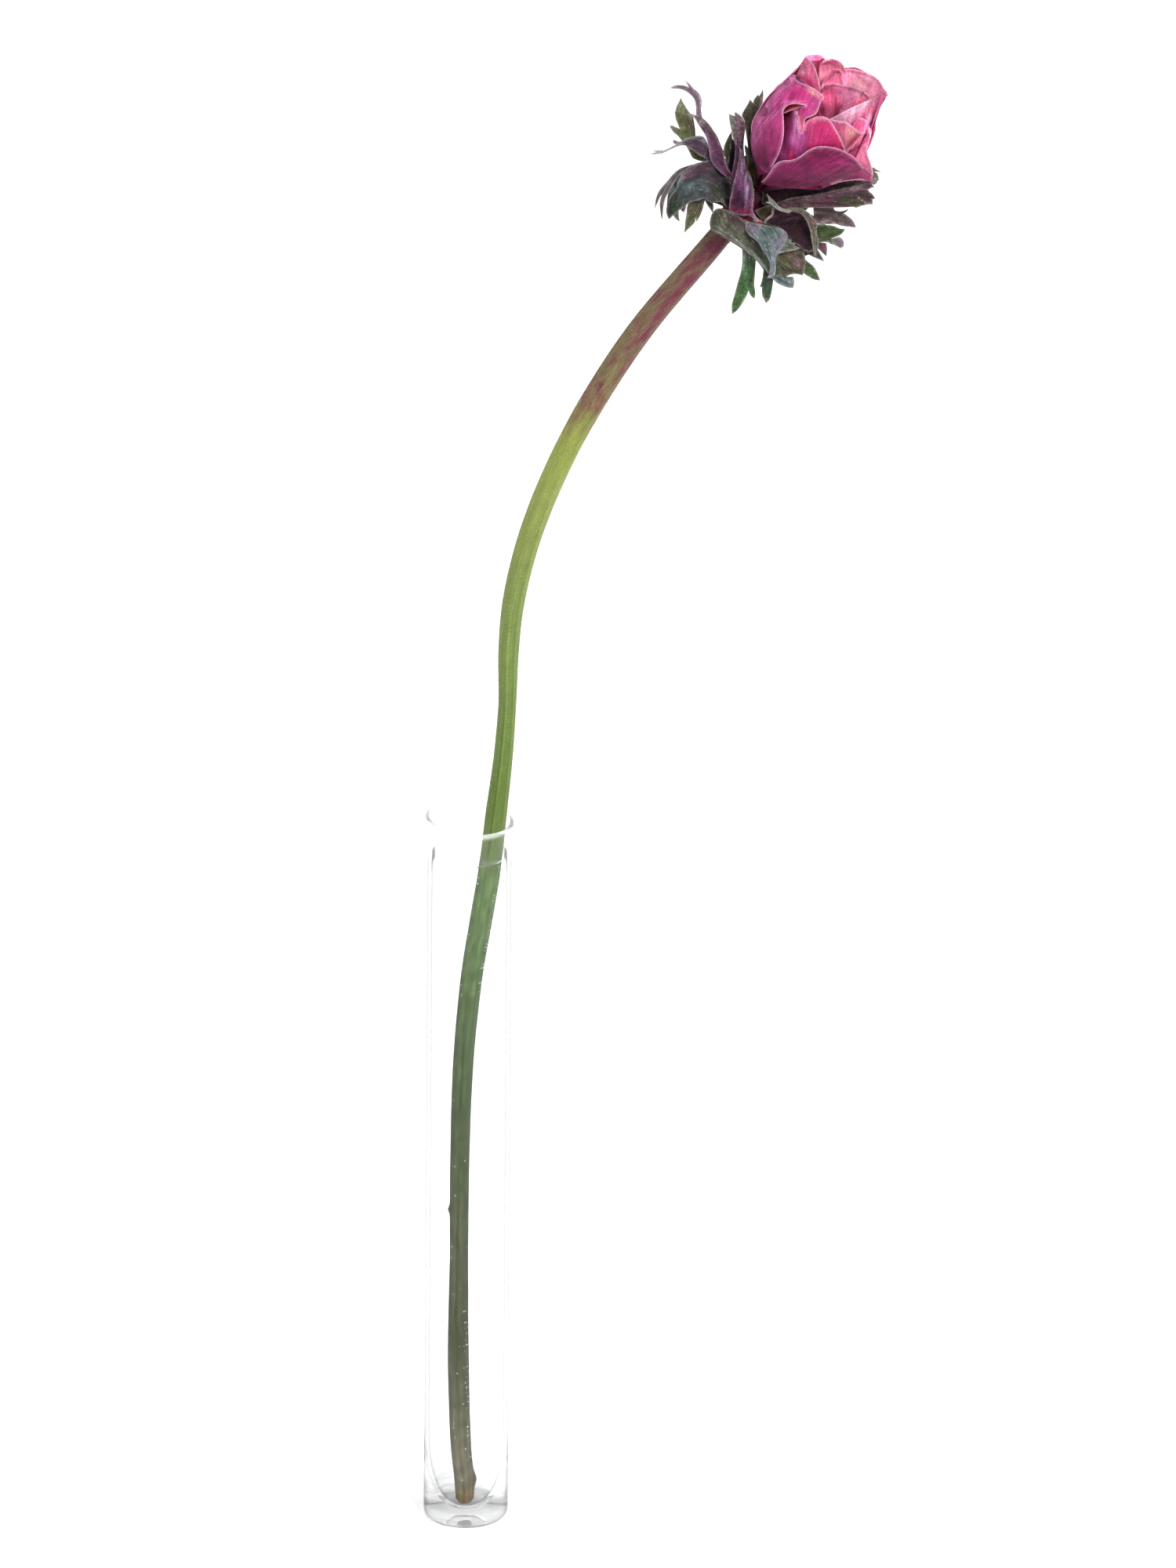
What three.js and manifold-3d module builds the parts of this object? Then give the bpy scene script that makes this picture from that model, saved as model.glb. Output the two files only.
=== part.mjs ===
// A pink anemone bud on its cut stem, standing in a slim glass tube vase of water.
// Millimetres, +Z up. The origin is the centre of the vase's foot, and +X is the side the bud leans to.

import * as THREE from 'three';
import Module from 'manifold-3d';

const wasm = await Module();
wasm.setup();

// Driving sizes of the vase and its water
const TUBE_HEIGHT = 198;
const TUBE_RADIUS = 11;
const TUBE_WALL = 1.1;
const FOOT_ROUNDING = 1.7;
const BOWL_TOP = 23;
const BOWL_BOTTOM = 2.2;
const BOWL_SQUARENESS = 2.5;
const LIP_FLARE = 0.45;
const LIP_HEIGHT = 5;
const RIM_SLANT = 0.083;
const SLANT_START = 150;
const WATER_LEVEL = 187.5;
const MENISCUS = 0.9;
const GAP = 0.3;
const TUBE_SIDES = 24;

// Centre line of the stem from the cut end to the bud: x, y, z and radius
const STEM_LINE = [
  [-0.3, -1.8, 3.6, 1.7],
  [-0.3, -1.8, 4.6, 2.3],
  [-0.4, -2.0, 10, 2.5],
  [-1.3, -2.6, 20, 2.55],
  [-2.1, -3.4, 45, 2.65],
  [-2.1, -3.8, 75, 2.3],
  [-2.0, -3.9, 105, 2.4],
  [-1.2, -3.6, 132, 2.55],
  [0.8, -2.8, 155, 2.7],
  [3.3, -1.8, 172, 2.8],
  [5.4, -0.9, 186, 2.75],
  [6.9, -0.2, 200, 2.7],
  [8.5, 0, 215, 2.4],
  [9.5, 0, 230, 2.25],
  [9.8, 0, 246, 2.6],
  [11.1, 0, 260, 2.8],
  [15.2, 0, 278, 2.95],
  [21.9, 0, 296.5, 3.05],
  [31, 0, 315.5, 3.2],
  [43.3, 0, 336, 3.2],
  [59.9, 0, 357.8, 3.05],
  [66.6, 0, 366.6, 2.9],
  [72.75, 0.25, 374.7, 2.5],
];
const STEM_SIDES = 12;
const STEM_RIBS = 6;
const STEM_RIB_DEPTH = 0.04;
const STEM_STEPS = 30;

// The flower head is drawn in its own frame: x to the right, y up along the head and z out to the front,
// with this point of the stem's end as its origin and its front tilted up by this angle
const HEAD_PLACE = new THREE.Vector3(71.1, 0, 370.9);
const HEAD_TILT = THREE.MathUtils.degToRad(24);

// The bud is an egg shape about its own axis, from its base upwards, fuller to its right than to its left.
// Each point of its two outlines is the height along the axis and the distance from it.
const BUD_BASE = new THREE.Vector3(2.5, 4.5, 2);
const BUD_AXIS = new THREE.Vector3(0.591, 0.656, 0.469).normalize();
const BUD_LEFT = [[0, 1.5], [3, 3.4], [6, 7.1], [10, 10.4], [14, 12.5], [20, 13.6], [26, 13.7], [31, 13.2],
  [37, 13], [41, 11.4], [46, 7], [50, 1]];
const BUD_RIGHT = [[0, 1.5], [3, 2.9], [6, 5], [10, 8.6], [14, 11.4], [18, 13.6], [23, 14.4], [29, 13.4],
  [33, 12], [38, 10.4], [42, 9], [46, 6.2], [50, 1]];
const PETAL_THICKNESS = 0.8;
const CLAW_START = 1;
const CLAW_RADIUS = 2;
const CLAW_NARROWING = 0.5;
const CORE_HEIGHTS = [-0.4, 1.5, 4, 7, 10, 13, 15.5, 16.5];
const CORE_SHARE = 0.8;
const CORE_FOOT_SHARE = 0.65;
const LARGE_PETAL = { rows: 10, columns: 6 };
const SMALL_PETAL = { rows: 6, columns: 4 };
const HIDDEN_PETAL = { rows: 6, columns: 5 };
const LONG_PETAL = 6;
const FRONT = 1;
const EDGE = 0;
const BACK = -1;

// Petals of the bud, each from its base to its margin. A row runs across the petal, and each of its points
// is x, y, how far it stands off the egg shape, and the side of the egg shape that it lies on. A point on
// the edge is on the bud's outline as seen from the front.
const PETALS = {
  lowerFront: [
    [[3.9, 7.6, 0.5], [4.6, 6.6, 0.8], [5.4, 4.7, -0.4, EDGE], [5.4, 6, 0.6, BACK]],
    [[6.6, 10.6, 0.8], [7.6, 8, 1.4], [9, 4.4, -0.9, EDGE], [10, 6.2, 0.6, BACK]],
    [[11, 11.8, 1], [11.8, 8.4, 1.8], [13, 4.3, -1.1, EDGE], [13.6, 6.4, 0.8, BACK]],
    [[16, 14.8, 1.2], [16.8, 10, 2.2], [17.3, 4.3, -1.1, EDGE], [18.2, 6.4, 1, BACK]],
    [[21.5, 14.7, 1.4], [22.2, 10.5, 2.6], [22.6, 5.9, -0.8, EDGE], [23.2, 7.4, 1.4, BACK]],
    [[26.5, 12.5, 2], [27, 9.6, 3], [27.2, 6.5, -0.4, EDGE], [27.4, 7.4, 1.8, BACK]],
    [[30.4, 8, 2.6], [30.9, 7.4, 2.8], [31.3, 6.9, 0, EDGE], [31.4, 7.2, 2.4, BACK]],
  ],
  outerLeft: [
    [[4, 10, 0.8, BACK], [1.6, 9.6, -0.7, EDGE], [3.4, 8.6, 0.8], [5.4, 9.6, 1]],
    [[2.8, 14, 0.8, BACK], [0.3, 13.8, -0.5, EDGE], [3.8, 12.4, 1.2], [7.3, 13, 1.2]],
    [[2.4, 18, 1, BACK], [0.2, 18, -0.3, EDGE], [4.3, 17, 1.8], [8.5, 17.4, 1.6]],
    [[3.6, 22, 1, BACK], [1.3, 22.2, -0.2, EDGE], [5.2, 22.2, 2], [8.4, 22.8, 2.2]],
    [[6.6, 27, 1, BACK], [4.6, 27.1, -0.1, EDGE], [7.6, 26.4, 2.2], [10, 25.7, 3]],
    [[9.2, 30.2, 0.6, BACK], [7.2, 30.3, 0, EDGE], [11, 28, 2.2], [14, 24.8, 2.6]],
    [[11.2, 32.2, 0.4, BACK], [9.5, 32.4, 0, EDGE], [13, 29.6, 2], [16.6, 23.4, 1.6]],
    [[12.3, 33.2, -0.5, BACK], [11.2, 33.5, 0, EDGE], [14.2, 30.5, 1.2], [18.6, 27.6, 1]],
  ],
  middleLeft: [
    [[5.5, 12.5, -0.8], [8.5, 12.5, 0.2], [11.5, 13.5, 0.2]],
    [[6.5, 17.5, -0.8], [9.5, 17.5, 0.3], [12.6, 18.3, 0.4]],
    [[8, 22, -1.5], [10.2, 21.8, 0.2], [12.3, 21.8, 0.8]],
    [[9.5, 24.2, -2.5], [11, 24.2, -0.3], [12.3, 24, 1.2]],
  ],
  middleFront: [
    [[11.5, 12.5, -0.4], [17, 13, 0.6], [23.5, 12.5, 0.2]],
    [[12.6, 17, -0.6], [17.5, 17.5, 0.8], [23.4, 16, 0.3]],
    [[13.4, 20, -0.8], [17.5, 20.5, 0.5], [21.8, 19.6, 0]],
    [[14, 21.6, -1.2], [17.5, 22.7, 0], [20.2, 22.1, -0.8]],
  ],
  foldedRight: [
    [[21, 13, -1.8], [24, 13, -1.2], [27, 13, -1.2]],
    [[21.5, 17.5, -2], [24.2, 17, -1], [27, 16, -2]],
    [[20.5, 21, -2.4], [24, 20.2, -1.2], [27.6, 18.4, -1.6]],
    [[20.4, 22.3, -2.8], [24.3, 21.4, -1.4], [28.6, 18.8, -0.8]],
  ],
  lowerRight: [
    [[24.5, 9, -1.5], [28, 8.4, -0.6], [31.3, 7.8, 0, EDGE]],
    [[25, 13, -2.4], [28.2, 12, -1], [31.2, 10.8, 0, EDGE]],
    [[26.2, 16.5, -3.4], [28.2, 15, -1.4], [30.1, 14, 0, EDGE]],
    [[28.4, 19.6, -3.6], [29.4, 18.6, -1.4], [30.9, 18, 0, EDGE]],
    [[28.8, 22.6, -4], [29.8, 22.2, -2], [31.1, 20.8, 0, EDGE]],
  ],
  paleBand: [
    [[19.5, 16, -4.5], [24, 16, -4], [28.5, 17, -4]],
    [[19.8, 20, -4.8], [25, 20.5, -4], [30, 20.5, -3]],
    [[20.2, 22.2, -5.2], [26, 23.8, -4.6], [31, 24, -3]],
    [[20.6, 22.8, -5.6], [26, 25.2, -5.4], [30.6, 27.4, -4.2]],
  ],
  innerCup: [
    [[18.5, 24, -9, BACK], [23, 23, -9, BACK], [28, 22, -8, BACK]],
    [[18.4, 28, -8, BACK], [23.5, 27, -8, BACK], [29.5, 25.5, -7, BACK]],
    [[19.6, 31.3, -7, BACK], [24.5, 30.8, -7, BACK], [30.5, 28.2, -5.5, BACK]],
  ],
  innerArch: [
    [[17.8, 27, -5.5, BACK], [21, 28, -5.5, BACK], [24, 28, -5.5, BACK]],
    [[18.2, 31, -5, BACK], [21, 32, -5, BACK], [23.9, 31.5, -5, BACK]],
    [[19.2, 33.4, -4.6, BACK], [21.6, 34.9, -4.6, BACK], [23.3, 34.3, -4.6, BACK]],
  ],
  topLeft: [
    [[9.5, 28, -1.6], [13, 27, -1.2], [17, 26, -3]],
    [[11.6, 32.6, 0, EDGE], [14.2, 31.8, -0.4], [17.8, 29.6, -3]],
    [[12.6, 35.6, 0, EDGE], [14.6, 35.4, 0], [16.6, 34.4, -2.4]],
    [[13.7, 38.1, 0, EDGE], [14.3, 38.3, -0.4], [15, 37.9, -1.2]],
  ],
  topBack: [
    [[14.6, 32, 0, BACK], [17.5, 33, -1.5, BACK], [20, 32, -2.5, BACK]],
    [[14.2, 36, 0.2, BACK], [17.2, 36.6, -1, BACK], [20.2, 35.2, -2, BACK]],
    [[14.2, 38.3, 0.4, BACK], [17, 38.7, -0.4, BACK], [19.3, 37.4, -1.2, BACK]],
  ],
  topMiddle: [
    [[17.5, 31, -3, BACK], [21, 31.5, -3.2, BACK], [24.5, 30.5, -3.4, BACK]],
    [[18.5, 35.2, -2.4, BACK], [21.3, 35.6, -2.4, BACK], [24.2, 33.6, -2.8, BACK]],
    [[19.2, 37.3, -2, BACK], [21.5, 37.7, -2, BACK], [23.8, 35.8, -2.2, BACK]],
  ],
  bigRight: [
    [[22, 25, -1.4, BACK], [27, 20, -1, BACK], [29.2, 15, 0, EDGE]],
    [[23.2, 29.5, -1.2, BACK], [28.6, 25, -0.8, BACK], [31.6, 20.4, 0, EDGE]],
    [[23.8, 33, -1, BACK], [29.2, 30, -0.4, BACK], [33.2, 25.2, 0, EDGE]],
    [[24.2, 35.1, -1, BACK], [29.8, 34.1, 0, BACK], [34.5, 28.7, 0, EDGE]],
  ],
};

// Outer petals that close the bud's far side: angle round the axis, half width, height and stand-off
const HIDDEN_PETALS = [
  { angle: 150, spread: 40, height: 36, lift: 0.3 },
  { angle: 95, spread: 42, height: 35, lift: 1.7 },
  { angle: 44, spread: 36, height: 33, lift: 0.2 },
  { angle: 8, spread: 24, height: 24, lift: -1.2 },
];

// The ruff of cut leaves grows in a whorl from the stem below the bud
const COLLAR_CENTRE = new THREE.Vector3(-2.5, -1.4, -0.64);
const COLLAR_AXIS = new THREE.Vector3(0.611, 0.722, 0.322).normalize();
const COLLAR_HEIGHT = 4.4;
const COLLAR_OUTER = 4.7;
const COLLAR_HOLE = 3.35;
const LEAF_THICKNESS = 0.7;
const LEAF_TIP = 0.16;
const FROND_STEPS = 5;
const LOBE_STEPS = 3;
const BROAD_STEPS = 1.4;

// Broad fronds of the ruff: rows of points from the root to the tip, each row across the blade.
// Their lobes start part way along the blade and part way across it.
const BROAD_FRONDS = [
  {
    rows: [
      [[-6.4, -0.4, 3.4], [-7.6, 3, 4], [-8, 8.4, 2.6]],
      [[-10, 0.8, 5.6], [-11.2, 6, 6.4], [-12, 10.9, 3.4]],
      [[-14, 1.2, 7], [-15, 5.5, 8], [-15.5, 9.9, 5.4]],
      [[-17, -0.2, 7.2], [-18, 3.8, 8.6], [-18.7, 7.6, 6.8]],
      [[-19.6, -2.5, 6.6], [-20.3, 0.5, 7.8], [-20.9, 3.2, 7.6]],
      [[-20.7, -3.7, 6], [-21, -3, 6.2], [-21.3, -2, 6.4]],
    ],
    face: [0, 0.2, 1],
    lobes: [
      {
        from: [0.45, 0.95], rib: [[-18, 8.6, 7], [-20.4, 6, 7.6], [-23.3, 2.6, 7.6], [-24.5, -1, 7.2]],
        width: 0.7,
      },
      { from: [0.62, 0.95], rib: [[-20.5, 5.2, 8], [-22.5, 1, 8.4], [-22.6, -3.9, 8]], width: 0.7 },
      { from: [0.42, 0.12], rib: [[-14.5, -1.6, 5.6], [-15.8, -4.4, 5], [-16.7, -7.2, 4.6]], width: 1.6 },
      { from: [0.36, 0.12], rib: [[-12.7, -1.2, 5], [-13.7, -4.3, 4.4]], width: 1 },
      { from: [0.25, 0.1], rib: [[-10.8, -0.4, 4.4], [-9.4, -1.9, 4]], width: 0.8 },
      { from: [0.68, 0.1], rib: [[-17.6, -2.2, 5.8], [-18, -4.3, 5.2]], width: 0.8 },
    ],
  },
  {
    rows: [
      [[-4.6, 1, 4], [-2, -0.6, 5.6], [0.3, -2.2, 5.2]],
      [[-4.8, 4.6, 5], [-1.8, 3, 7.8], [1.1, 1.8, 8]],
      [[-4.5, 8.4, 5.8], [-2.4, 7.4, 8.4], [0.5, 6.6, 9]],
      [[-3.8, 12.2, 6.2], [-2.8, 12, 7.6], [-1.3, 11.4, 8.4]],
      [[-3.7, 15.6, 6], [-2.9, 15.8, 6.6], [-2, 15.6, 6.8]],
    ],
    face: [0, 0, 1],
    lobes: [{ from: [0.97, 0.4], rib: [[-3.4, 16.2, 6], [-4.1, 16, 5.8]], width: 0.5 }],
  },
  {
    rows: [
      [[-7, -0.6, 2.6], [-4.2, -3.4, 5], [-1, -4.2, 5.6], [2.6, -4, 5]],
      [[-9.4, -1.6, 3], [-6.2, -4.2, 6.4], [-2.2, -5.6, 7.8], [3, -5.2, 7.2]],
      [[-10.2, -3.6, 3], [-7, -6, 7], [-2.6, -7.4, 9], [3.4, -6.6, 8.6]],
      [[-10, -5.9, 3], [-6.5, -7.9, 6.6], [-1.5, -9.4, 9], [3.8, -8.8, 9]],
      [[-7.4, -7.5, 3.4], [-4, -9.4, 6.4], [0.5, -11.8, 8.6], [4.2, -11.4, 8.8]],
      [[-2.6, -10.4, 5], [-0.6, -11.6, 6.8], [2.6, -14, 8], [4.8, -14.2, 8.2]],
      [[1, -13.2, 6.8], [2.6, -14.6, 7.2], [4.2, -16.4, 7.6], [5.2, -17, 7.6]],
      [[4.4, -17.6, 7.2], [4.8, -18, 7.2], [5.2, -18.3, 7.2], [5.6, -18.5, 7.2]],
    ],
    face: [0, 0, 1],
    lobes: [
      {
        from: [0.7, 0.4], rib: [[-0.6, -13, 5.6], [-0.9, -17, 5], [-2, -21, 4.6], [-4.3, -28, 4.2]],
        width: 1.7, widest: 0.7, root: 0.8,
      },
      {
        from: [0.74, 0.5], rib: [[0.8, -14.4, 5.4], [1, -18, 5], [0.8, -21.5, 4.8], [1.3, -24.1, 4.6]],
        width: 0.8, widest: 0.8,
      },
      {
        from: [0.8, 0.5], rib: [[4.7, -18, 6], [4.9, -21, 5.4], [4.4, -25.3, 4.8]], width: 1.5, widest: 0.55,
        lobes: [{ from: 0.35, rib: [[3.5, -19.6, 5.6], [2.7, -21, 5.2]], width: 0.6 }],
      },
    ],
  },
  {
    rows: [
      [[0.8, -4.6, 6.6], [2.6, -4.4, 6.8], [4.4, -4.8, 6.2]],
      [[0.9, -6.6, 9.4], [4, -6, 10], [8.5, -6.2, 8.4]],
      [[1.8, -8.9, 10.4], [5, -8.5, 11.2], [9.2, -8.2, 9]],
      [[3.2, -11.2, 10.4], [5.5, -11.2, 11], [7.8, -11.4, 9.4]],
      [[4.6, -14.4, 9.6], [5.7, -14.4, 10], [6.8, -14.3, 9.2]],
      [[5.5, -18.2, 8.4], [5.9, -18.3, 8.5], [6.3, -18.2, 8.3]],
    ],
    face: [0, 0, 1],
    lobes: [
      {
        from: [0.85, 0.5], rib: [[7, -17.6, 7.8], [9.2, -18.9, 7.4], [11.5, -20.2, 7]],
        width: 2, widest: 0.85, root: 0.5,
      },
    ],
  },
  {
    rows: [
      [[2.6, -4.2, 4.2], [3.2, -2.8, 4.6], [3.4, -1.2, 4.4]],
      [[6.3, -7, 6], [6.8, -3.4, 5], [7, -0.8, 6.6]],
      [[9.6, -10.6, 6], [11, -5.4, 4.2], [11.5, -1, 7]],
      [[12.8, -13, 5.8], [14, -6.8, 4.2], [15, -2, 6.8]],
      [[15.6, -12.4, 5.4], [16.8, -9, 4.8], [17.6, -5, 5.4]],
    ],
    face: [0, 0, 1],
    lobes: [
      { from: [0.78, 0.12], rib: [[14.6, -13.4, 5], [16.4, -15.8, 4.6], [18.4, -19.3, 4.2]], width: 1.5 },
      { from: [0.94, 0.15], rib: [[17, -12.3, 5], [19.6, -14.3, 4.6]], width: 1.1 },
      { from: [0.95, 0.35], rib: [[18.6, -10.6, 4.4], [19.9, -13.1, 4]], width: 0.8 },
      {
        from: [0.88, 0.75], rib: [[18.4, -7.2, 5], [20.6, -7.2, 4.8], [24.6, -6, 4.2]],
        width: 2.1, widest: 0.35, root: 0.9,
      },
      {
        from: [0.9, 0.6], rib: [[19.6, -8.8, 4.2], [22.4, -9.3, 3.8], [24.3, -9.6, 3.6]],
        width: 1.4, widest: 0.8,
      },
      {
        from: [0.78, 0.94], rib: [[18, -3, 5.6], [23, -3.5, 5], [27.6, -5.6, 4.4]], width: 1.6, widest: 0.55,
        lobes: [{ from: 0.45, rib: [[22.5, -1.6, 4.8], [25.6, -0.6, 4.4]], width: 0.8 }],
      },
      {
        from: [0.5, 0.96], rib: [[14.2, -2, 9], [16, -6, 9.4], [16.8, -10, 8.6], [17, -13.2, 7.6]],
        width: 0.9,
      },
      {
        from: [0.5, 0.96], rib: [[9.6, -1.2, 8.8], [7.4, -0.5, 9.6], [5.6, 1, 9.8], [4.2, 3.3, 9.6]],
        width: 0.7,
      },
    ],
  },
  {
    rows: [
      [[-5.2, 8, 1], [-3.6, 8, 2], [-2, 8, 2.2]],
      [[-5, 12, 2], [-3.6, 12, 3], [-1.5, 12, 2.8]],
      [[-4.6, 16, 3], [-3.2, 16, 4], [-1.3, 16, 3.6]],
      [[-5, 19.5, 3.4], [-3.2, 19.5, 4.2], [-1, 19.5, 3.6]],
      [[-5.3, 22, 3.4], [-3.6, 22.2, 4], [-1.9, 22.2, 3.6]],
    ],
    face: [0, 0, 1],
    lobes: [
      { from: [0.96, 0.14], rib: [[-5.4, 22.8, 3.5], [-5.6, 23.8, 3.4]], width: 0.7 },
      { from: [0.96, 0.6], rib: [[-3.6, 23.2, 3.9], [-3.9, 24.4, 3.8]], width: 1 },
    ],
  },
  {
    rows: [
      [[6.4, -12.2, 5.8], [8, -10.6, 5.8], [10, -9.6, 5.4]],
      [[7, -14.6, 6.2], [9.4, -13, 6.4], [12.4, -11.4, 5.8]],
      [[8.4, -16.6, 6], [10.8, -15, 6.4], [14, -13.4, 5.8]],
      [[11, -17.4, 5.8], [12.6, -16.4, 6], [14.4, -15.4, 5.6]],
      [[13.2, -17.9, 5.4], [13.6, -17.9, 5.4], [14, -17.6, 5.4]],
    ],
    face: [0, 0, 1],
    lobes: [],
  },
  {
    rows: [
      [[-12.6, 11.6, 1], [-11.8, 12, 1.4], [-10.4, 12.6, 1.6]],
      [[-16, 14.4, 0], [-14, 14.6, 0.8], [-11.8, 15, 1]],
      [[-17.5, 17.2, -0.6], [-15.6, 17.4, 0.2], [-13, 18, 0.4]],
      [[-18.7, 20, -1], [-16.4, 20.2, -0.2], [-13.8, 20.7, 0]],
      [[-19.3, 22.9, -1.4], [-17.2, 23, -0.8], [-15, 23.2, -0.4]],
      [[-18.7, 25.6, -1.6], [-17.7, 25.7, -1.4], [-16.6, 25.6, -1]],
      [[-18.2, 27.9, -2], [-18, 28, -2], [-17.8, 27.9, -2]],
    ],
    face: [0, 0, 1],
    lobes: [
      { from: [0.5, 0.1], rib: [[-19.2, 19.4, -0.9], [-20.9, 20.5, -1]], width: 1 },
      { from: [0.7, 0.1], rib: [[-19.2, 23.2, -1.3], [-19.7, 24.4, -1.3]], width: 0.7 },
    ],
  },
  {
    rows: [
      [[4.5, -0.6, 6.4], [5, 0.8, 6.6], [5, 1.6, 6.2]],
      [[9, -0.5, 8.6], [9.4, 1, 9.4], [9.6, 2, 8.8]],
      [[14, -0.6, 9.8], [14.4, 1.2, 10.6], [14.6, 2.4, 10]],
      [[20, -0.5, 10.6], [20.4, 1.6, 11.4], [20.8, 3.3, 10.8]],
      [[26, -0.5, 11], [26.4, 2.2, 11.8], [26.8, 4.7, 11.4]],
      [[29.4, 0.2, 11], [29.8, 2.6, 11.8], [30, 5.4, 11.4]],
    ],
    face: [0, -0.25, 1],
    lobes: [
      { from: [0.96, 0.88], rib: [[31, 5.4, 11.4], [32.3, 4.7, 11.4]], width: 0.8 },
      { from: [0.96, 0.5], rib: [[31, 2.8, 11.6], [32.4, 2, 11.6]], width: 1.2 },
      { from: [0.96, 0.12], rib: [[30.8, 0.6, 11], [31.9, 0.5, 11]], width: 0.6 },
    ],
  },
];

// Slender fronds of the ruff. Each has its rib, its half width, where it is widest, its width at the root,
// the way its face looks and how far its margins rise above the rib, and its lobes start on its rib.
const FRONDS = [
  {
    rib: [[-6.8, 8.5, 4], [-8.6, 13.5, 4.5], [-10.8, 18, 4], [-12.8, 21.5, 3.4], [-16.2, 23.3, 3.3]],
    width: 2.2, widest: 0.4, root: 0.7, face: [0.6, 0.2, 0.8], rise: 0.35,
    lobes: [
      {
        from: 0.42, rib: [[-11.2, 15.2, 5.6], [-14, 16.4, 6], [-18.4, 15.8, 6], [-25.9, 13, 6]], width: 2.3,
        widest: 0.3, root: 0.8, taper: 3,
        lobes: [{ from: 0.55, rib: [[-18.2, 16.4, 5.6], [-20, 16.9, 5.4]], width: 0.5 }],
      },
      {
        from: 0.55, rib: [[-12.7, 23.5, 0.5], [-13.2, 27, 0], [-14.6, 30, 0], [-16.8, 32.3, 0]], width: 0.9,
        lobes: [{ from: 0.6, rib: [[-14.6, 28.6, 0], [-17.5, 30.3, 0], [-20.8, 30.1, 0]], width: 1 }],
      },
    ],
  },
  {
    rib: [[-5.8, 9, -2], [-6, 13, -2.5], [-5.5, 16.5, -2.5], [-4.7, 19.4, -2.5]],
    width: 1.4, widest: 0.6, root: 0.5, face: [0, 0, 1], rise: 0.2, lobes: [],
  },
  {
    rib: [[-1.2, 9, -4], [-0.5, 15, -5], [0.4, 21, -5.5], [2.1, 28.9, -6]],
    width: 2.8, widest: 0.65, root: 0.6, face: [0, 0, 1], rise: 0.15,
    lobes: [
      { from: 0.62, rib: [[-0.8, 22, -5.6], [-0.1, 27.6, -6]], width: 1.2 },
      { from: 0.65, rib: [[2, 24, -5.8], [3.2, 30.5, -6.2]], width: 0.9 },
    ],
  },
  {
    rib: [[6, 2.4, -2], [13, 3.6, -1.5], [20, 4.6, -1], [27, 6, 0.5], [33.8, 7.6, 1.5]],
    width: 1.1, widest: 0.6, root: 0.8, face: [0, 0.2, 1], rise: 0.15,
    lobes: [
      { from: 0.7, rib: [[30, 8.6, -0.4], [33.9, 9.3, 0]], width: 0.7 },
      { from: 0.6, rib: [[28, 9, -2.4], [33.5, 13.3, -2.6]], width: 0.9 },
    ],
  },
];

// Fronds of the ruff's far side, by a rule: angle round the collar, length and rise towards the bud
const BACK_FRONDS = [
  { angle: 35, length: 25, rise: 24 },
  { angle: 72, length: 27, rise: 14 },
  { angle: 108, length: 26, rise: 22 },
  { angle: 140, length: 19, rise: 30 },
];

const colours = {
  glass: new THREE.MeshStandardMaterial({
    color: 0xf2f6f7, roughness: 0.05, transparent: true, opacity: 0.35,
  }),
  water: new THREE.MeshStandardMaterial({
    color: 0xeaf4f4, roughness: 0.05, transparent: true, opacity: 0.4,
  }),
  stem: new THREE.MeshStandardMaterial({ color: 0x8fa352, roughness: 0.6 }),
  leaf: new THREE.MeshStandardMaterial({ color: 0x5c5a52, roughness: 0.75 }),
  petal: new THREE.MeshStandardMaterial({ color: 0xc2437a, roughness: 0.65 }),
};

// Small helpers
const SNAP = 1000;
const BEAD_RADIUS = 0.15;
const MERGE_WITHIN = 0.15;
const mix = (a, b, t) => a + (b - a) * t;
const clamp01 = (t) => Math.min(1, Math.max(0, t));

function toSolid(points, faces) {
  const flat = new Float32Array(points.flatMap((p) => [p.x, p.y, p.z]));
  const solid = new wasm.Manifold(new wasm.Mesh({
    numProp: 3,
    vertProperties: flat,
    triVerts: new Uint32Array(faces.flat()),
  }));
  return solid;
}

// Welds points that fall together on a fine grid and drops the faces that vanish
function welded(points, faces) {
  const found = new Map();
  const kept = [];
  const index = points.map((point) => {
    const snapped = point.toArray().map((v) => Math.round(v * SNAP) / SNAP);
    const key = snapped.join(',');
    if (!found.has(key)) {
      found.set(key, kept.length);
      kept.push(new THREE.Vector3(...snapped));
    }
    return found.get(key);
  });
  const turned = faces.map((face) => face.map((i) => index[i]));
  return toSolid(kept, turned.filter((face) => new Set(face).size === 3));
}

// The one body of a solid on the fine grid. Closed pockets between crossing blades are filled and crumbs
// of their cut edges are dropped.
function oneBody(solid, place = new THREE.Matrix4()) {
  const mesh = solid.getMesh();
  const points = [];
  for (let i = 0; i < mesh.numVert; i += 1) {
    const at = mesh.numProp * i;
    points.push(new THREE.Vector3(...mesh.vertProperties.slice(at, at + 3)).applyMatrix4(place));
  }
  const faces = [];
  for (let t = 0; t < mesh.triVerts.length; t += 3) faces.push([...mesh.triVerts.slice(t, t + 3)]);
  const bodies = welded(points, faces).decompose();
  return bodies.reduce((best, next) => (next.volume() > best.volume() ? next : best));
}

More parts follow.
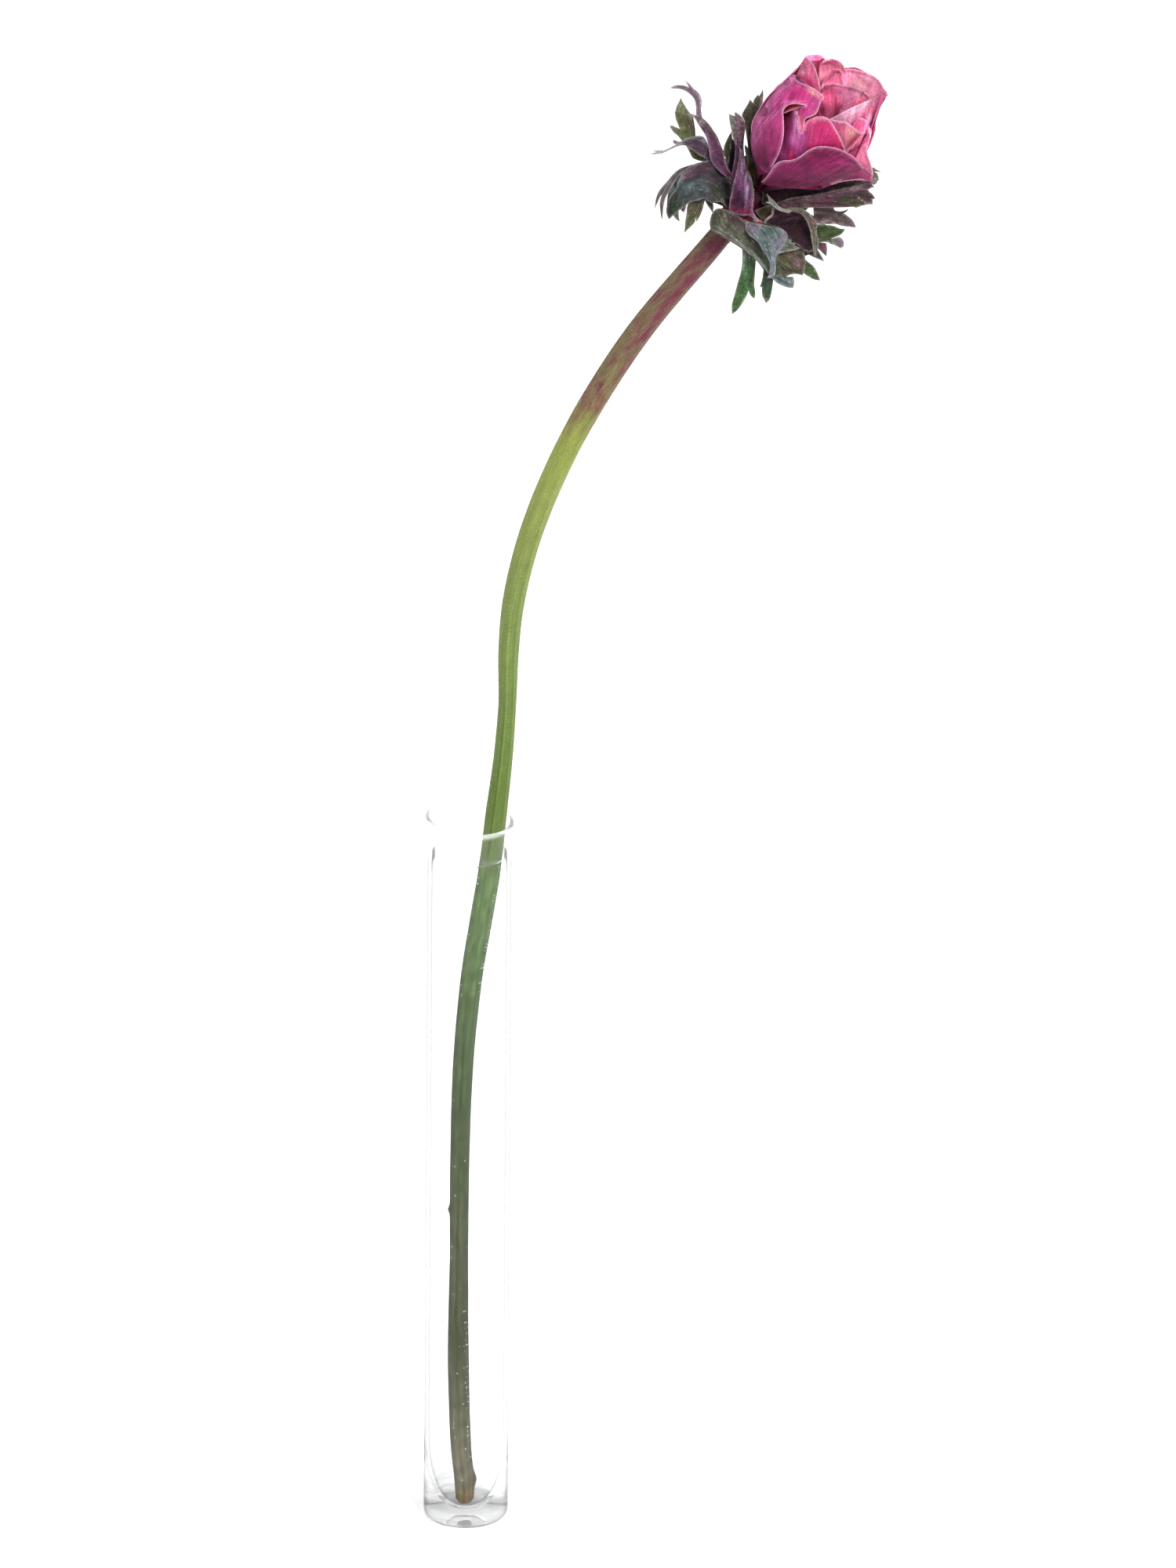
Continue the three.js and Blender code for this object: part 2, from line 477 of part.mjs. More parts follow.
// Edges along which a body only touches itself
function touchingEdges(body) {
  const mesh = body.getMesh();
  const corner = (i) => [...mesh.vertProperties.slice(mesh.numProp * i, mesh.numProp * i + 3)];
  const uses = new Map();
  for (let t = 0; t < mesh.triVerts.length; t += 3) {
    for (let k = 0; k < 3; k += 1) {
      const ends = [corner(mesh.triVerts[t + k]), corner(mesh.triVerts[t + ((k + 1) % 3)])];
      const key = ends.map((end) => end.map((v) => Math.round(v * SNAP)).join(',')).sort().join(' ');
      if (!uses.has(key)) uses.set(key, { ends, count: 0 });
      uses.get(key).count += 1;
    }
  }
  return [...uses.values()].filter(({ count }) => count !== 2).map(({ ends }) => ends);
}

// A slim bead that joins two blades where they only touch
function bead([from, to]) {
  const start = new THREE.Vector3(...from);
  const end = new THREE.Vector3(...to);
  const along = end.clone().sub(start).normalize();
  const across = along.clone().cross(new THREE.Vector3(0.3, 0.5, 0.8)).normalize();
  const up = along.clone().cross(across);
  return loft([start.addScaledVector(along, -BEAD_RADIUS), end.addScaledVector(along, BEAD_RADIUS)].map(
    (place) => Array.from({ length: 5 }, (_, i) => place.clone()
      .addScaledVector(across, BEAD_RADIUS * Math.cos(i * 0.4 * Math.PI))
      .addScaledVector(up, BEAD_RADIUS * Math.sin(i * 0.4 * Math.PI))),
  ));
}

function toGeometry(solid, place) {
  let body = oneBody(solid, place);
  for (let edges = touchingEdges(body); edges.length; edges = touchingEdges(body)) {
    body = oneBody(joined([body, ...edges.map(bead)]));
  }
  const made = body.getMesh();
  const geometry = new THREE.BufferGeometry();
  geometry.setAttribute('position', new THREE.BufferAttribute(made.vertProperties, 3));
  geometry.setIndex(new THREE.BufferAttribute(made.triVerts, 1));
  return geometry;
}

// A closed tube through rings of points, with a fan over each end
function loft(rings) {
  const sides = rings[0].length;
  const points = rings.flat();
  const faces = [];
  for (let r = 0; r + 1 < rings.length; r += 1) {
    for (let i = 0; i < sides; i += 1) {
      const a = r * sides + i;
      const b = r * sides + ((i + 1) % sides);
      faces.push([a, b, b + sides], [a, b + sides, a + sides]);
    }
  }
  const middle = (ring) => ring.reduce((sum, p) => sum.add(p), new THREE.Vector3()).divideScalar(sides);
  const first = points.push(middle(rings[0])) - 1;
  const last = points.push(middle(rings[rings.length - 1])) - 1;
  const top = (rings.length - 1) * sides;
  for (let i = 0; i < sides; i += 1) {
    const next = (i + 1) % sides;
    faces.push([first, next, i], [last, top + i, top + next]);
  }
  return toSolid(points, faces);
}

// A thin closed sheet round a grid of points, split into triangles alike on both faces
function sheet(grid, thickness) {
  const rows = grid.length;
  const columns = grid[0].length;
  const at = (i, j) => grid[Math.min(rows - 1, Math.max(0, i))][Math.min(columns - 1, Math.max(0, j))];
  const upper = [];
  const lower = [];
  for (let i = 0; i < rows; i += 1) {
    for (let j = 0; j < columns; j += 1) {
      const along = at(i + 1, j).clone().sub(at(i - 1, j));
      const across = at(i, j + 1).clone().sub(at(i, j - 1));
      const normal = across.cross(along).normalize().multiplyScalar(thickness / 2);
      upper.push(at(i, j).clone().add(normal));
      lower.push(at(i, j).clone().sub(normal));
    }
  }
  const count = rows * columns;
  const faces = [];
  for (let i = 0; i + 1 < rows; i += 1) {
    for (let j = 0; j + 1 < columns; j += 1) {
      const a = i * columns + j;
      const b = a + 1;
      const c = a + columns + 1;
      const d = a + columns;
      faces.push([a, b, c], [a, c, d], [a + count, c + count, b + count], [a + count, d + count, c + count]);
    }
  }
  const rim = [];
  for (let j = 0; j + 1 < columns; j += 1) rim.push(j);
  for (let i = 0; i + 1 < rows; i += 1) rim.push(i * columns + columns - 1);
  for (let j = columns - 1; j > 0; j -= 1) rim.push((rows - 1) * columns + j);
  for (let i = rows - 1; i > 0; i -= 1) rim.push(i * columns);
  rim.forEach((a, k) => {
    const b = rim[(k + 1) % rim.length];
    faces.push([b, a, a + count], [b, a + count, b + count]);
  });
  return toSolid([...upper, ...lower], faces);
}

function joined(solids) {
  return wasm.Manifold.union(solids);
}

// Glass tube: a thick rounded foot, an egg-shaped floor inside, a slim wall and a fire-polished lip
function bowlHeight(radius) {
  const share = 1 - (radius / (TUBE_RADIUS - TUBE_WALL)) ** BOWL_SQUARENESS;
  return BOWL_TOP - (BOWL_TOP - BOWL_BOTTOM) * Math.max(0, share) ** (1 / BOWL_SQUARENESS);
}

function bowlProfile(inset, steps) {
  const radius = TUBE_RADIUS - TUBE_WALL;
  const line = [];
  for (let k = 0; k <= steps; k += 1) {
    const r = radius * Math.sin((k / steps) * Math.PI / 2);
    line.push(new THREE.Vector2(Math.max(0, r - inset * Math.sin((k / steps) * Math.PI / 2)), bowlHeight(r)
      + inset * Math.cos((k / steps) * Math.PI / 2)));
  }
  return line;
}

function slanted(geometry) {
  const place = geometry.attributes.position;
  for (let i = 0; i < place.count; i += 1) {
    const share = clamp01((place.getZ(i) - SLANT_START) / (TUBE_HEIGHT - SLANT_START));
    place.setZ(i, place.getZ(i) - RIM_SLANT * place.getX(i) * share * share);
  }
  return geometry;
}

function lathed(profile) {
  const geometry = new THREE.LatheGeometry(profile, TUBE_SIDES);
  geometry.rotateX(Math.PI / 2);
  return geometry;
}

function tubeSolid() {
  const inner = TUBE_RADIUS - TUBE_WALL;
  const profile = [new THREE.Vector2(0, 0)];
  const cornerSteps = 4;
  for (let k = 0; k <= cornerSteps; k += 1) {
    const turn = (k / cornerSteps) * Math.PI / 2;
    profile.push(new THREE.Vector2(
      TUBE_RADIUS - FOOT_ROUNDING * (1 - Math.sin(turn)),
      FOOT_ROUNDING * (1 - Math.cos(turn)),
    ));
  }
  const lip = TUBE_RADIUS + LIP_FLARE;
  profile.push(
    new THREE.Vector2(TUBE_RADIUS, SLANT_START),
    new THREE.Vector2(TUBE_RADIUS, TUBE_HEIGHT - LIP_HEIGHT),
    new THREE.Vector2(TUBE_RADIUS + LIP_FLARE * 0.4, TUBE_HEIGHT - LIP_HEIGHT * 0.4),
    new THREE.Vector2(lip, TUBE_HEIGHT - 0.7),
    new THREE.Vector2(lip - 0.25, TUBE_HEIGHT - 0.15),
    new THREE.Vector2(lip - 0.7, TUBE_HEIGHT),
    new THREE.Vector2(lip - 1.1, TUBE_HEIGHT - 0.3),
    new THREE.Vector2(inner + LIP_FLARE * 0.4, TUBE_HEIGHT - LIP_HEIGHT * 0.4),
    new THREE.Vector2(inner, TUBE_HEIGHT - LIP_HEIGHT),
    new THREE.Vector2(inner, SLANT_START),
    ...bowlProfile(0, 8).reverse(),
  );
  return solidOf(slanted(lathed(profile)));
}

// A lathed shape with its seam and poles merged, so that it is one closed surface
function solidOf(geometry) {
  const place = geometry.attributes.position;
  const points = [];
  for (let i = 0; i < place.count; i += 1) points.push(new THREE.Vector3().fromBufferAttribute(place, i));
  const faces = [];
  for (let t = 0; t < geometry.index.count; t += 3) {
    faces.push([0, 1, 2].map((k) => geometry.index.getX(t + k)));
  }
  return welded(points, faces);
}

// The stem: a ribbed tube along its centre line, with a rounded cut end below
const stemCurve = new THREE.CatmullRomCurve3(STEM_LINE.map(([x, y, z]) => new THREE.Vector3(x, y, z)));

function stemSolid(extra, steps) {
  const rings = [];
  const side = new THREE.Vector3(0, -1, 0);
  for (let k = 0; k <= steps; k += 1) {
    const t = k / steps;
    const place = stemCurve.getPoint(t);
    const along = stemCurve.getTangent(t);
    const across = side.clone().cross(along).normalize();
    const out = along.clone().cross(across);
    const at = t * (STEM_LINE.length - 1);
    const low = Math.min(STEM_LINE.length - 2, Math.floor(at));
    const radius = mix(STEM_LINE[low][3], STEM_LINE[low + 1][3], at - low) + extra;
    const ring = [];
    for (let i = 0; i < STEM_SIDES; i += 1) {
      const turn = (i / STEM_SIDES) * 2 * Math.PI;
      const reach = radius * (1 + (extra ? 0 : STEM_RIB_DEPTH) * Math.cos(STEM_RIBS * turn));
      ring.push(place.clone()
        .addScaledVector(across, reach * Math.cos(turn))
        .addScaledVector(out, reach * Math.sin(turn)));
    }
    rings.push(ring);
  }
  if (extra) {
    const lowest = rings[0].map((p) => p.clone().setZ(p.z - extra));
    rings.unshift(lowest);
  }
  return loft(rings);
}

// Water: fills the tube to its level, with a low meniscus and a plain hole for the stem
function waterSolid() {
  const radius = TUBE_RADIUS - TUBE_WALL - GAP;
  const profile = [
    ...bowlProfile(GAP, 8),
    new THREE.Vector2(radius, WATER_LEVEL + MENISCUS),
    new THREE.Vector2(radius - 0.7, WATER_LEVEL + MENISCUS * 0.3),
    new THREE.Vector2(radius - 2, WATER_LEVEL),
    new THREE.Vector2(0, WATER_LEVEL),
  ];
  return solidOf(lathed(profile)).subtract(stemSolid(GAP, STEM_STEPS));
}

// The bud's egg shape, and a point of it seen from the front
const budSide = new THREE.Vector3(BUD_AXIS.y, -BUD_AXIS.x, 0).normalize();
const budFar = BUD_AXIS.clone().cross(budSide);

function sideRadius(outline, height) {
  const above = outline.findIndex(([level]) => level > height);
  if (above < 0) return outline[outline.length - 1][1];
  if (above === 0) return outline[0][1];
  const [[low, narrow], [high, wide]] = [outline[above - 1], outline[above]];
  return mix(narrow, wide, (height - low) / (high - low));
}

function budRadius(height, angle) {
  const toRight = (1 + Math.cos(angle)) / 2;
  return mix(sideRadius(BUD_LEFT, height), sideRadius(BUD_RIGHT, height), toRight);
}

// Angle round the axis, height along it and distance from it, for a point in the head's frame
function budPolar(x, y, z) {
  const from = new THREE.Vector3(x, y, z).sub(BUD_BASE);
  const height = from.dot(BUD_AXIS);
  const right = from.dot(budSide);
  const far = from.dot(budFar);
  return [Math.atan2(far, right), height, Math.hypot(right, far)];
}

function budPoint([angle, height, radius]) {
  return BUD_BASE.clone()
    .addScaledVector(BUD_AXIS, height)
    .addScaledVector(budSide, radius * Math.cos(angle))
    .addScaledVector(budFar, radius * Math.sin(angle));
}

// Finds how far forward a point seen at x, y lies when it stands off the egg shape by its lift
function onBud([x, y, lift, facing = FRONT]) {
  if (facing === EDGE) {
    const far = (x - BUD_BASE.x) * budFar.x + (y - BUD_BASE.y) * budFar.y;
    const [angle, height, radius] = budPolar(x, y, BUD_BASE.z - far / budFar.z);
    return [angle, height, radius + lift];
  }
  const outside = (z) => {
    const [angle, height, radius] = budPolar(x, y, z);
    return radius - budRadius(height, angle) - lift;
  };
  let middle = -30;
  for (let z = -30; z <= 40; z += 0.5) {
    if (outside(z) < outside(middle)) middle = z;
  }
  if (outside(middle) >= 0) return budPolar(x, y, middle);
  let near = middle;
  let far = middle + 45 * facing;
  for (let step = 0; step < 30; step += 1) {
    const half = (near + far) / 2;
    if (outside(half) < 0) near = half;
    else far = half;
  }
  return budPolar(x, y, near);
}

// A smooth value between the knots of a list, by the Catmull-Rom rule
function smooth(knots, t) {
  const at = clamp01(t) * (knots.length - 1);
  const low = Math.min(knots.length - 2, Math.floor(at));
  const u = at - low;
  const knot = (i) => knots[Math.min(knots.length - 1, Math.max(0, i))];
  return knots[0].map((_, k) => {
    const [a, b, c, d] = [knot(low - 1)[k], knot(low)[k], knot(low + 1)[k], knot(low + 2)[k]];
    const square = 2 * a - 5 * b + 4 * c - d;
    const cube = 3 * b - a - 3 * c + d;
    return 0.5 * (2 * b + (c - a) * u + square * u ** 2 + cube * u ** 3);
  });
}

// Adds the hidden claw of a petal, from the bud's base up to its first row
function withClaw(rows) {
  const first = rows[0];
  const centre = first.reduce((sum, point) => sum + point[0], 0) / first.length;
  const claw = [0, 0.35, 0.7].map((share) => first.map(([angle, height, radius]) => {
    const rise = mix(CLAW_START, height, share);
    const lift = radius - budRadius(height, angle);
    const narrow = mix(CLAW_NARROWING, 1, share);
    const turn = centre + (angle - centre) * narrow;
    return [turn, rise, Math.max(CLAW_RADIUS, budRadius(rise, turn) + lift * share * share)];
  }));
  return [...claw, ...rows];
}

function petalSolid(points, { rows, columns }, thickness) {
  const grid = [];
  for (let i = 0; i <= rows; i += 1) {
    const line = [];
    for (let j = 0; j <= columns; j += 1) {
      const across = points.map((row) => smooth(row, j / columns));
      line.push(budPoint(smooth(across, i / rows)));
    }
    grid.push(line);
  }
  return sheet(grid, thickness);
}

// Turns the rows of a seen petal into polar rows, with the angles running on without a jump
function seenPetal(rows) {
  const polar = rows.map((row) => row.map(onBud));
  let last = polar[0][Math.floor(polar[0].length / 2)][0];
  polar.forEach((row) => {
    const order = row.map((_, k) => k);
    order.forEach((k) => {
      const turns = Math.round((last - row[k][0]) / (2 * Math.PI));
      row[k][0] += turns * 2 * Math.PI;
      last = row[k][0];
    });
    last = row[0][0];
  });
  return withClaw(polar);
}

function hiddenPetal({ angle, spread, height, lift }) {
  const rows = [];
  const levels = [0.3, 0.55, 0.8, 1];
  const widths = [0.8, 1, 0.95, 0.6];
  levels.forEach((level, k) => {
    rows.push([-1, -0.5, 0, 0.5, 1].map((side) => {
      const rise = height * level * (1 - 0.06 * side * side * level);
      const turn = THREE.MathUtils.degToRad(angle + spread * widths[k] * side);
      return [turn, rise, budRadius(rise, turn) + lift];
    }));
  });
  return withClaw(rows);
}

// The bud's solid middle, from the end of the stem up to where the inner petals part
function core(extra) {
  const top = CORE_HEIGHTS[CORE_HEIGHTS.length - 1];
  return loft(CORE_HEIGHTS.map((height, k) => {
    const rise = height + (k === 0 ? -extra : 0);
    const round = Math.sqrt(Math.max(0.05, 1 - ((Math.max(height, 10) - 10) / (top - 9.8)) ** 2));
    return Array.from({ length: 16 }, (_, i) => {
      const spin = (i / 16) * 2 * Math.PI;
      const share = k === 0 ? CORE_FOOT_SHARE : CORE_SHARE;
      return budPoint([spin, rise, budRadius(Math.max(height, 1.5), spin) * share * round + extra]);
    });
  }));
}

function bloomSolid(extra) {
  const thickness = PETAL_THICKNESS + 2 * extra;
  const seen = Object.values(PETALS).map((rows) => {
    const size = rows.length > LONG_PETAL ? LARGE_PETAL : SMALL_PETAL;
    return petalSolid(seenPetal(rows), size, thickness);
  });
  const hidden = HIDDEN_PETALS.map((petal) => petalSolid(hiddenPetal(petal), HIDDEN_PETAL, thickness));
  return joined([core(extra), ...seen, ...hidden]);
}

// A leaf blade along its rib: narrow at the root, widest part way up and pointed at the tip
function bladeWidth({ widest = 0.45, root = 0.6, taper = 0.8 }, t) {
  if (t < widest) return root + (1 - root) * Math.sin((t / widest) * Math.PI / 2);
  return Math.max(LEAF_TIP, Math.cos(((t - widest) / (1 - widest)) * Math.PI / 2) ** taper);
}

function ribCurve(rib) {
  return new THREE.CatmullRomCurve3(rib.map((p) => new THREE.Vector3(...p)));
}

function bladeGrid(blade, steps) {
  const curve = ribCurve(blade.rib);
  const face = new THREE.Vector3(...blade.face);
  const grid = [];
  for (let i = 0; i <= steps; i += 1) {
    const t = i / steps;
    const place = curve.getPoint(t);
    const along = curve.getTangent(t);
    const across = along.clone().cross(face).normalize();
    const normal = across.clone().cross(along).normalize();
    const half = blade.width * bladeWidth(blade, t);
    grid.push([-1, 0, 1].map((side) => place.clone()
      .addScaledVector(across, half * side)
      .addScaledVector(normal, half * blade.rise * Math.abs(side))));
  }
  return grid;
}

// The point of the collar that a frond grows from, below the next point of its rib
function collarRoot(point) {
  const from = new THREE.Vector3(...point).sub(COLLAR_CENTRE);
  const out = from.clone().addScaledVector(COLLAR_AXIS, -from.dot(COLLAR_AXIS)).normalize();
  return COLLAR_CENTRE.clone().addScaledVector(out, COLLAR_OUTER - 0.8).toArray();
}

function lobeSolids(lobes, face, start) {
  return (lobes ?? []).flatMap((lobe) => bladeSolids({
    face,
    rise: 0.2,
    ...lobe,
    rib: [start(lobe.from), ...lobe.rib],
  }, LOBE_STEPS));
}

function bladeSolids(blade, steps) {
  const curve = ribCurve(blade.rib);
  const own = sheet(bladeGrid(blade, steps), LEAF_THICKNESS);
  return [own, ...lobeSolids(blade.lobes, blade.face, (from) => curve.getPoint(from).toArray())];
}

function broadSolids({ rows, face, lobes }) {
  const rooted = [rows[0].map(collarRoot), ...rows];
  const place = (along, aside) => smooth(rooted.map((row) => smooth(row, aside)), along);
  const steps = Math.ceil(rows.length * BROAD_STEPS);
  const columns = rows[0].length * 2 - 3;
  const grid = [];
  for (let i = 0; i <= steps; i += 1) {
    const line = [];
    for (let j = 0; j <= columns; j += 1) line.push(new THREE.Vector3(...place(i / steps, j / columns)));
    grid.push(line);
  }
  return [sheet(grid, LEAF_THICKNESS), ...lobeSolids(lobes, face, ([along, aside]) => place(along, aside))];
}

// A frond of the far side: it arches out and up, with lobes in pairs that point to its tip
function backFrond({ angle, length, rise }) {
  const turn = THREE.MathUtils.degToRad(angle);
  const lean = THREE.MathUtils.degToRad(rise);
  const out = budSide.clone().multiplyScalar(Math.cos(turn)).addScaledVector(budFar, Math.sin(turn));
  const aside = budFar.clone().multiplyScalar(Math.cos(turn)).addScaledVector(budSide, -Math.sin(turn));
  const point = (reach, spread) => COLLAR_CENTRE.clone()
    .addScaledVector(out, reach * Math.cos(lean))
    .addScaledVector(COLLAR_AXIS, reach * Math.sin(lean) * (1.25 - 0.6 * reach / length))
    .addScaledVector(aside, spread)
    .toArray();
  const lobes = [];
  [[0.3, 0.5], [0.52, 0.36]].forEach(([from, size]) => {
    [-1, 1].forEach((side) => {
      const start = from * length;
      lobes.push({
        from,
        width: 1.3,
        rib: [point(start + size * 10, side * size * 7), point(start + size * 20, side * size * 13)],
      });
    });
  });
  return {
    rib: [0.35 * length, 0.7 * length, length].map((reach) => point(reach, 0)),
    width: 2.6, widest: 0.4, root: 0.5, face: BUD_AXIS.toArray(), rise: 0.25, lobes,
  };
}

function collar() {
  const side = budSide.clone();
  const across = COLLAR_AXIS.clone().cross(side).normalize();
  const ringAt = (height, radius) => Array.from({ length: 14 }, (_, i) => {
    const turn = (i / 14) * 2 * Math.PI;
    return COLLAR_CENTRE.clone()
      .addScaledVector(COLLAR_AXIS, height)
      .addScaledVector(side, radius * Math.cos(turn))
      .addScaledVector(across, radius * Math.sin(turn));
  });
  const half = COLLAR_HEIGHT / 2;
  const outer = loft([
    ringAt(-half, COLLAR_OUTER - 0.9),
    ringAt(-half * 0.4, COLLAR_OUTER),
    ringAt(half * 0.4, COLLAR_OUTER),
    ringAt(half, COLLAR_OUTER - 0.9),
  ]);
  const hole = loft([ringAt(-half - 8, COLLAR_HOLE), ringAt(half + 4, COLLAR_HOLE)]);
  return { outer, hole };
}

function ruffSolid() {
  const { outer, hole } = collar();
  const fronds = [...FRONDS, ...BACK_FRONDS.map(backFrond)];
  const blades = [
    ...BROAD_FRONDS.flatMap(broadSolids),
    ...fronds.flatMap((frond) => bladeSolids({
      ...frond,
      rib: [collarRoot(frond.rib[0]), ...frond.rib],
    }, FROND_STEPS)),
  ];
  return joined([outer, ...blades]).subtract(hole).subtract(bloomSolid(GAP));
}

function piece(name, geometry, material) {
  const mesh = new THREE.Mesh(geometry, material);
  mesh.name = name;
  return mesh;
}

const headPlace = new THREE.Matrix4().makeRotationX(Math.PI / 2 - HEAD_TILT).setPosition(HEAD_PLACE);

const flower = new THREE.Group();
flower.name = 'anemone_in_tube_vase';
flower.add(piece('glass_tube', toGeometry(tubeSolid()), colours.glass));
flower.add(piece('water', toGeometry(waterSolid()), colours.water));
flower.add(piece('stem', toGeometry(stemSolid(0, STEM_STEPS)), colours.stem));
flower.add(piece('ruff', toGeometry(ruffSolid().simplify(MERGE_WITHIN), headPlace), colours.leaf));
flower.add(piece('bloom', toGeometry(bloomSolid(0).simplify(MERGE_WITHIN), headPlace), colours.petal));

export default flower;
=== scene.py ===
# A pink anemone bud on its cut stem, in a slim glass tube of water, on a white table.
# Sizes in the lists are millimetres, in the same frames as in part.mjs.

import math
import random

import bpy
from mathutils import Matrix, Vector, kdtree, noise
from mathutils.geometry import delaunay_2d_cdt


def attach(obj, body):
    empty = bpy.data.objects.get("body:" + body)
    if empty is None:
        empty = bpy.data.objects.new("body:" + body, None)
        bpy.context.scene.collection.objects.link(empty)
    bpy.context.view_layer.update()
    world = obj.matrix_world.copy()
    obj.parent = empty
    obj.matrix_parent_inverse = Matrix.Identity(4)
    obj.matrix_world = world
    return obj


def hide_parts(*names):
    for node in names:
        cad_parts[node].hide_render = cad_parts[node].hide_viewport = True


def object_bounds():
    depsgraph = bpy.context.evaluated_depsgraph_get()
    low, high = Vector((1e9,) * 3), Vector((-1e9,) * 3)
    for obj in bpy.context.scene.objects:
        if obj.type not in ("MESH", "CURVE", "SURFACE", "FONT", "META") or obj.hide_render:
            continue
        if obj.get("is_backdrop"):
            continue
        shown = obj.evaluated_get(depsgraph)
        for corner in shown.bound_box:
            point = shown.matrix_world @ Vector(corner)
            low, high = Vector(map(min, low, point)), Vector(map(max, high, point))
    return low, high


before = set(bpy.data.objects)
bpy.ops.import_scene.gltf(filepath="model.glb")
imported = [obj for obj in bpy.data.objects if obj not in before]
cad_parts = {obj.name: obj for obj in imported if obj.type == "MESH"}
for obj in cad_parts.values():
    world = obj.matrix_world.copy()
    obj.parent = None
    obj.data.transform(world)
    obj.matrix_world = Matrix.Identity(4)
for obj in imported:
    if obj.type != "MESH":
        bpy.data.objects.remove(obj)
sizes = {"cad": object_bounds()}

MM = 0.001
FRONT, EDGE, BACK = 1, 0, -1

# Vase and water
TUBE_HEIGHT = 198
TUBE_RADIUS = 11
TUBE_WALL = 1.1
FOOT_ROUNDING = 1.7
BOWL_TOP = 23
BOWL_BOTTOM = 2.2
BOWL_SQUARENESS = 2.5
BOWL_STEPS = 28
LIP_FLARE = 0.45
LIP_RADIUS = 0.55
RIM_SLANT = 0.083
SLANT_START = 150
WATER_LEVEL = 187.5
MENISCUS = 0.9
WATER_GAP = 0.02
VASE_SIDES = 96

# Heights on the vase between which its look changes: its painted shade near the foot and where it is seen
# edge on, and its painted light near the rim, at the lip and under the foot
FOOT_STREAKS = (6, 14)
RIM_FADE = (187, 192)
RIM_PAINTED_LIGHT = (186, 189)
LIP_PAINTED_LIGHT = (TUBE_HEIGHT - 2.2, TUBE_HEIGHT - 1)
FOOT_PAINTED_LIGHT = (0.2, 1.4)

# Sockets of the node that mixes two colours
MIX_SHARE, MIX_FIRST, MIX_SECOND, MIX_RESULT = 0, 6, 7, 2

# Stem
STEM_RINGS = 420
STEM_SIDES = 72
STEM_RIBS = 6
STEM_RIB_DEPTH = 0.03
STEM_SEED = 2.0
STEM_DICE = 5
DOWN_COUNT = 5200
DOWN_RANGE = (0.5, 0.985)
DOWN_LENGTH = (0.3, 0.8)
DOWN_WIDTH = 0.03
DOWN_COLOUR = (200, 190, 184)
BUBBLE_RADIUS = (0.06, 0.17)
# The bubbles' pale colour is a painted glint.
BUBBLE_GLINT_COLOUR = (226, 234, 230)

# Head
HEAD_PLACE = Vector((71.1, 0, 370.9))
HEAD_TILT = math.radians(24)
HEAD = Matrix.Translation(HEAD_PLACE) @ Matrix.Rotation(math.pi / 2 - HEAD_TILT, 4, "X")
BUD_BASE = Vector((2.5, 4.5, 2))
BUD_AXIS = Vector((0.591, 0.656, 0.469)).normalized()
BUD_SIDE = Vector((BUD_AXIS.y, -BUD_AXIS.x, 0)).normalized()
BUD_FAR = BUD_AXIS.cross(BUD_SIDE)
BUD_LEFT = [(0, 1.5), (3, 3.4), (6, 7.1), (10, 10.4), (14, 12.5), (20, 13.6), (26, 13.7), (31, 13.2),
            (37, 13), (41, 11.4), (46, 7), (50, 1)]
BUD_RIGHT = [(0, 1.5), (3, 2.9), (6, 5), (10, 8.6), (14, 11.4), (18, 13.6), (23, 14.4), (29, 13.4),
             (33, 12), (38, 10.4), (42, 9), (46, 6.2), (50, 1)]

# Petals
PETAL_THICKNESS = 0.34
PETAL_OUTLINE_STEP = 0.22
PETAL_MESH_STEP = 0.32
PETAL_GRID = (48, 36)
HIDDEN_GRID = (52, 40)
HIDDEN_CLAW = 0.43
CLAW_START = 1
CLAW_RADIUS = 2
CLAW_NARROWING = 0.5
SUNK = 1.3
# Painted shade on the petals that back the outlined faces, turning to a dark painted shade colour towards
# their foot
SUNK_SHADE = (0.52, 0.42, 0.52)
SUNK_FOOT_SHADE = (60, 14, 40)
FACE_SEED = 51.0
HIDDEN_SEED = 31.0
CORE_COLOUR = (78, 12, 42)
CORE_SIDES = 40
CORE_HEIGHTS = (-0.4, 0.4, 1.5, 4, 7, 10, 12, 14, 15.5, 16.4)

# Ruff
COLLAR_CENTRE = Vector((-2.5, -1.4, -0.64))
COLLAR_AXIS = Vector((0.611, 0.722, 0.322)).normalized()
COLLAR_HEIGHT = 4.4
COLLAR_OUTER = 4.7
COLLAR_HOLE = 3.2
COLLAR_SIDES = 48
COLLAR_COLOUR = (110, 24, 52)
LEAF_THICKNESS = 0.34
LEAF_OUTLINE_STEP = 0.26
LEAF_MESH_STEP = 0.4
LEAF_SHADE = 0.4
LEAF_DICE = 9
LEAF_SEED = 300.0
LEAF_SEED_STEP = 11
MIDRIB_STEPS = 16
FROND_SINK = 0.8
FROND_GRID = (48, 30)
FROND_RIBS = 7
FROND_SEED = 3.0
FROND_SEED_STEP = 40
BACK_SEED = 600.0
BACK_WIDTH = 2.6
BACK_LOBE_WIDTH = 1.3
BACK_STEPS = 40
LOBE_STEPS = 24
BLADE_COLUMNS = 10
PALE = (186, 180, 174)
CRIMSON = (124, 18, 52)
BACK_LEAF_COLOUR = (84, 92, 66)
HAIR_SHARE = 0.4
HAIR_LENGTH = (0.15, 0.45)
HAIR_WIDTH = 0.025
HAIR_COLOUR = (170, 164, 162)

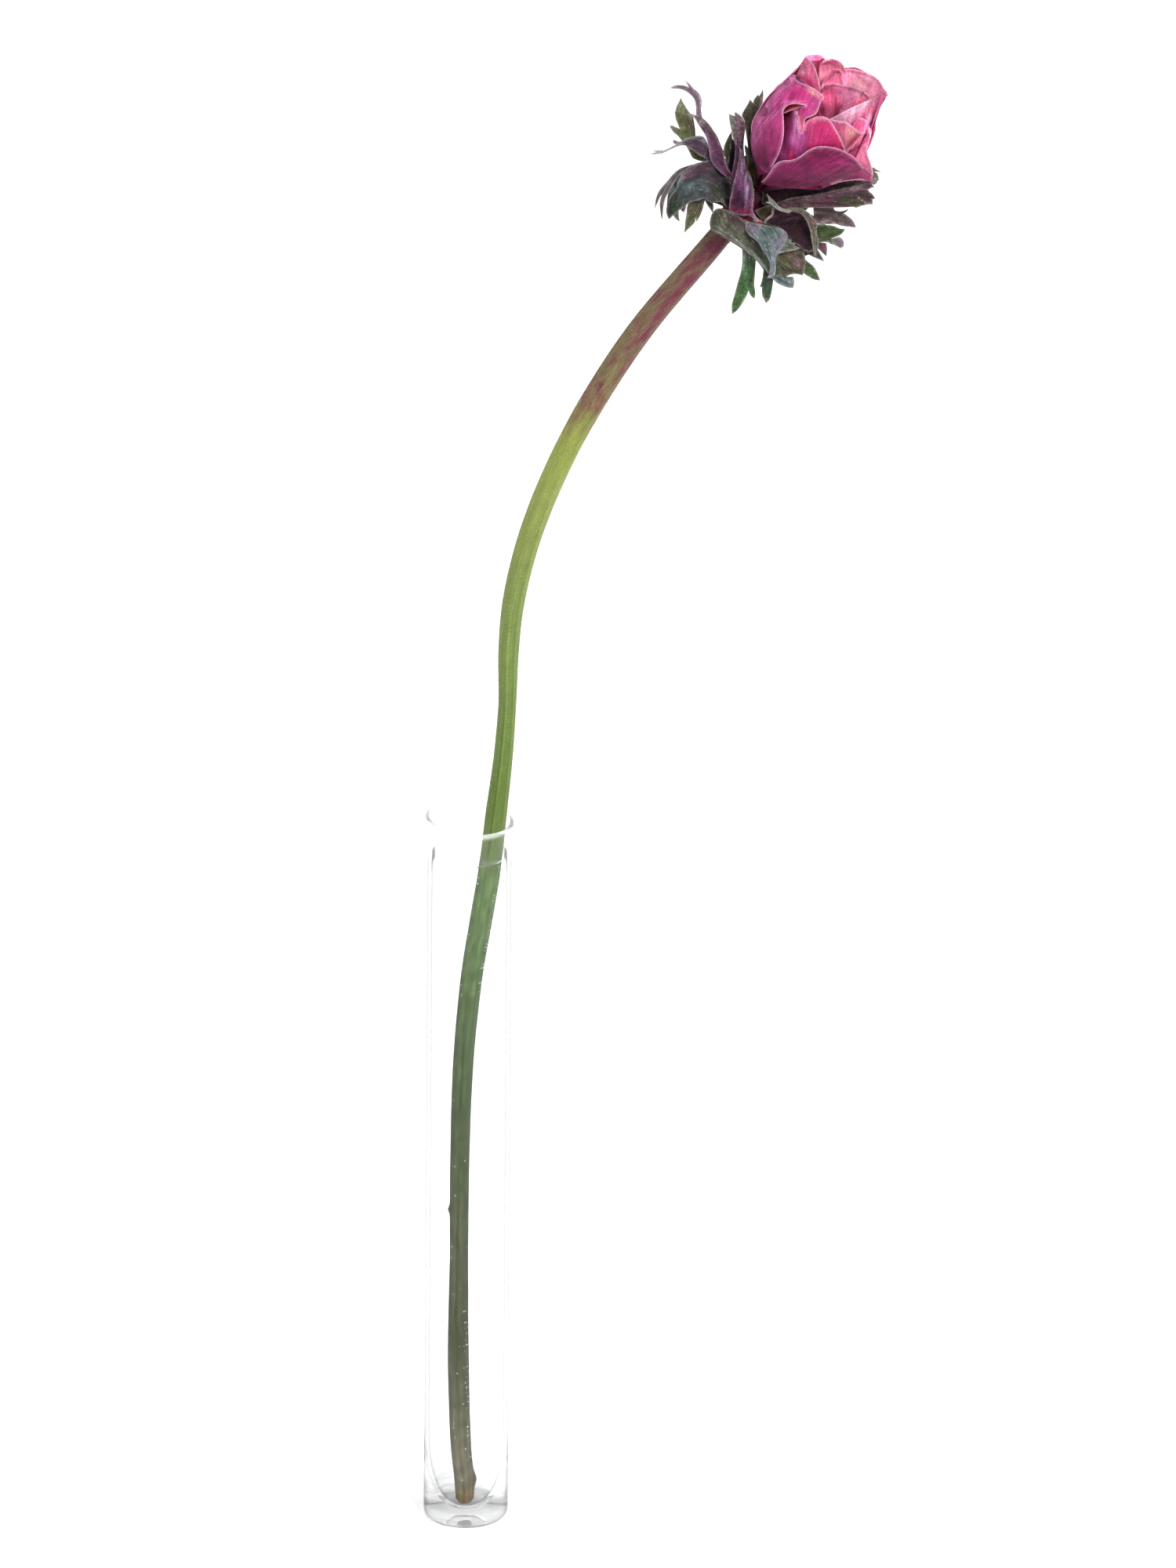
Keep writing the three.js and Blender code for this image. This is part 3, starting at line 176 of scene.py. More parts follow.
# The stem's middle line and its radius there
STEM_LINE = [(-0.3, -1.8, 3.6, 1.7), (-0.3, -1.8, 4.6, 2.3), (-0.4, -2, 10, 2.5), (-1.3, -2.6, 20, 2.55),
    (-2.1, -3.4, 45, 2.65), (-2.1, -3.8, 75, 2.3), (-2, -3.9, 105, 2.4), (-1.2, -3.6, 132, 2.55),
    (0.8, -2.8, 155, 2.7), (3.3, -1.8, 172, 2.8), (5.4, -0.9, 186, 2.75), (6.9, -0.2, 200, 2.7),
    (8.5, 0, 215, 2.4), (9.5, 0, 230, 2.25), (9.8, 0, 246, 2.6), (11.1, 0, 260, 2.8), (15.2, 0, 278, 2.95),
    (21.9, 0, 296.5, 3.05), (31, 0, 315.5, 3.2), (43.3, 0, 336, 3.2), (59.9, 0, 357.8, 3.05),
    (66.6, 0, 366.6, 2.9), (72.75, 0.25, 374.7, 2.5)]

# Lines that run along the stem: from and to this height, angle from its left edge and half width in
# degrees, height in mm, and how much lighter or darker the skin is there: a painted highlight on the raised
# lines and painted shade in the sunk ones
STEM_LINES = [(3, 158, 66, 9, 0.1, 1.22), (3, 158, 84, 8, -0.12, 0.8), (3, 172, 103, 9, 0.08, 1.16),
    (3, 180, 124, 9, -0.08, 0.84), (140, 232, 72, 7, -0.16, 0.66), (150, 250, 81, 6, 0.12, 1.3),
    (160, 225, 92, 5, -0.06, 0.88), (190, 275, 121, 7, -0.1, 0.84), (190, 290, 132, 7, 0.06, 1.16),
    (250, 380, 60, 12, -0.05, 0.93), (262, 370, 104, 9, -0.06, 0.93), (3, 380, 270, 10, -0.1, 0.85),
    (3, 380, 215, 10, 0.08, 1.1), (3, 380, 320, 10, 0.08, 1.1)]

# The stem's colour by its height
STEM_COLOURS = [(3, (150, 118, 70)), (6, (156, 132, 92)), (9, (138, 130, 104)), (13, (128, 124, 102)),
    (18, (128, 122, 98)), (32, (104, 106, 80)), (54, (82, 88, 58)), (75, (86, 92, 62)), (92, (86, 96, 62)),
    (120, (80, 96, 56)), (143, (92, 112, 68)), (160, (104, 128, 78)), (176, (112, 140, 84)),
    (190, (116, 136, 82)), (200, (106, 127, 64)), (207, (104, 126, 60)), (230, (114, 134, 70)),
    (260, (126, 143, 78)), (290, (142, 154, 82)), (308, (146, 158, 76)), (320, (136, 138, 76)),
    (332, (122, 104, 72)), (346, (108, 72, 66)), (360, (88, 42, 54)), (380, (70, 24, 40))]

# Air bubbles on the stem: from and to this height, how many, and the degrees round it that they lie in
BUBBLES = [(150, 189, 90, (140, 200)), (150, 189, 30, (-15, 30)), (16, 60, 60, (120, 190)),
    (8, 60, 14, (40, 160)), (60, 150, 24, (0, 190))]

# Outer petals in view, which back the ones drawn by their outlines: rows of points from foot to tip with how
# far each stands off the egg shape, their colours at the foot, over the outer face, over the inner face and
# along the margin (a painted highlight), a side with no pale margin, and soft marks (x, y, half sizes along
# and across, slope, colour, strength), among them painted shade and painted highlights
PETALS = {
    "lowerFront": {
        "seed": 1.0,
        "colours": ((70, 14, 42), (146, 42, 88), (196, 80, 110), (228, 140, 176)),
        "marks": [(6.5, 8, 3, 2.4, 40, (122, 50, 90), 0.6), (18, 12.6, 5, 1.6, 0, (124, 30, 72), 0.55),
            (13, 5.6, 5, 1.4, 0, (120, 30, 70), 0.6), (24, 9.8, 5.5, 0.8, 22, (112, 26, 66), 0.6),
            (25, 11.4, 5, 0.7, 12, (176, 76, 120), 0.5), (25, 8, 5.5, 0.7, 14, (178, 84, 122), 0.5),
            (24, 6.7, 5, 0.7, 10, (120, 44, 78), 0.5), (28, 8.6, 2.4, 1.4, -30, (140, 34, 78), 0.5)],
        "rows": [
            [(3.9, 7.6, 0.5), (4.6, 6.6, 0.8), (5.4, 4.7, -0.4, EDGE), (5.4, 6, 0.6, BACK)],
            [(6.6, 10.6, 0.8), (7.6, 8, 1.4), (9, 4.4, -0.9, EDGE), (10, 6.2, 0.6, BACK)],
            [(11, 11.8, 1), (11.8, 8.4, 1.8), (13, 4.3, -1.1, EDGE), (13.6, 6.4, 0.8, BACK)],
            [(16, 14.8, 1.2), (16.8, 10, 2.2), (17.3, 4.3, -1.1, EDGE), (18.2, 6.4, 1, BACK)],
            [(21.5, 14.7, 1.4), (22.2, 10.5, 2.6), (22.6, 5.9, -0.8, EDGE), (23.2, 7.4, 1.4, BACK)],
            [(26.5, 12.5, 2), (27, 9.6, 3), (27.2, 6.5, -0.4, EDGE), (27.4, 7.4, 1.8, BACK)],
            [(30.4, 8, 2.6), (30.9, 7.4, 2.8), (31.3, 6.9, 0, EDGE), (31.4, 7.2, 2.4, BACK)],
        ],
    },
    "outerLeft": {
        "seed": 2.0,
        "colours": ((74, 12, 44), (152, 44, 100), (186, 56, 100), (232, 150, 186)),
        # The lilac marks along its left edge are painted highlights; the dark marks low at its foot are
        # painted shade.
        "marks": [(1.2, 21, 5, 0.9, 62, (194, 104, 158), 0.7), (6, 28.6, 5.5, 1, 47, (196, 100, 156), 0.7),
            (3.6, 21, 6, 0.35, 58, (196, 110, 160), 0.6), (5.4, 23.4, 6, 0.35, 52, (200, 112, 162), 0.55),
            (10.5, 28.4, 3.6, 1.8, 10, (182, 48, 108), 0.75), (16, 28.8, 1.8, 1.1, -38, (226, 164, 142), 0.9),
            (15.5, 25.4, 1.6, 2.4, 0, (190, 74, 124), 0.7), (10.4, 32, 1.6, 0.8, 10, (216, 140, 186), 0.6),
            (3, 10.5, 3, 2.4, 0, (96, 20, 62), 0.8), (12.6, 26.6, 2.6, 0.6, 0, (206, 100, 150), 0.5),
            (4, 17.6, 2.6, 4, 0, (140, 36, 88), 0.4)],
        "rows": [
            [(4, 10, 0.8, BACK), (1.6, 9.6, -0.7, EDGE), (3.4, 8.6, 0.8), (5.4, 9.6, 1)],
            [(2.8, 14, 0.8, BACK), (0.3, 13.8, -0.5, EDGE), (3.8, 12.4, 1.2), (7.2, 13, 1.2)],
            [(2.4, 18, 1, BACK), (0.2, 18, -0.3, EDGE), (4.3, 17, 1.8), (8.3, 17.4, 1.8)],
            [(3.6, 22, 1, BACK), (1.3, 22.2, -0.2, EDGE), (5.2, 21.6, 2), (8.5, 21.6, 2.4)],
            [(4.8, 24.4, 1, BACK), (2.8, 24.4, -0.2, EDGE), (5.9, 23.8, 2.2), (8.2, 23.8, 3)],
            [(6.6, 27, 1, BACK), (4.6, 27.1, -0.1, EDGE), (7.4, 26, 2.4), (9.6, 25.6, 3.6)],
            [(8, 28.8, 0.8, BACK), (6, 28.8, 0, EDGE), (9.3, 27.3, 2.5), (11.8, 25.8, 3.6)],
            [(9.2, 30.2, 0.6, BACK), (7.2, 30.3, 0, EDGE), (11, 28.2, 2.4), (14.2, 25.1, 2.8)],
            [(10.2, 31.2, 0.5, BACK), (8.4, 31.4, 0, EDGE), (12.2, 28.9, 2.2), (16, 22.9, 2)],
            [(11.2, 32.2, 0.4, BACK), (9.5, 32.4, 0, EDGE), (13.2, 29.6, 2), (17.2, 24.2, 1.7)],
            [(12, 32.9, 0, BACK), (10.6, 33.1, 0, EDGE), (13.8, 30.4, 1.5), (17.9, 26.6, 1.3)],
            [(12.3, 33.2, -0.5, BACK), (11.5, 33, 0, EDGE), (14.4, 30.8, 1.1), (18.8, 27.8, 1)],
        ],
    },
    "middleLeft": {
        "seed": 3.0, "bare": 1,
        "colours": ((74, 12, 40), (132, 42, 86), (190, 60, 96), (232, 150, 182)),
        # Painted light on the mauve mark along its ridge and painted shade in the dark mark at its left.
        "marks": [(12.2, 19, 1.3, 4, 0, (164, 90, 134), 0.85), (9.4, 18, 1.2, 6, 0, (104, 26, 66), 0.6),
            (11.9, 23.2, 0.7, 1.2, 0, (232, 156, 186), 0.8), (11.5, 13.5, 2.4, 1.6, 0, (150, 34, 76), 0.7)],
        "rows": [
            [(5.5, 12.5, -0.8), (8.5, 12.5, -0.1), (11.5, 13.5, 0.1), (14, 14, 0.2)],
            [(6.5, 17.5, -1.2), (9.2, 17.5, -0.6), (11.6, 17.6, 0.8), (13.4, 18.3, 0.3)],
            [(7.6, 21, -2), (9.6, 21, -1), (11.3, 21, 1), (12.4, 21.4, 0.6)],
            [(8.6, 23.4, -3), (10.2, 23.6, -1.6), (11.4, 23.8, 1.2), (12.3, 23.9, 1)],
        ],
    },
    "middleFront": {
        "seed": 4.0, "bare": 0,
        "colours": ((100, 16, 50), (186, 44, 100), (200, 70, 104), (232, 140, 174)),
        "marks": [(18, 21.7, 3, 0.8, 0, (226, 120, 160), 0.8), (17.5, 17.6, 2.6, 2.2, 0, (166, 34, 86), 0.6),
            (13.6, 17, 1, 3, 0, (168, 84, 130), 0.7), (12, 13.4, 2.4, 1.2, 0, (166, 34, 76), 0.7),
            (22, 17, 1, 3, 20, (206, 62, 122), 0.6)],
        "rows": [
            [(10.5, 12, -0.5), (14, 12.6, 0.1), (18.5, 13, 0.6), (23.5, 12.5, 0.2)],
            [(11.5, 16.6, -0.7), (14.5, 17, 0.2), (19, 17.5, 0.9), (23.6, 15.6, 0.3)],
            [(13.2, 19.6, -0.9), (15.2, 20, 0.2), (18.5, 20.6, 0.7), (22, 19.6, 0)],
            [(13.6, 21, -1.2), (15.2, 21.8, 0), (18, 22.8, 0.2), (20.8, 21.9, -0.6)],
        ],
    },
    "bigRight": {
        "seed": 13.0,
        "colours": ((160, 40, 80), (216, 88, 134), (230, 112, 140), (226, 118, 160)),
        # The palest marks in its upper middle are painted highlights.
        "marks": [(28.6, 32, 3, 0.7, 30, (246, 158, 168), 0.6),
            (30.5, 30, 2.4, 0.6, 20, (244, 150, 162), 0.5), (25.6, 32, 0.7, 2, -30, (240, 150, 170), 0.6),
            (33, 25.6, 1.2, 3, 28, (220, 88, 138), 0.8), (31, 24, 1, 3, 20, (226, 104, 146), 0.7),
            (33.8, 28.6, 0.8, 2.4, 60, (210, 84, 150), 0.6)],
        "rows": [
            [(22, 25, -1.4, BACK), (27, 20, -1, BACK), (28.1, 15, 0, EDGE)],
            [(23.2, 29.5, -1.2, BACK), (28.6, 25, -0.8, BACK), (30.5, 20.4, 0, EDGE)],
            [(23.8, 33, -1, BACK), (29.2, 30, -0.4, BACK), (32.1, 25.2, 0, EDGE)],
            [(24.2, 35.1, -1, BACK), (29.8, 34.1, 0, BACK), (33.4, 28.7, 0, EDGE)],
        ],
    },
}

# Petals as they are seen from the front: the side of the bud they lie on, the point their veins spring
# from, their colour, its gain against the shade they lie in (painted light on the faces deep in the bud), how
# much their margins turn up, their outline (0 marks an edge that is bare or hidden), how far they stand off
# the egg shape at a few places, and marks, among them painted shade and painted highlights
PETAL_FACES = {
    "bigRight": {
        "side": BACK, "foot": (24, 16), "colour": (234, 122, 152), "gain": (1.4, 2, 1.9), "curl": 0.1,
        "outline": [(24.2, 35.1), (25.6, 35.2), (27.2, 35), (28.9, 34.6), (30.4, 34), (31.9, 33.2),
            (33.2, 32), (34, 30.6), (34.5, 29.3), (35, 28.7), (34.8, 27.8), (34.2, 26.8), (33.5, 25.6),
            (32.8, 23.6), (32.1, 21.4), (31.4, 19.2), (30.6, 17, 0), (29.6, 14.8, 0), (27, 15, 0),
            (25, 20, 0), (22, 25, 0), (21, 29, 0), (22.5, 33, 0)],
        "lift": [(24.2, 35.1, -1), (34.5, 28.7, 0), (29, 28, -0.8), (30, 15, 0)],
        # The palest marks in its upper middle are painted highlights.
        "marks": [(28.6, 32, 4, 1.4, 20, (242, 142, 158), 0.7), (32, 30, 2.4, 0.8, -50, (240, 126, 156), 0.6),
            (26.5, 33.4, 2, 0.8, 0, (238, 132, 164), 0.6), (27.6, 31.4, 3, 0.3, -28, (246, 160, 168), 0.5),
            (33.6, 27.6, 2.4, 0.7, 62, (216, 96, 156), 0.75), (32.6, 24.4, 2.6, 0.6, 64, (214, 92, 150), 0.7),
            (31.2, 22.4, 2.4, 0.8, 60, (228, 104, 148), 0.7), (30, 31.4, 3, 0.25, -40, (214, 88, 128), 0.4),
            (31.4, 27.4, 2.6, 0.5, 55, (236, 120, 150), 0.6),
            (27.6, 29.8, 2.4, 0.5, -24, (240, 150, 170), 0.5)]},
    "topMiddle": {
        "side": BACK, "foot": (21, 24), "colour": (234, 100, 134), "gain": (1.5, 2.6, 2.3), "curl": 0.15,
        "outline": [(18.6, 37.2), (19.4, 37.4), (20.5, 37.65), (21.6, 37.5), (22.7, 37.1), (23.5, 36.4),
            (24, 35.6), (24.4, 34.9), (25, 33, 0), (24.5, 30, 0), (22, 29, 0), (18, 29, 0), (17.4, 33, 0),
            (17.6, 36, 0)],
        "lift": [(19, 37, -2.8), (24, 35, -3.4), (21, 30, -4.4)],
        "marks": [(20.6, 36.9, 2, 0.3, 4, (206, 60, 112), 0.6),
            (19.2, 36.4, 1.4, 0.3, 14, (176, 40, 90), 0.8), (22.9, 36, 1.1, 0.7, -45, (212, 110, 134), 0.8),
            (21.6, 35.7, 1.4, 0.5, -10, (232, 96, 126), 0.6), (19.6, 34.6, 1, 0.9, 40, (230, 104, 124), 0.6),
            (18.6, 33, 0.8, 1.6, 30, (236, 116, 130), 0.6)]},
    "topBack": {
        "side": BACK, "foot": (16, 24), "colour": (224, 100, 142), "gain": (1.5, 1.8, 1.75), "curl": 0.15,
        "outline": [(13.9, 38.15), (14.6, 38.5), (15.6, 38.65), (16.8, 38.75), (17.8, 38.6), (18.5, 38.15),
            (19.1, 37.4), (19.4, 36.8), (19.6, 35, 0), (19, 32, 0), (18, 29.5, 0), (14.5, 30, 0),
            (13.6, 34, 0)],
        "lift": [(14, 38, -0.6), (19, 37, -1.8), (17, 31, -2.6)],
        "marks": [(16.4, 38, 1.8, 0.6, 4, (206, 84, 118), 0.8),
            (18.2, 36.6, 1.2, 0.3, 18, (180, 46, 96), 0.8), (17, 35.2, 1, 1.6, 20, (220, 88, 112), 0.85),
            (18.2, 33.6, 0.7, 2, 10, (228, 98, 118), 0.8), (15.2, 37.4, 1.6, 0.3, -50, (200, 96, 120), 0.6),
            (17.2, 37, 0.8, 0.6, 0, (214, 76, 120), 0.6)]},
    "innerArch": {
        "side": BACK, "foot": (20.5, 22), "colour": (238, 102, 130), "gain": (1.15, 1.6, 1.75), "curl": 0.3,
        "outline": [(17.9, 28, 0), (17.9, 29.6), (18.2, 31), (18.7, 32.3), (19.3, 33.3), (20.1, 34.1),
            (21, 34.7), (22, 35), (22.8, 34.9), (23.3, 34.3), (23.5, 33.4), (23.7, 32.2), (23.9, 30.8),
            (23.9, 28, 0), (19, 27, 0)],
        "lift": [(19, 33, -5), (23.5, 33, -5.4), (20, 29, -6.6)],
        # The thin dark marks just inside the arch's margin are painted shadow under it.
        "marks": [(20.4, 33, 1.6, 0.3, 48, (170, 60, 96), 0.8),
            (22.3, 34.3, 0.9, 0.25, 0, (176, 70, 104), 0.7), (18.9, 31.4, 0.25, 1.4, 10, (176, 54, 92), 0.7),
            (20.2, 30, 1.2, 1.2, 0, (214, 66, 100), 0.7), (22, 32, 0.8, 1.4, 0, (242, 108, 132), 0.6),
            (23.4, 32.6, 0.2, 1.4, 0, (244, 170, 192), 0.6), (19, 29.4, 0.7, 1, 0, (206, 58, 94), 0.7)]},
    "innerCup": {
        "side": BACK, "foot": (21, 16), "colour": (190, 94, 130), "gain": (1.1, 1.1, 1.1), "curl": 0.2,
        "outline": [(17.6, 21, 0), (17.3, 24, 0), (17.6, 27, 0), (18.4, 29.8, 0), (19, 30.8), (20, 31.2),
            (21.3, 31.35), (22.6, 31.2), (24, 30.9), (25.5, 30.6), (27, 30.2), (28.3, 29.7), (29.4, 29),
            (30.3, 28.3), (30.75, 27.8), (30.5, 27.2), (28.6, 25, 0), (24, 22, 0), (20, 20.6, 0)],
        "lift": [(19, 31, -8), (25, 30.5, -8), (30.6, 28, -6), (23, 24, -10.5), (18, 24, -10.5)],
        "marks": [(19.6, 28, 1.2, 2.4, 0, (196, 62, 98), 0.6), (18.5, 24.4, 0.8, 2, 0, (134, 14, 58), 0.95),
            (20.6, 24.6, 0.7, 2, 8, (196, 78, 118), 0.7), (21.8, 26.4, 0.45, 3, 6, (164, 40, 84), 0.8),
            (23.2, 28.4, 0.6, 2.2, 8, (176, 96, 134), 0.7), (25, 28.6, 1, 1.8, 0, (204, 138, 168), 0.8),
            (27.4, 28.8, 1.6, 1, -16, (214, 156, 184), 0.85),
            (24.6, 25.4, 1.6, 0.9, 40, (206, 118, 150), 0.7), (28, 27, 1.8, 0.5, 34, (220, 112, 136), 0.85),
            (29.7, 28.2, 0.7, 0.35, -44, (142, 48, 66), 0.9),
            (22.4, 30.4, 2.4, 0.4, -4, (214, 130, 164), 0.6), (26.2, 27, 0.4, 1.8, 20, (186, 96, 134), 0.6),
            (20.8, 29.6, 0.35, 1.4, 0, (180, 50, 88), 0.6), (24, 24, 0.35, 1.4, 30, (180, 84, 124), 0.6)]},
    "paleBand": {
        "side": FRONT, "foot": (24, 6), "colour": (228, 146, 178), "gain": (0.58, 0.58, 0.58), "curl": 0.2,
        "outline": [(20.2, 22.1), (22, 23), (24, 24.1), (26, 25.15), (28, 26.05), (29.6, 26.75), (30.8, 27.4),
            (31.9, 26.6, 0), (31.9, 23, 0), (31.2, 20.4, 0), (30, 18, 0), (27, 18, 0), (22, 19, 0)],
        "lift": [(20.2, 22.1, -5.4), (26, 24.5, -4.8), (30.8, 27, -3.8), (31.5, 22, -1.6), (26, 19, -4)],
        "marks": [(26, 24.2, 3, 0.8, 27, (232, 192, 212), 0.85),
            (22.4, 22.5, 1.6, 0.5, 24, (230, 178, 202), 0.8), (29.4, 26, 1.4, 0.5, 26, (236, 196, 212), 0.8),
            (29, 23, 2.6, 0.8, 42, (226, 96, 144), 0.8), (30.9, 25, 1, 1.4, 50, (234, 124, 158), 0.8),
            (27, 22, 1.6, 0.7, 30, (230, 140, 176), 0.7), (31.3, 22.4, 0.5, 2, 0, (232, 128, 164), 0.7),
            (24.4, 22.4, 1.2, 0.5, 20, (222, 140, 172), 0.6)]},
    "topLeft": {
        "side": FRONT, "foot": (15, 20), "colour": (208, 108, 148), "gain": (0.44, 0.37, 0.38), "curl": 0.35,
        "outline": [(13.95, 38.2), (14.7, 37.8), (15.4, 37), (16.1, 35.9), (16.6, 34.8), (17, 33.5),
            (17.4, 32.2), (17.7, 31), (17.85, 29.8), (17.9, 28.6, 0), (16, 27.5, 0), (12.5, 28.5, 0),
            (10.8, 31, 0), (11.4, 32.6, 0), (11.8, 33.6, 0), (12.3, 34.8, 0), (12.9, 36.2, 0),
            (13.4, 37.3, 0)],
        "lift": [(14, 38, -0.5), (17.4, 32, -1.4), (12, 33, -0.1), (15, 30, -1.2)],
        "marks": [(14.2, 36.8, 1.4, 0.7, 70, (208, 130, 166), 0.8),
            (15.1, 34.2, 1.4, 1.2, 60, (216, 112, 150), 0.7),
            (14.6, 31.8, 2.4, 0.8, -24, (204, 62, 116), 0.85),
            # The small near white mark is a painted highlight.
            (16.9, 32.2, 1.4, 0.5, -70, (218, 88, 132), 0.8), (13.4, 34, 0.45, 0.4, 0, (240, 180, 204), 0.8),
            (12.3, 32.6, 0.7, 0.5, -40, (170, 46, 98), 0.85), (15.8, 35.6, 1, 0.25, -62, (196, 92, 130), 0.6),
            (14.2, 33, 0.8, 0.5, 0, (200, 84, 132), 0.6), (17, 30.4, 0.7, 0.6, 0, (206, 70, 112), 0.7)]},
    "lowerRight": {
        "side": FRONT, "foot": (24, 2), "colour": (226, 110, 148), "gain": (0.95, 1.15, 1.15), "curl": 0.3,
        "outline": [(24, 11, 0), (23.6, 13, 0), (24.4, 15, 0), (25.4, 17, 0), (26, 19, 0), (26.2, 20.7, 0),
            (26.8, 21.7, 0), (27.6, 22.3, 0), (28.5, 22.45), (29.5, 22.1), (30.4, 21.3), (31, 20.1),
            (31.1, 18.8), (30.8, 17.2), (30.3, 15.6), (30, 14.2), (30.3, 12.8), (30.9, 11.2), (31.4, 9.6),
            (31.6, 8.2), (31.3, 7.2), (30.6, 6.6, 0), (27, 7, 0)],
        "lift": [(25, 13, -3.4), (26, 17, -3.2), (28, 17, -1.9), (28.4, 20, -2.3), (27, 21.5, -3.4),
            (28.6, 22.2, -2.8), (31, 19, -0.6), (30.2, 14, -0.6), (31.3, 8, 0.2), (29.6, 21.6, -1.6)],
        "marks": [(28.2, 22.1, 1.4, 0.25, -8, (222, 112, 150), 0.3),
            # The dark magenta and crimson marks here and below are painted shadow beside the folded petal;
            # the thin pale mark at its right edge is a painted highlight on the ridge.
            (28.2, 20.8, 1.9, 1.7, 10, (186, 66, 106), 0.92), (27.1, 20.6, 0.7, 0.7, 10, (180, 44, 96), 0.85),
            (27.6, 17.6, 1.4, 1, 50, (150, 10, 44), 0.95), (29.8, 20.6, 0.7, 0.9, 0, (232, 104, 150), 0.7),
            (30.8, 18.8, 0.35, 2.2, 4, (240, 168, 192), 0.8), (29.4, 16.4, 1, 2.4, -10, (220, 104, 136), 0.7),
            (27.4, 15.4, 2.6, 0.6, 52, (196, 48, 92), 0.8), (25.4, 13.4, 1, 0.8, 40, (160, 14, 54), 0.9),
            (29, 12.4, 1.4, 1.6, 0, (232, 122, 150), 0.8), (31, 9, 0.7, 1.8, -6, (242, 172, 182), 0.85),
            (30, 9.8, 0.5, 1.6, -20, (236, 132, 150), 0.7), (27, 12.8, 1.2, 0.9, 20, (216, 88, 134), 0.7),
            (28.6, 19.2, 0.4, 0.8, 0, (216, 90, 130), 0.8), (30.2, 13.6, 0.4, 1.2, 0, (240, 150, 172), 0.6),
            (29.6, 18.4, 0.4, 1, 0, (206, 66, 116), 0.6)]},
    "foldedRight": {
        "side": FRONT, "foot": (23, 4), "colour": (226, 128, 158), "gain": (0.46, 0.36, 0.42), "curl": 0.3,
        "outline": [(19.6, 22, 0), (20.6, 22), (21.8, 21.75), (23, 21.55), (24.3, 21.35), (25.3, 20.85),
            (26.2, 20.2), (27, 19.5), (27.7, 18.95), (28.3, 18.55), (28.9, 18.9), (29.1, 19.5), (28.9, 20),
            (29.3, 19.9), (29.5, 19.2), (29.2, 18.4), (28.6, 17.9), (27.8, 16.8), (26.8, 15.7), (25.8, 14.7),
            (24.6, 13.6), (23, 12, 0), (20, 14, 0), (18.6, 19, 0)],
        "lift": [(20.6, 22, -1.6), (24.3, 21.3, -0.9), (27, 19.5, -0.9), (29, 19.2, -0.1), (25, 15, -1.4),
            (26.8, 16.4, -1.1), (24, 18, -0.6), (21, 17, -0.9)],
        "marks": [(22.2, 21.4, 2.2, 0.4, -8, (236, 188, 206), 0.85),
            (23.2, 20.4, 0.9, 0.6, -10, (220, 84, 128), 0.85),
            (24.6, 20.6, 0.8, 0.4, -20, (224, 150, 170), 0.6),
            (26, 18.6, 1.5, 0.9, -40, (222, 176, 150), 0.95),
            (24.8, 17.4, 1.2, 0.8, -50, (222, 160, 152), 0.85), (23.4, 18.2, 0.7, 1, 0, (226, 120, 146), 0.7),
            # The deep crimson marks are painted shadow along the fold.
            (26.6, 16.6, 2.6, 0.9, 48, (176, 16, 66), 0.97), (25.2, 14.9, 1, 0.5, 45, (158, 10, 48), 0.95),
            (24.2, 15.6, 0.5, 1.4, -30, (222, 130, 150), 0.7),
            (28.2, 18.1, 0.7, 0.25, 46, (206, 50, 104), 0.8),
            # The near white marks are painted highlights on the small curl.
            (28.6, 18.8, 0.4, 0.2, 40, (252, 226, 232), 0.9), (29.1, 19.8, 0.2, 0.4, 0, (250, 220, 230), 0.8),
            (22.4, 19.6, 0.5, 0.9, 30, (214, 90, 134), 0.7)]},
    "middleFront": {
        "side": FRONT, "foot": (13, 0), "colour": (194, 56, 116), "gain": (0.52, 0.44, 0.46), "curl": 0.3,
        "outline": [(9, 11, 0), (10.6, 15, 0), (12, 17.6, 0), (12.9, 18.6), (13.5, 19.2), (13.8, 20.2),
            (14.2, 21.2), (15, 21.9), (16.2, 22.45), (17.6, 22.7), (18.8, 22.55), (19.9, 22.1), (20.8, 21.2),
            (21.6, 19.9), (22.4, 18.5), (23.2, 16.9), (23.8, 15.5), (24.3, 14), (24, 12, 0), (18, 11, 0)],
        "lift": [(13.5, 19.2, 0.5), (17.6, 22.6, 0.4), (22.4, 18.5, 0.4), (24, 14, 0.3), (18, 17, 1.2),
            (12, 14, 0.2)],
        "marks": [(18, 22, 2.6, 0.5, 0, (228, 150, 180), 0.85),
            (16.2, 21.2, 1.2, 0.5, 20, (216, 112, 154), 0.8), (20.4, 21, 1, 0.4, -52, (222, 120, 160), 0.7),
            (18.2, 18, 1.2, 2.6, 0, (172, 40, 98), 0.8), (19.6, 15.6, 2.4, 1.2, 0, (188, 36, 98), 0.7),
            (16.4, 16.4, 0.8, 2.4, 0, (184, 60, 120), 0.6), (22.2, 16.6, 0.9, 2.4, 26, (212, 54, 116), 0.8),
            (14.6, 18, 0.5, 2, 0, (196, 90, 146), 0.7), (13.4, 16.6, 0.8, 1.6, 0, (152, 70, 132), 0.8),
            (14, 13.6, 2, 1, 10, (176, 42, 96), 0.7), (21.6, 19.4, 0.3, 2, 32, (228, 120, 166), 0.7),
            (18, 13.6, 3, 0.6, 0, (150, 24, 76), 0.6), (15.6, 19.6, 0.4, 1.2, 0, (206, 96, 146), 0.6)]},
    "middleLeft": {
        "side": FRONT, "foot": (9, 4), "colour": (152, 66, 122), "gain": (0.72, 0.6, 0.66), "curl": 0.25,
        "outline": [(6, 10.5, 0), (7, 13, 0), (7.8, 15, 0), (8.2, 17, 0), (8.3, 20, 0), (8.2, 22, 0),
            (8.1, 23.6, 0), (9, 24.8, 0), (10.6, 25.2, 0), (11.6, 24.3), (12.3, 24), (12.5, 23.3),
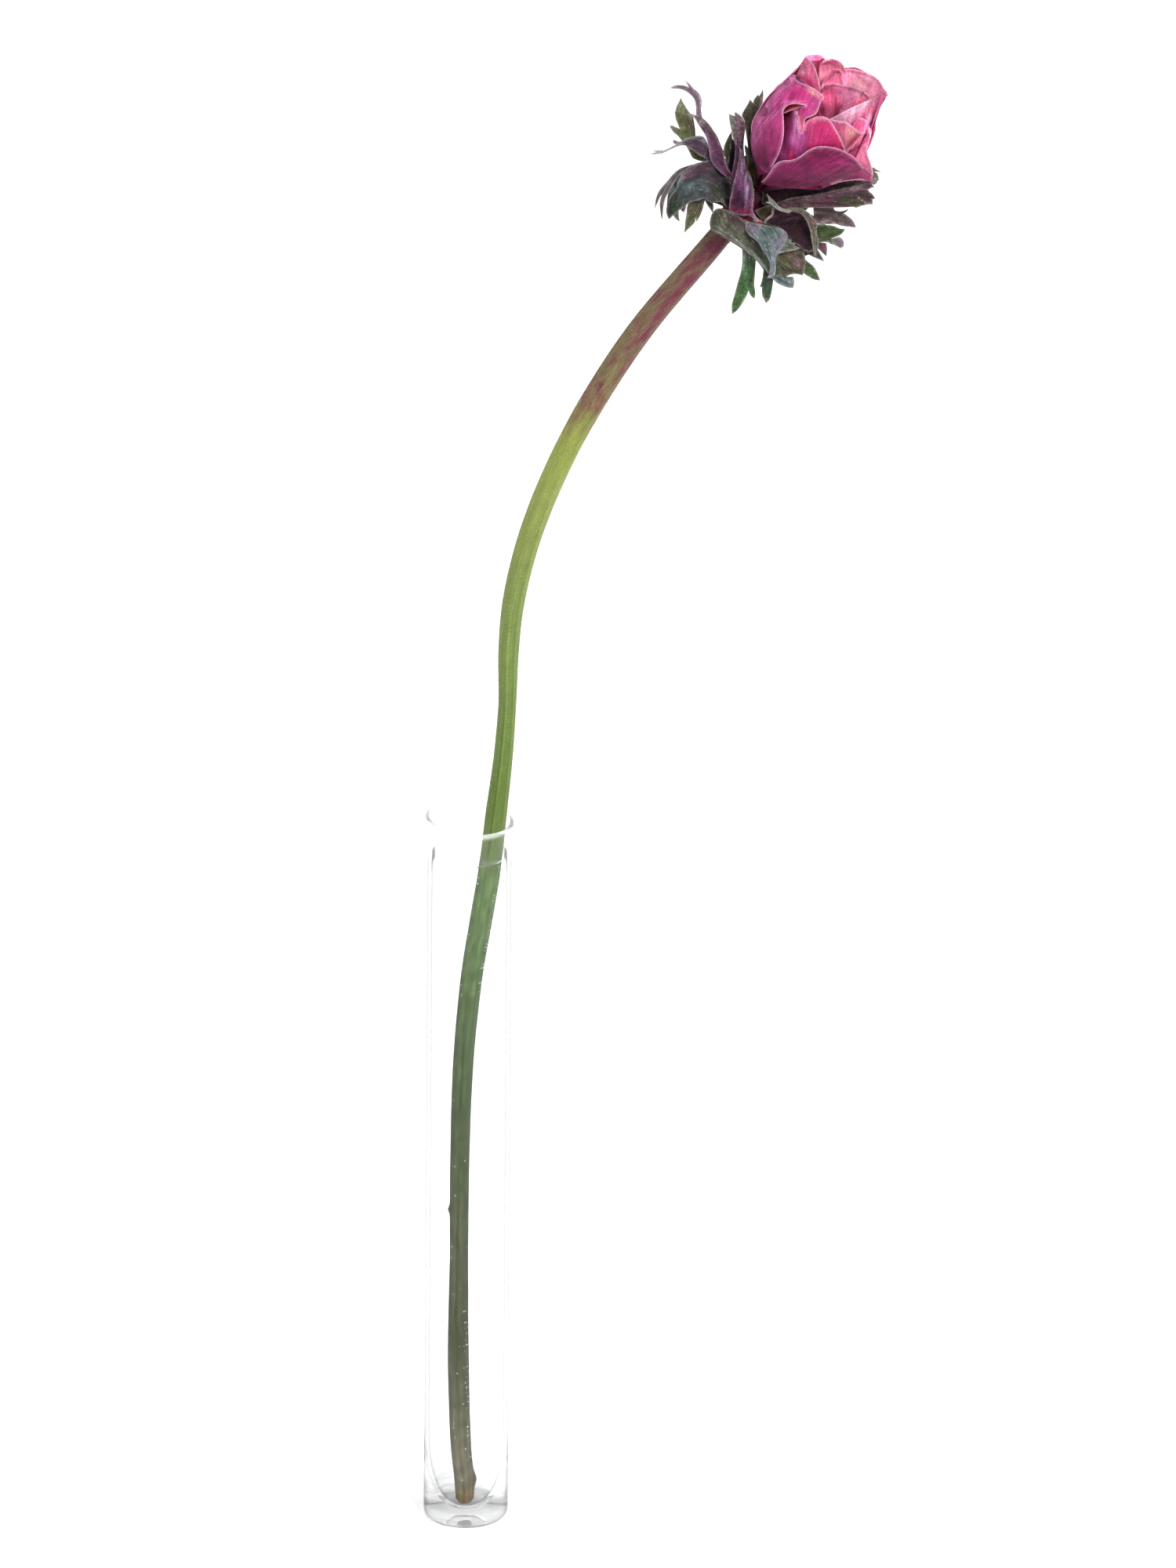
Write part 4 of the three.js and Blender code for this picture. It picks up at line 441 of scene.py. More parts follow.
            (12.1, 22.5), (12.2, 21.3), (12.3, 20), (12.5, 19.1), (12.9, 18.5), (13.5, 18.8), (14.2, 17, 0),
            (14.4, 14, 0), (13, 11, 0)],
        "lift": [(8.2, 20, -1), (8.4, 24, -2.4), (11.6, 24, 0.7), (12.3, 21, 0.9), (13, 18.6, 0.9),
            (11, 16, 0.6), (8, 14, -0.4)],
        # Painted shade in the dark marks at its left, where it rolls under the petal in front, and painted
        # light on the mauve marks along its ridge; the near white marks are painted highlights on its margin.
        "marks": [(9, 20.5, 0.5, 3.6, 0, (146, 26, 76), 0.9), (9.6, 23, 0.8, 1, 20, (186, 56, 86), 0.85),
            (8.8, 16, 0.6, 3, 10, (128, 34, 88), 0.8), (11.4, 21, 0.55, 2.6, 0, (190, 124, 170), 0.85),
            (10.8, 17.6, 0.8, 2.6, 6, (160, 96, 146), 0.8), (12.2, 17, 0.8, 1.6, 0, (166, 96, 148), 0.7),
            (11.9, 23.5, 0.5, 0.5, 0, (240, 180, 204), 0.9), (10.2, 14, 2, 1.2, 0, (142, 36, 92), 0.8),
            (12.2, 14.4, 1.2, 1.4, 0, (160, 60, 120), 0.7), (10.2, 20.6, 0.5, 3, 4, (176, 64, 122), 0.8),
            (12.25, 20.4, 0.16, 2, 0, (240, 170, 200), 0.8), (9.7, 18, 0.25, 2.4, 6, (126, 40, 92), 0.6)]},
    "tongue": {
        "side": FRONT, "foot": (13, 12), "colour": (190, 76, 122), "gain": (0.6, 0.5, 0.55), "curl": 0.2,
        "outline": [(12.3, 24.6, 0), (12.1, 22.6), (12.3, 21), (12.4, 19.6), (12.8, 18.7), (13.4, 18.9),
            (13.8, 19.8), (13.9, 21.2), (14.2, 22.2), (15.4, 22.9, 0), (15, 24.6, 0)],
        "lift": [(12.2, 22, 1.1), (13, 18.8, 0.9), (13.9, 21, 0.8), (14, 24, 1.4)],
        "marks": [(12.6, 21, 0.2, 1.6, 0, (176, 50, 98), 0.8), (13.2, 22.4, 0.5, 1, 0, (220, 104, 140), 0.7),
            (13, 18.9, 0.35, 0.25, 0, (110, 20, 50), 0.95), (13.7, 20.4, 0.15, 1, 0, (238, 160, 190), 0.8),
            (12.9, 20, 0.3, 0.8, 0, (222, 120, 150), 0.6)]},
    # A sheet painted dark crimson as the shade under the lip of the outer left petal, in the mouth of the
    # bud.
    "hollow_shade": {
        "side": FRONT, "foot": (11, 20), "colour": (140, 30, 52), "gain": (0.8, 0.8, 0.8), "curl": 0.05,
        "outline": [(7.9, 23.2, 0), (8.6, 23.4), (10.4, 24.15), (12.4, 24.8), (14, 25.3), (13.6, 26.2, 0),
            (10, 26.6, 0), (8, 25, 0)],
        "lift": [(8.6, 23.4, 1.2), (11, 24.6, 1.3), (14, 25.3, 1.4)],
        "marks": [(10, 24.3, 1.8, 0.3, 22, (206, 106, 104), 0.9),
            (12.4, 25.1, 1.2, 0.25, 10, (110, 14, 40), 0.9), (9.2, 24.4, 0.8, 0.3, 40, (118, 34, 44), 0.9),
            (11.4, 24.7, 1, 0.2, 16, (196, 80, 92), 0.7), (8.8, 23.7, 0.4, 0.2, 20, (90, 10, 34), 0.8)]},
    "outerLeft": {
        "side": FRONT, "foot": (4, 3), "colour": (178, 62, 124), "gain": (0.56, 0.5, 0.54), "curl": 0.45,
        "outline": [(4.2, 8.2, 0), (2.8, 9.2, 0), (1.6, 10.8, 0), (0.9, 12.8, 0), (0.4, 15, 0),
            (0.2, 17.5, 0), (0.4, 19.5, 0), (0.9, 21.3, 0), (1.8, 22.8, 0), (3, 24.6, 0), (4.4, 26.6, 0),
            (6, 28.6, 0), (7.6, 30.4, 0), (9, 32, 0), (10.2, 33.1, 0), (11, 33.6, 0), (11.6, 33.3, 0),
            (11.35, 32.5), (12.1, 31.7), (13.5, 31.05), (15, 30.4), (16.5, 29.6), (17.6, 28.8), (18.4, 28.15),
            (18.8, 27.7), (18.6, 27.1), (18, 26.5), (17.7, 25.6), (17.35, 24.5), (16.8, 23.4), (15.9, 22.75),
            (14.9, 22.35), (14.1, 22), (13.8, 21.4), (13.3, 22.6, 0), (12.8, 23.6, 0), (12.6, 24.4, 0),
            (13.3, 24.95, 0), (14, 25.35), (12.6, 25.65), (11.3, 25.8), (10, 25.6), (9, 25), (8.35, 24),
            (8.4, 22.5), (8.5, 20.5), (8.5, 18.5), (8.3, 16.5), (7.8, 14.5), (7.2, 12.8), (6.4, 11.2),
            (5.6, 9.8), (5, 8.6, 0)],
        "lift": [(4.2, 8.4, 1), (0.4, 17, 0), (3, 24.6, 0), (9, 32, 0), (4.5, 17, 1.9), (8.4, 20, 2.5),
            (8.4, 24, 3.1), (10, 25.6, 3.7), (12.5, 25.6, 3.7), (13.6, 23, 2.4), (17.4, 25, 1.8),
            (18.6, 27.5, 1.3), (13.5, 31, 1.6), (10, 29, 2.1), (7, 12.8, 1.3), (6.6, 25, 2.4)],
        # The lilac marks along its left edge are painted highlights; the dark marks low at its foot are
        # painted shade.
        "marks": [(1.3, 19.5, 3.4, 0.5, 74, (196, 104, 164), 0.85),
            (3.4, 24, 3.4, 0.7, 54, (198, 102, 160), 0.85), (7.4, 29.2, 3.6, 0.8, 50, (204, 110, 166), 0.85),
            (10, 32.2, 1.4, 0.8, 30, (212, 140, 184), 0.8), (11.4, 28.2, 3.4, 1.4, 14, (176, 36, 106), 0.85),
            (8.6, 27.2, 2.6, 0.7, 40, (190, 66, 132), 0.7), (3.2, 12.6, 2.4, 3.4, 0, (100, 26, 66), 0.9),
            (5.6, 16.6, 1.6, 2.6, 0, (150, 44, 100), 0.7), (3.8, 10.4, 2, 1.1, -30, (92, 18, 62), 0.9),
            (6.2, 12.8, 1, 1.2, -50, (118, 24, 78), 0.7), (16, 28.7, 1.8, 0.7, -36, (224, 168, 150), 0.9),
            (17.6, 27.8, 0.9, 0.5, -30, (222, 140, 160), 0.7), (16, 26, 1, 1.8, -10, (194, 78, 140), 0.8),
            (15.4, 24, 1.2, 0.7, -30, (206, 90, 150), 0.7), (14.4, 27, 1, 1, 0, (190, 60, 120), 0.6),
            (10.6, 26.4, 2.6, 0.3, 2, (214, 122, 172), 0.85),
            (8.2, 24.8, 0.4, 1.4, -20, (200, 104, 156), 0.7), (6.6, 23.4, 3, 0.22, 46, (212, 130, 184), 0.7),
            (5.2, 23.8, 3.4, 0.18, 48, (140, 40, 104), 0.6), (4.6, 22.4, 3.6, 0.18, 50, (210, 124, 180), 0.7),
            (3.2, 21.4, 3.2, 0.16, 54, (142, 44, 106), 0.55), (2.6, 21.6, 3, 0.16, 56, (212, 130, 184), 0.65),
            (5.8, 25.4, 3.4, 0.18, 48, (208, 120, 176), 0.6), (7, 26.2, 3, 0.16, 46, (146, 44, 108), 0.5),
            (2.2, 17.6, 3, 0.2, 60, (206, 116, 172), 0.6), (3.6, 18.6, 2.6, 0.18, 56, (150, 48, 108), 0.5),
            (8.1, 18, 0.3, 4, 2, (206, 100, 156), 0.5), (13.6, 24, 0.6, 0.8, 20, (176, 48, 112), 0.7),
            (12.2, 30.4, 2, 0.4, -26, (196, 80, 136), 0.6)]},
    "lowerFront": {
        "side": FRONT, "foot": (3, 2), "colour": (158, 46, 102), "gain": (0.43, 0.38, 0.43), "curl": 0.4,
        "outline": [(2.8, 6), (3.8, 6.9), (4.8, 8.2), (5.5, 9.4), (6.3, 10.4), (7.4, 11.1), (8.6, 11.4),
            (10, 11.45), (11.2, 11.7), (12.4, 12.3), (13.6, 13.1), (14.6, 13.9), (16, 14.6), (17.5, 15),
            (19, 15.05), (20.6, 14.9), (22.4, 14.5), (24.2, 13.8), (25.8, 12.9), (27.2, 11.8), (28.4, 10.5),
            (29.4, 9.1), (30.2, 7.9), (31, 7.35), (31.5, 6.9), (30.8, 6.55), (29, 6.55), (27, 6.55),
            (25, 6.35), (23, 5.95), (21, 5.3), (19, 4.6, 0), (17.5, 4.2, 0), (16, 4.1, 0), (14.5, 4.1, 0),
            (13, 4.3, 0), (11.5, 4.3, 0), (10, 4.3, 0), (8, 4.6, 0), (6.4, 4.9, 0), (5, 5.1, 0), (4, 5.3, 0)],
        "lift": [(3, 6, 1.2), (8.6, 11.2, 1.4), (10, 11.4, 1.3), (14.6, 13.8, 1.5), (19, 15, 1.6),
            (24, 13.8, 2), (28.4, 10.4, 2.6), (31.2, 7, 2.6), (25, 6.4, 0.4), (16, 4.2, 0), (6, 5, 0.4),
            (9, 8, 1.9), (17, 10, 2.6), (24, 10, 3)],
        "marks": [(5.4, 8.6, 1.8, 0.5, 50, (186, 104, 152), 0.85),
            (7.4, 10.3, 1.4, 0.4, 26, (180, 96, 144), 0.7), (8.4, 8.2, 1.6, 1.2, 30, (128, 52, 96), 0.7),
            (9.6, 6, 2.6, 0.8, 0, (104, 22, 62), 0.85), (5.6, 6.2, 1.6, 0.7, 20, (110, 36, 76), 0.7),
            (15, 12.6, 2.4, 0.5, 34, (186, 72, 120), 0.6), (18.6, 12.6, 2, 1.2, 0, (126, 34, 80), 0.8),
            (18, 14.2, 2.4, 0.4, 0, (184, 78, 124), 0.6), (13, 9, 2, 1.4, 0, (162, 52, 104), 0.6),
            (13, 5.4, 3.4, 0.6, 0, (112, 22, 62), 0.8), (22.6, 12.8, 2.4, 0.5, -16, (140, 44, 92), 0.7),
            (25.6, 11.4, 2.6, 0.3, -22, (120, 30, 80), 0.8), (25, 12.4, 2.4, 0.25, -22, (178, 80, 126), 0.6),
            (25, 10.6, 3, 0.2, -8, (186, 92, 134), 0.6), (24.6, 9.9, 3.4, 0.25, 4, (118, 28, 76), 0.8),
            (27.6, 10, 1.8, 0.3, -40, (130, 34, 84), 0.7), (22.6, 8.6, 3.4, 0.25, 24, (122, 24, 72), 0.85),
            (22, 9.4, 3.4, 0.25, 26, (182, 84, 130), 0.6), (19.6, 7, 3.2, 0.22, 30, (124, 26, 72), 0.85),
            (20.4, 8, 3.2, 0.22, 30, (178, 78, 124), 0.5), (17.6, 5.8, 2.6, 0.2, 28, (128, 28, 72), 0.7),
            (27, 8.6, 2.6, 0.25, 10, (176, 76, 122), 0.6), (27, 7.7, 2.8, 0.25, 4, (136, 44, 88), 0.7),
            (25.6, 6.9, 3, 0.22, 6, (198, 124, 164), 0.7), (29.6, 8.2, 1.2, 0.6, -40, (166, 60, 108), 0.7),
            (11, 10.4, 2, 0.5, 10, (150, 60, 108), 0.5), (29, 7, 1.6, 0.2, 0, (206, 140, 176), 0.6)]},
}

# Petals at the back, made by rule
HIDDEN_COLOURS = ((76, 14, 46), (176, 62, 114), (206, 86, 118), (230, 150, 184))
HIDDEN_PETALS = [
    {"angle": 150, "spread": 40, "height": 36, "lift": 0.3},
    {"angle": 95, "spread": 42, "height": 35, "lift": 1.7},
    {"angle": 44, "spread": 36, "height": 33, "lift": 0.2},
    {"angle": 8, "spread": 24, "height": 24, "lift": -1.2},
]

# Broad fronds: rows of points from root to tip, colour, marks, and lobes (where they start on the frond,
# their rib and half width)
BROAD_FRONDS = [
    {
        "colour": (94, 88, 90),
        "marks": [(-13.5, 9.6, 3.4, 0.9, 8, (132, 84, 108), 0.85),
            (-9.5, 9, 2.6, 1.6, 0, (112, 66, 92), 0.85), (-14, 6.6, 3, 1.2, 14, (112, 124, 126), 0.9),
            (-17.5, 4.4, 3, 1.4, 40, (104, 124, 122), 0.9), (-14.6, 3.6, 3.4, 1.3, 14, (84, 106, 100), 0.85),
            (-18.5, 0.6, 3.2, 1.4, 48, (58, 80, 54), 0.95), (-20.4, -1.6, 1.6, 0.8, 70, (48, 66, 46), 0.9),
            (-10, 3.4, 1.6, 2.6, 0, (104, 96, 78), 0.85), (-10.6, 5, 0.5, 2, 10, (128, 82, 100), 0.7),
            # The near black mark is painted shade in the recess between the fronds.
            (-8.6, 2.2, 1.4, 1.2, 0, (96, 104, 70), 0.8), (-6.8, 6.6, 1.6, 2.6, 0, (50, 38, 38), 0.95),
            (-6, 2.4, 1.4, 1.6, 0, (92, 30, 52), 0.85), (-11.6, 2, 1.2, 0.6, 10, (120, 140, 134), 0.7),
            (-20, 3.6, 1.6, 0.4, 52, (150, 164, 166), 0.8)],
        "rows": [
            [(-6.4, -0.4, 3.4), (-7.6, 3, 4), (-8, 8.4, 2.6)],
            [(-10, 0.8, 5.6), (-11.2, 6, 6.4), (-12, 10.9, 3.4)],
            [(-14, 1.2, 7), (-15, 5.5, 8), (-15.5, 9.9, 5.4)],
            [(-17, -0.2, 7.2), (-18, 3.8, 8.6), (-18.7, 7.6, 6.8)],
            [(-19.6, -2.5, 6.6), (-20.3, 0.5, 7.8), (-20.9, 3.2, 7.6)],
            [(-20.7, -3.7, 6), (-21, -3, 6.2), (-21.3, -2, 6.4)],
        ],
        "lobes": [
            ((0.45, 0.95), [(-18, 8.6, 7), (-20.4, 6, 7.6), (-23.3, 2.6, 7.6), (-24.5, -1, 7.2)], 0.7),
            ((0.62, 0.95), [(-20.5, 5.2, 8), (-22.5, 1, 8.4), (-22.6, -3.9, 8)], 0.7),
        ],
    },
    {
        "colour": (106, 58, 92),
        "marks": [(-0.5, 3, 2.8, 0.6, 84, (176, 146, 182), 0.9),
            (0.6, 5.6, 2, 0.35, 100, (140, 128, 112), 0.9), (-4, 4.6, 2.6, 0.8, 84, (78, 34, 68), 0.85),
            (-2.4, 8, 3, 0.7, 84, (128, 82, 122), 0.8), (-1.9, 13, 1.8, 0.6, 88, (140, 100, 136), 0.8),
            (-3.2, 11, 2, 0.3, 84, (84, 46, 78), 0.7), (-2.6, 3, 2.6, 0.35, 80, (132, 92, 134), 0.7),
            (-3.4, 0.4, 1.8, 1.2, 20, (118, 20, 60), 0.9), (-0.9, 0.2, 1, 1, 0, (110, 60, 96), 0.6),
            (0.5, 0.8, 2.4, 0.3, 84, (184, 130, 168), 0.9), (0.9, -1.8, 1, 0.5, 80, (186, 104, 140), 0.9),
            (-1.2, 7, 3, 0.2, 92, (164, 126, 160), 0.7)],
        "rows": [
            [(-4.6, 1, 4), (-2, -0.6, 5.6), (0.3, -2.2, 5.2)],
            [(-4.8, 4.6, 5), (-1.8, 3, 7.8), (1.1, 1.8, 8)],
            [(-4.5, 8.4, 5.8), (-2.4, 7.4, 8.4), (0.5, 6.6, 9)],
            [(-3.8, 12.2, 6.2), (-2.8, 12, 7.6), (-1.3, 11.4, 8.4)],
            [(-3.7, 15.6, 6), (-2.9, 15.8, 6.6), (-2, 15.6, 6.8)],
        ],
    },
    {
        "colour": (102, 98, 84),
        "marks": [(-7.2, -1.8, 2.4, 1, -14, (92, 80, 62), 0.9),
            (-8.6, -4, 1.6, 1.4, -30, (116, 118, 98), 0.8), (-5.4, -4, 2, 0.7, -30, (128, 124, 104), 0.7),
            (-2.8, -3.2, 1.8, 0.8, -20, (84, 40, 58), 0.9), (-1.6, -4.8, 1.6, 0.7, -20, (140, 104, 122), 0.8),
            (-4, -6.2, 2.4, 0.6, -34, (96, 92, 72), 0.8), (-1, -7.6, 2, 0.6, -40, (122, 92, 104), 0.7),
            (-7.6, -6.6, 2.8, 0.4, -28, (150, 152, 144), 0.85),
            (-2, -9.2, 3, 0.35, -36, (170, 176, 172), 0.85), (2.2, -11.4, 4, 0.9, -56, (56, 66, 52), 0.95),
            (0.8, -11.6, 3.2, 0.3, -52, (180, 184, 182), 0.8), (0, -9.8, 2, 0.5, -44, (116, 128, 104), 0.7),
            (-5.6, -7.4, 3, 0.2, -30, (88, 84, 74), 0.8), (3.4, -15, 2, 0.5, -60, (100, 110, 100), 0.7)],
        "rows": [
            [(-7, -0.6, 2.6), (-4.2, -3.4, 5), (-1, -4.2, 5.6), (2.6, -4, 5)],
            [(-9.4, -1.6, 3), (-6.2, -4.2, 6.4), (-2.2, -5.6, 7.8), (3, -5.2, 7.2)],
            [(-10.2, -3.6, 3), (-7, -6, 7), (-2.6, -7.4, 9), (3.4, -6.6, 8.6)],
            [(-10, -5.9, 3), (-6.5, -7.9, 6.6), (-1.5, -9.4, 9), (3.8, -8.8, 9)],
            [(-7.4, -7.5, 3.4), (-4, -9.4, 6.4), (0.5, -11.8, 8.6), (4.2, -11.4, 8.8)],
            [(-2.6, -10.4, 5), (-0.6, -11.6, 6.8), (2.6, -14, 8), (4.8, -14.2, 8.2)],
            [(1, -13.2, 6.8), (2.6, -14.6, 7.2), (4.2, -16.4, 7.6), (5.2, -17, 7.6)],
            [(4.4, -17.6, 7.2), (4.8, -18, 7.2), (5.2, -18.3, 7.2), (5.6, -18.5, 7.2)],
        ],
    },
    {
        "colour": (126, 140, 140),
        "marks": [(3.3, -6.3, 1.4, 1, 0, (108, 124, 118), 0.7), (7.6, -9.2, 2, 1.2, 70, (176, 164, 186), 0.8),
            (5, -7.2, 1.4, 0.8, -20, (106, 124, 104), 0.7), (6, -14.4, 2.6, 0.6, 88, (158, 168, 178), 0.85),
            (1.6, -6.6, 1, 1.4, 0, (146, 132, 150), 0.7), (2.4, -9.4, 1.6, 0.5, -60, (150, 160, 164), 0.7),
            (6.4, -5.6, 1.4, 0.4, -20, (138, 156, 162), 0.7),
            (4.6, -11.4, 1.6, 0.6, -70, (116, 134, 134), 0.7)],
        "rows": [
            [(0.8, -4.6, 6.6), (2.6, -4.4, 6.8), (4.4, -4.8, 6.2)],
            [(0.9, -6.6, 9.4), (4, -6, 10), (8.5, -6.2, 8.4)],
            [(1.8, -8.9, 10.4), (5, -8.5, 11.2), (9.2, -8.2, 9)],
            [(3.2, -11.2, 10.4), (5.5, -11.2, 11), (7.8, -11.4, 9.4)],
            [(4.6, -14.4, 9.6), (5.7, -14.4, 10), (6.8, -14.3, 9.2)],
            [(5.5, -18.2, 8.4), (5.9, -18.3, 8.5), (6.3, -18.2, 8.3)],
        ],
    },
    {
        "colour": (62, 34, 46),
        "marks": [(11.8, -4.2, 2.8, 0.45, 24, (116, 86, 98), 0.85),
            # The near black mark is painted shade deep in the frond's concave middle.
            (12.4, -5.6, 2.8, 0.7, 24, (30, 18, 24), 0.95), (12, -8.4, 2.2, 0.7, 6, (86, 70, 58), 0.8),
            (7.4, -3, 1.8, 1, 20, (82, 46, 66), 0.8), (13.5, -10, 1.6, 1.2, 0, (50, 30, 34), 0.8),
            (8, -5.6, 2, 0.5, 20, (40, 20, 32), 0.8), (9.6, -1.8, 2.4, 0.5, 8, (92, 58, 78), 0.7),
            (4.4, -3.6, 0.6, 1.4, -30, (150, 120, 128), 0.7)],
        "rows": [
            [(2.6, -4.2, 4.2), (3.2, -2.8, 4.6), (3.4, -1.2, 4.4)],
            [(6.3, -7, 6), (6.8, -3.4, 5), (7, -0.8, 6.6)],
            [(9.6, -10.6, 6), (11, -5.4, 4.2), (11.5, -1, 7)],
            [(12.8, -13, 5.8), (14, -6.8, 4.2), (15, -2, 6.8)],
            [(15.6, -12.4, 5.4), (16.8, -9, 4.8), (17.6, -5, 5.4)],
        ],
    },
]

# Fronds at the back: the way they point, their length and how steeply they rise
BACK_FRONDS = [
    {"angle": 35, "length": 25, "rise": 24},
    {"angle": 72, "length": 27, "rise": 14},
    {"angle": 108, "length": 26, "rise": 22},
    {"angle": 140, "length": 19, "rise": 30},
]

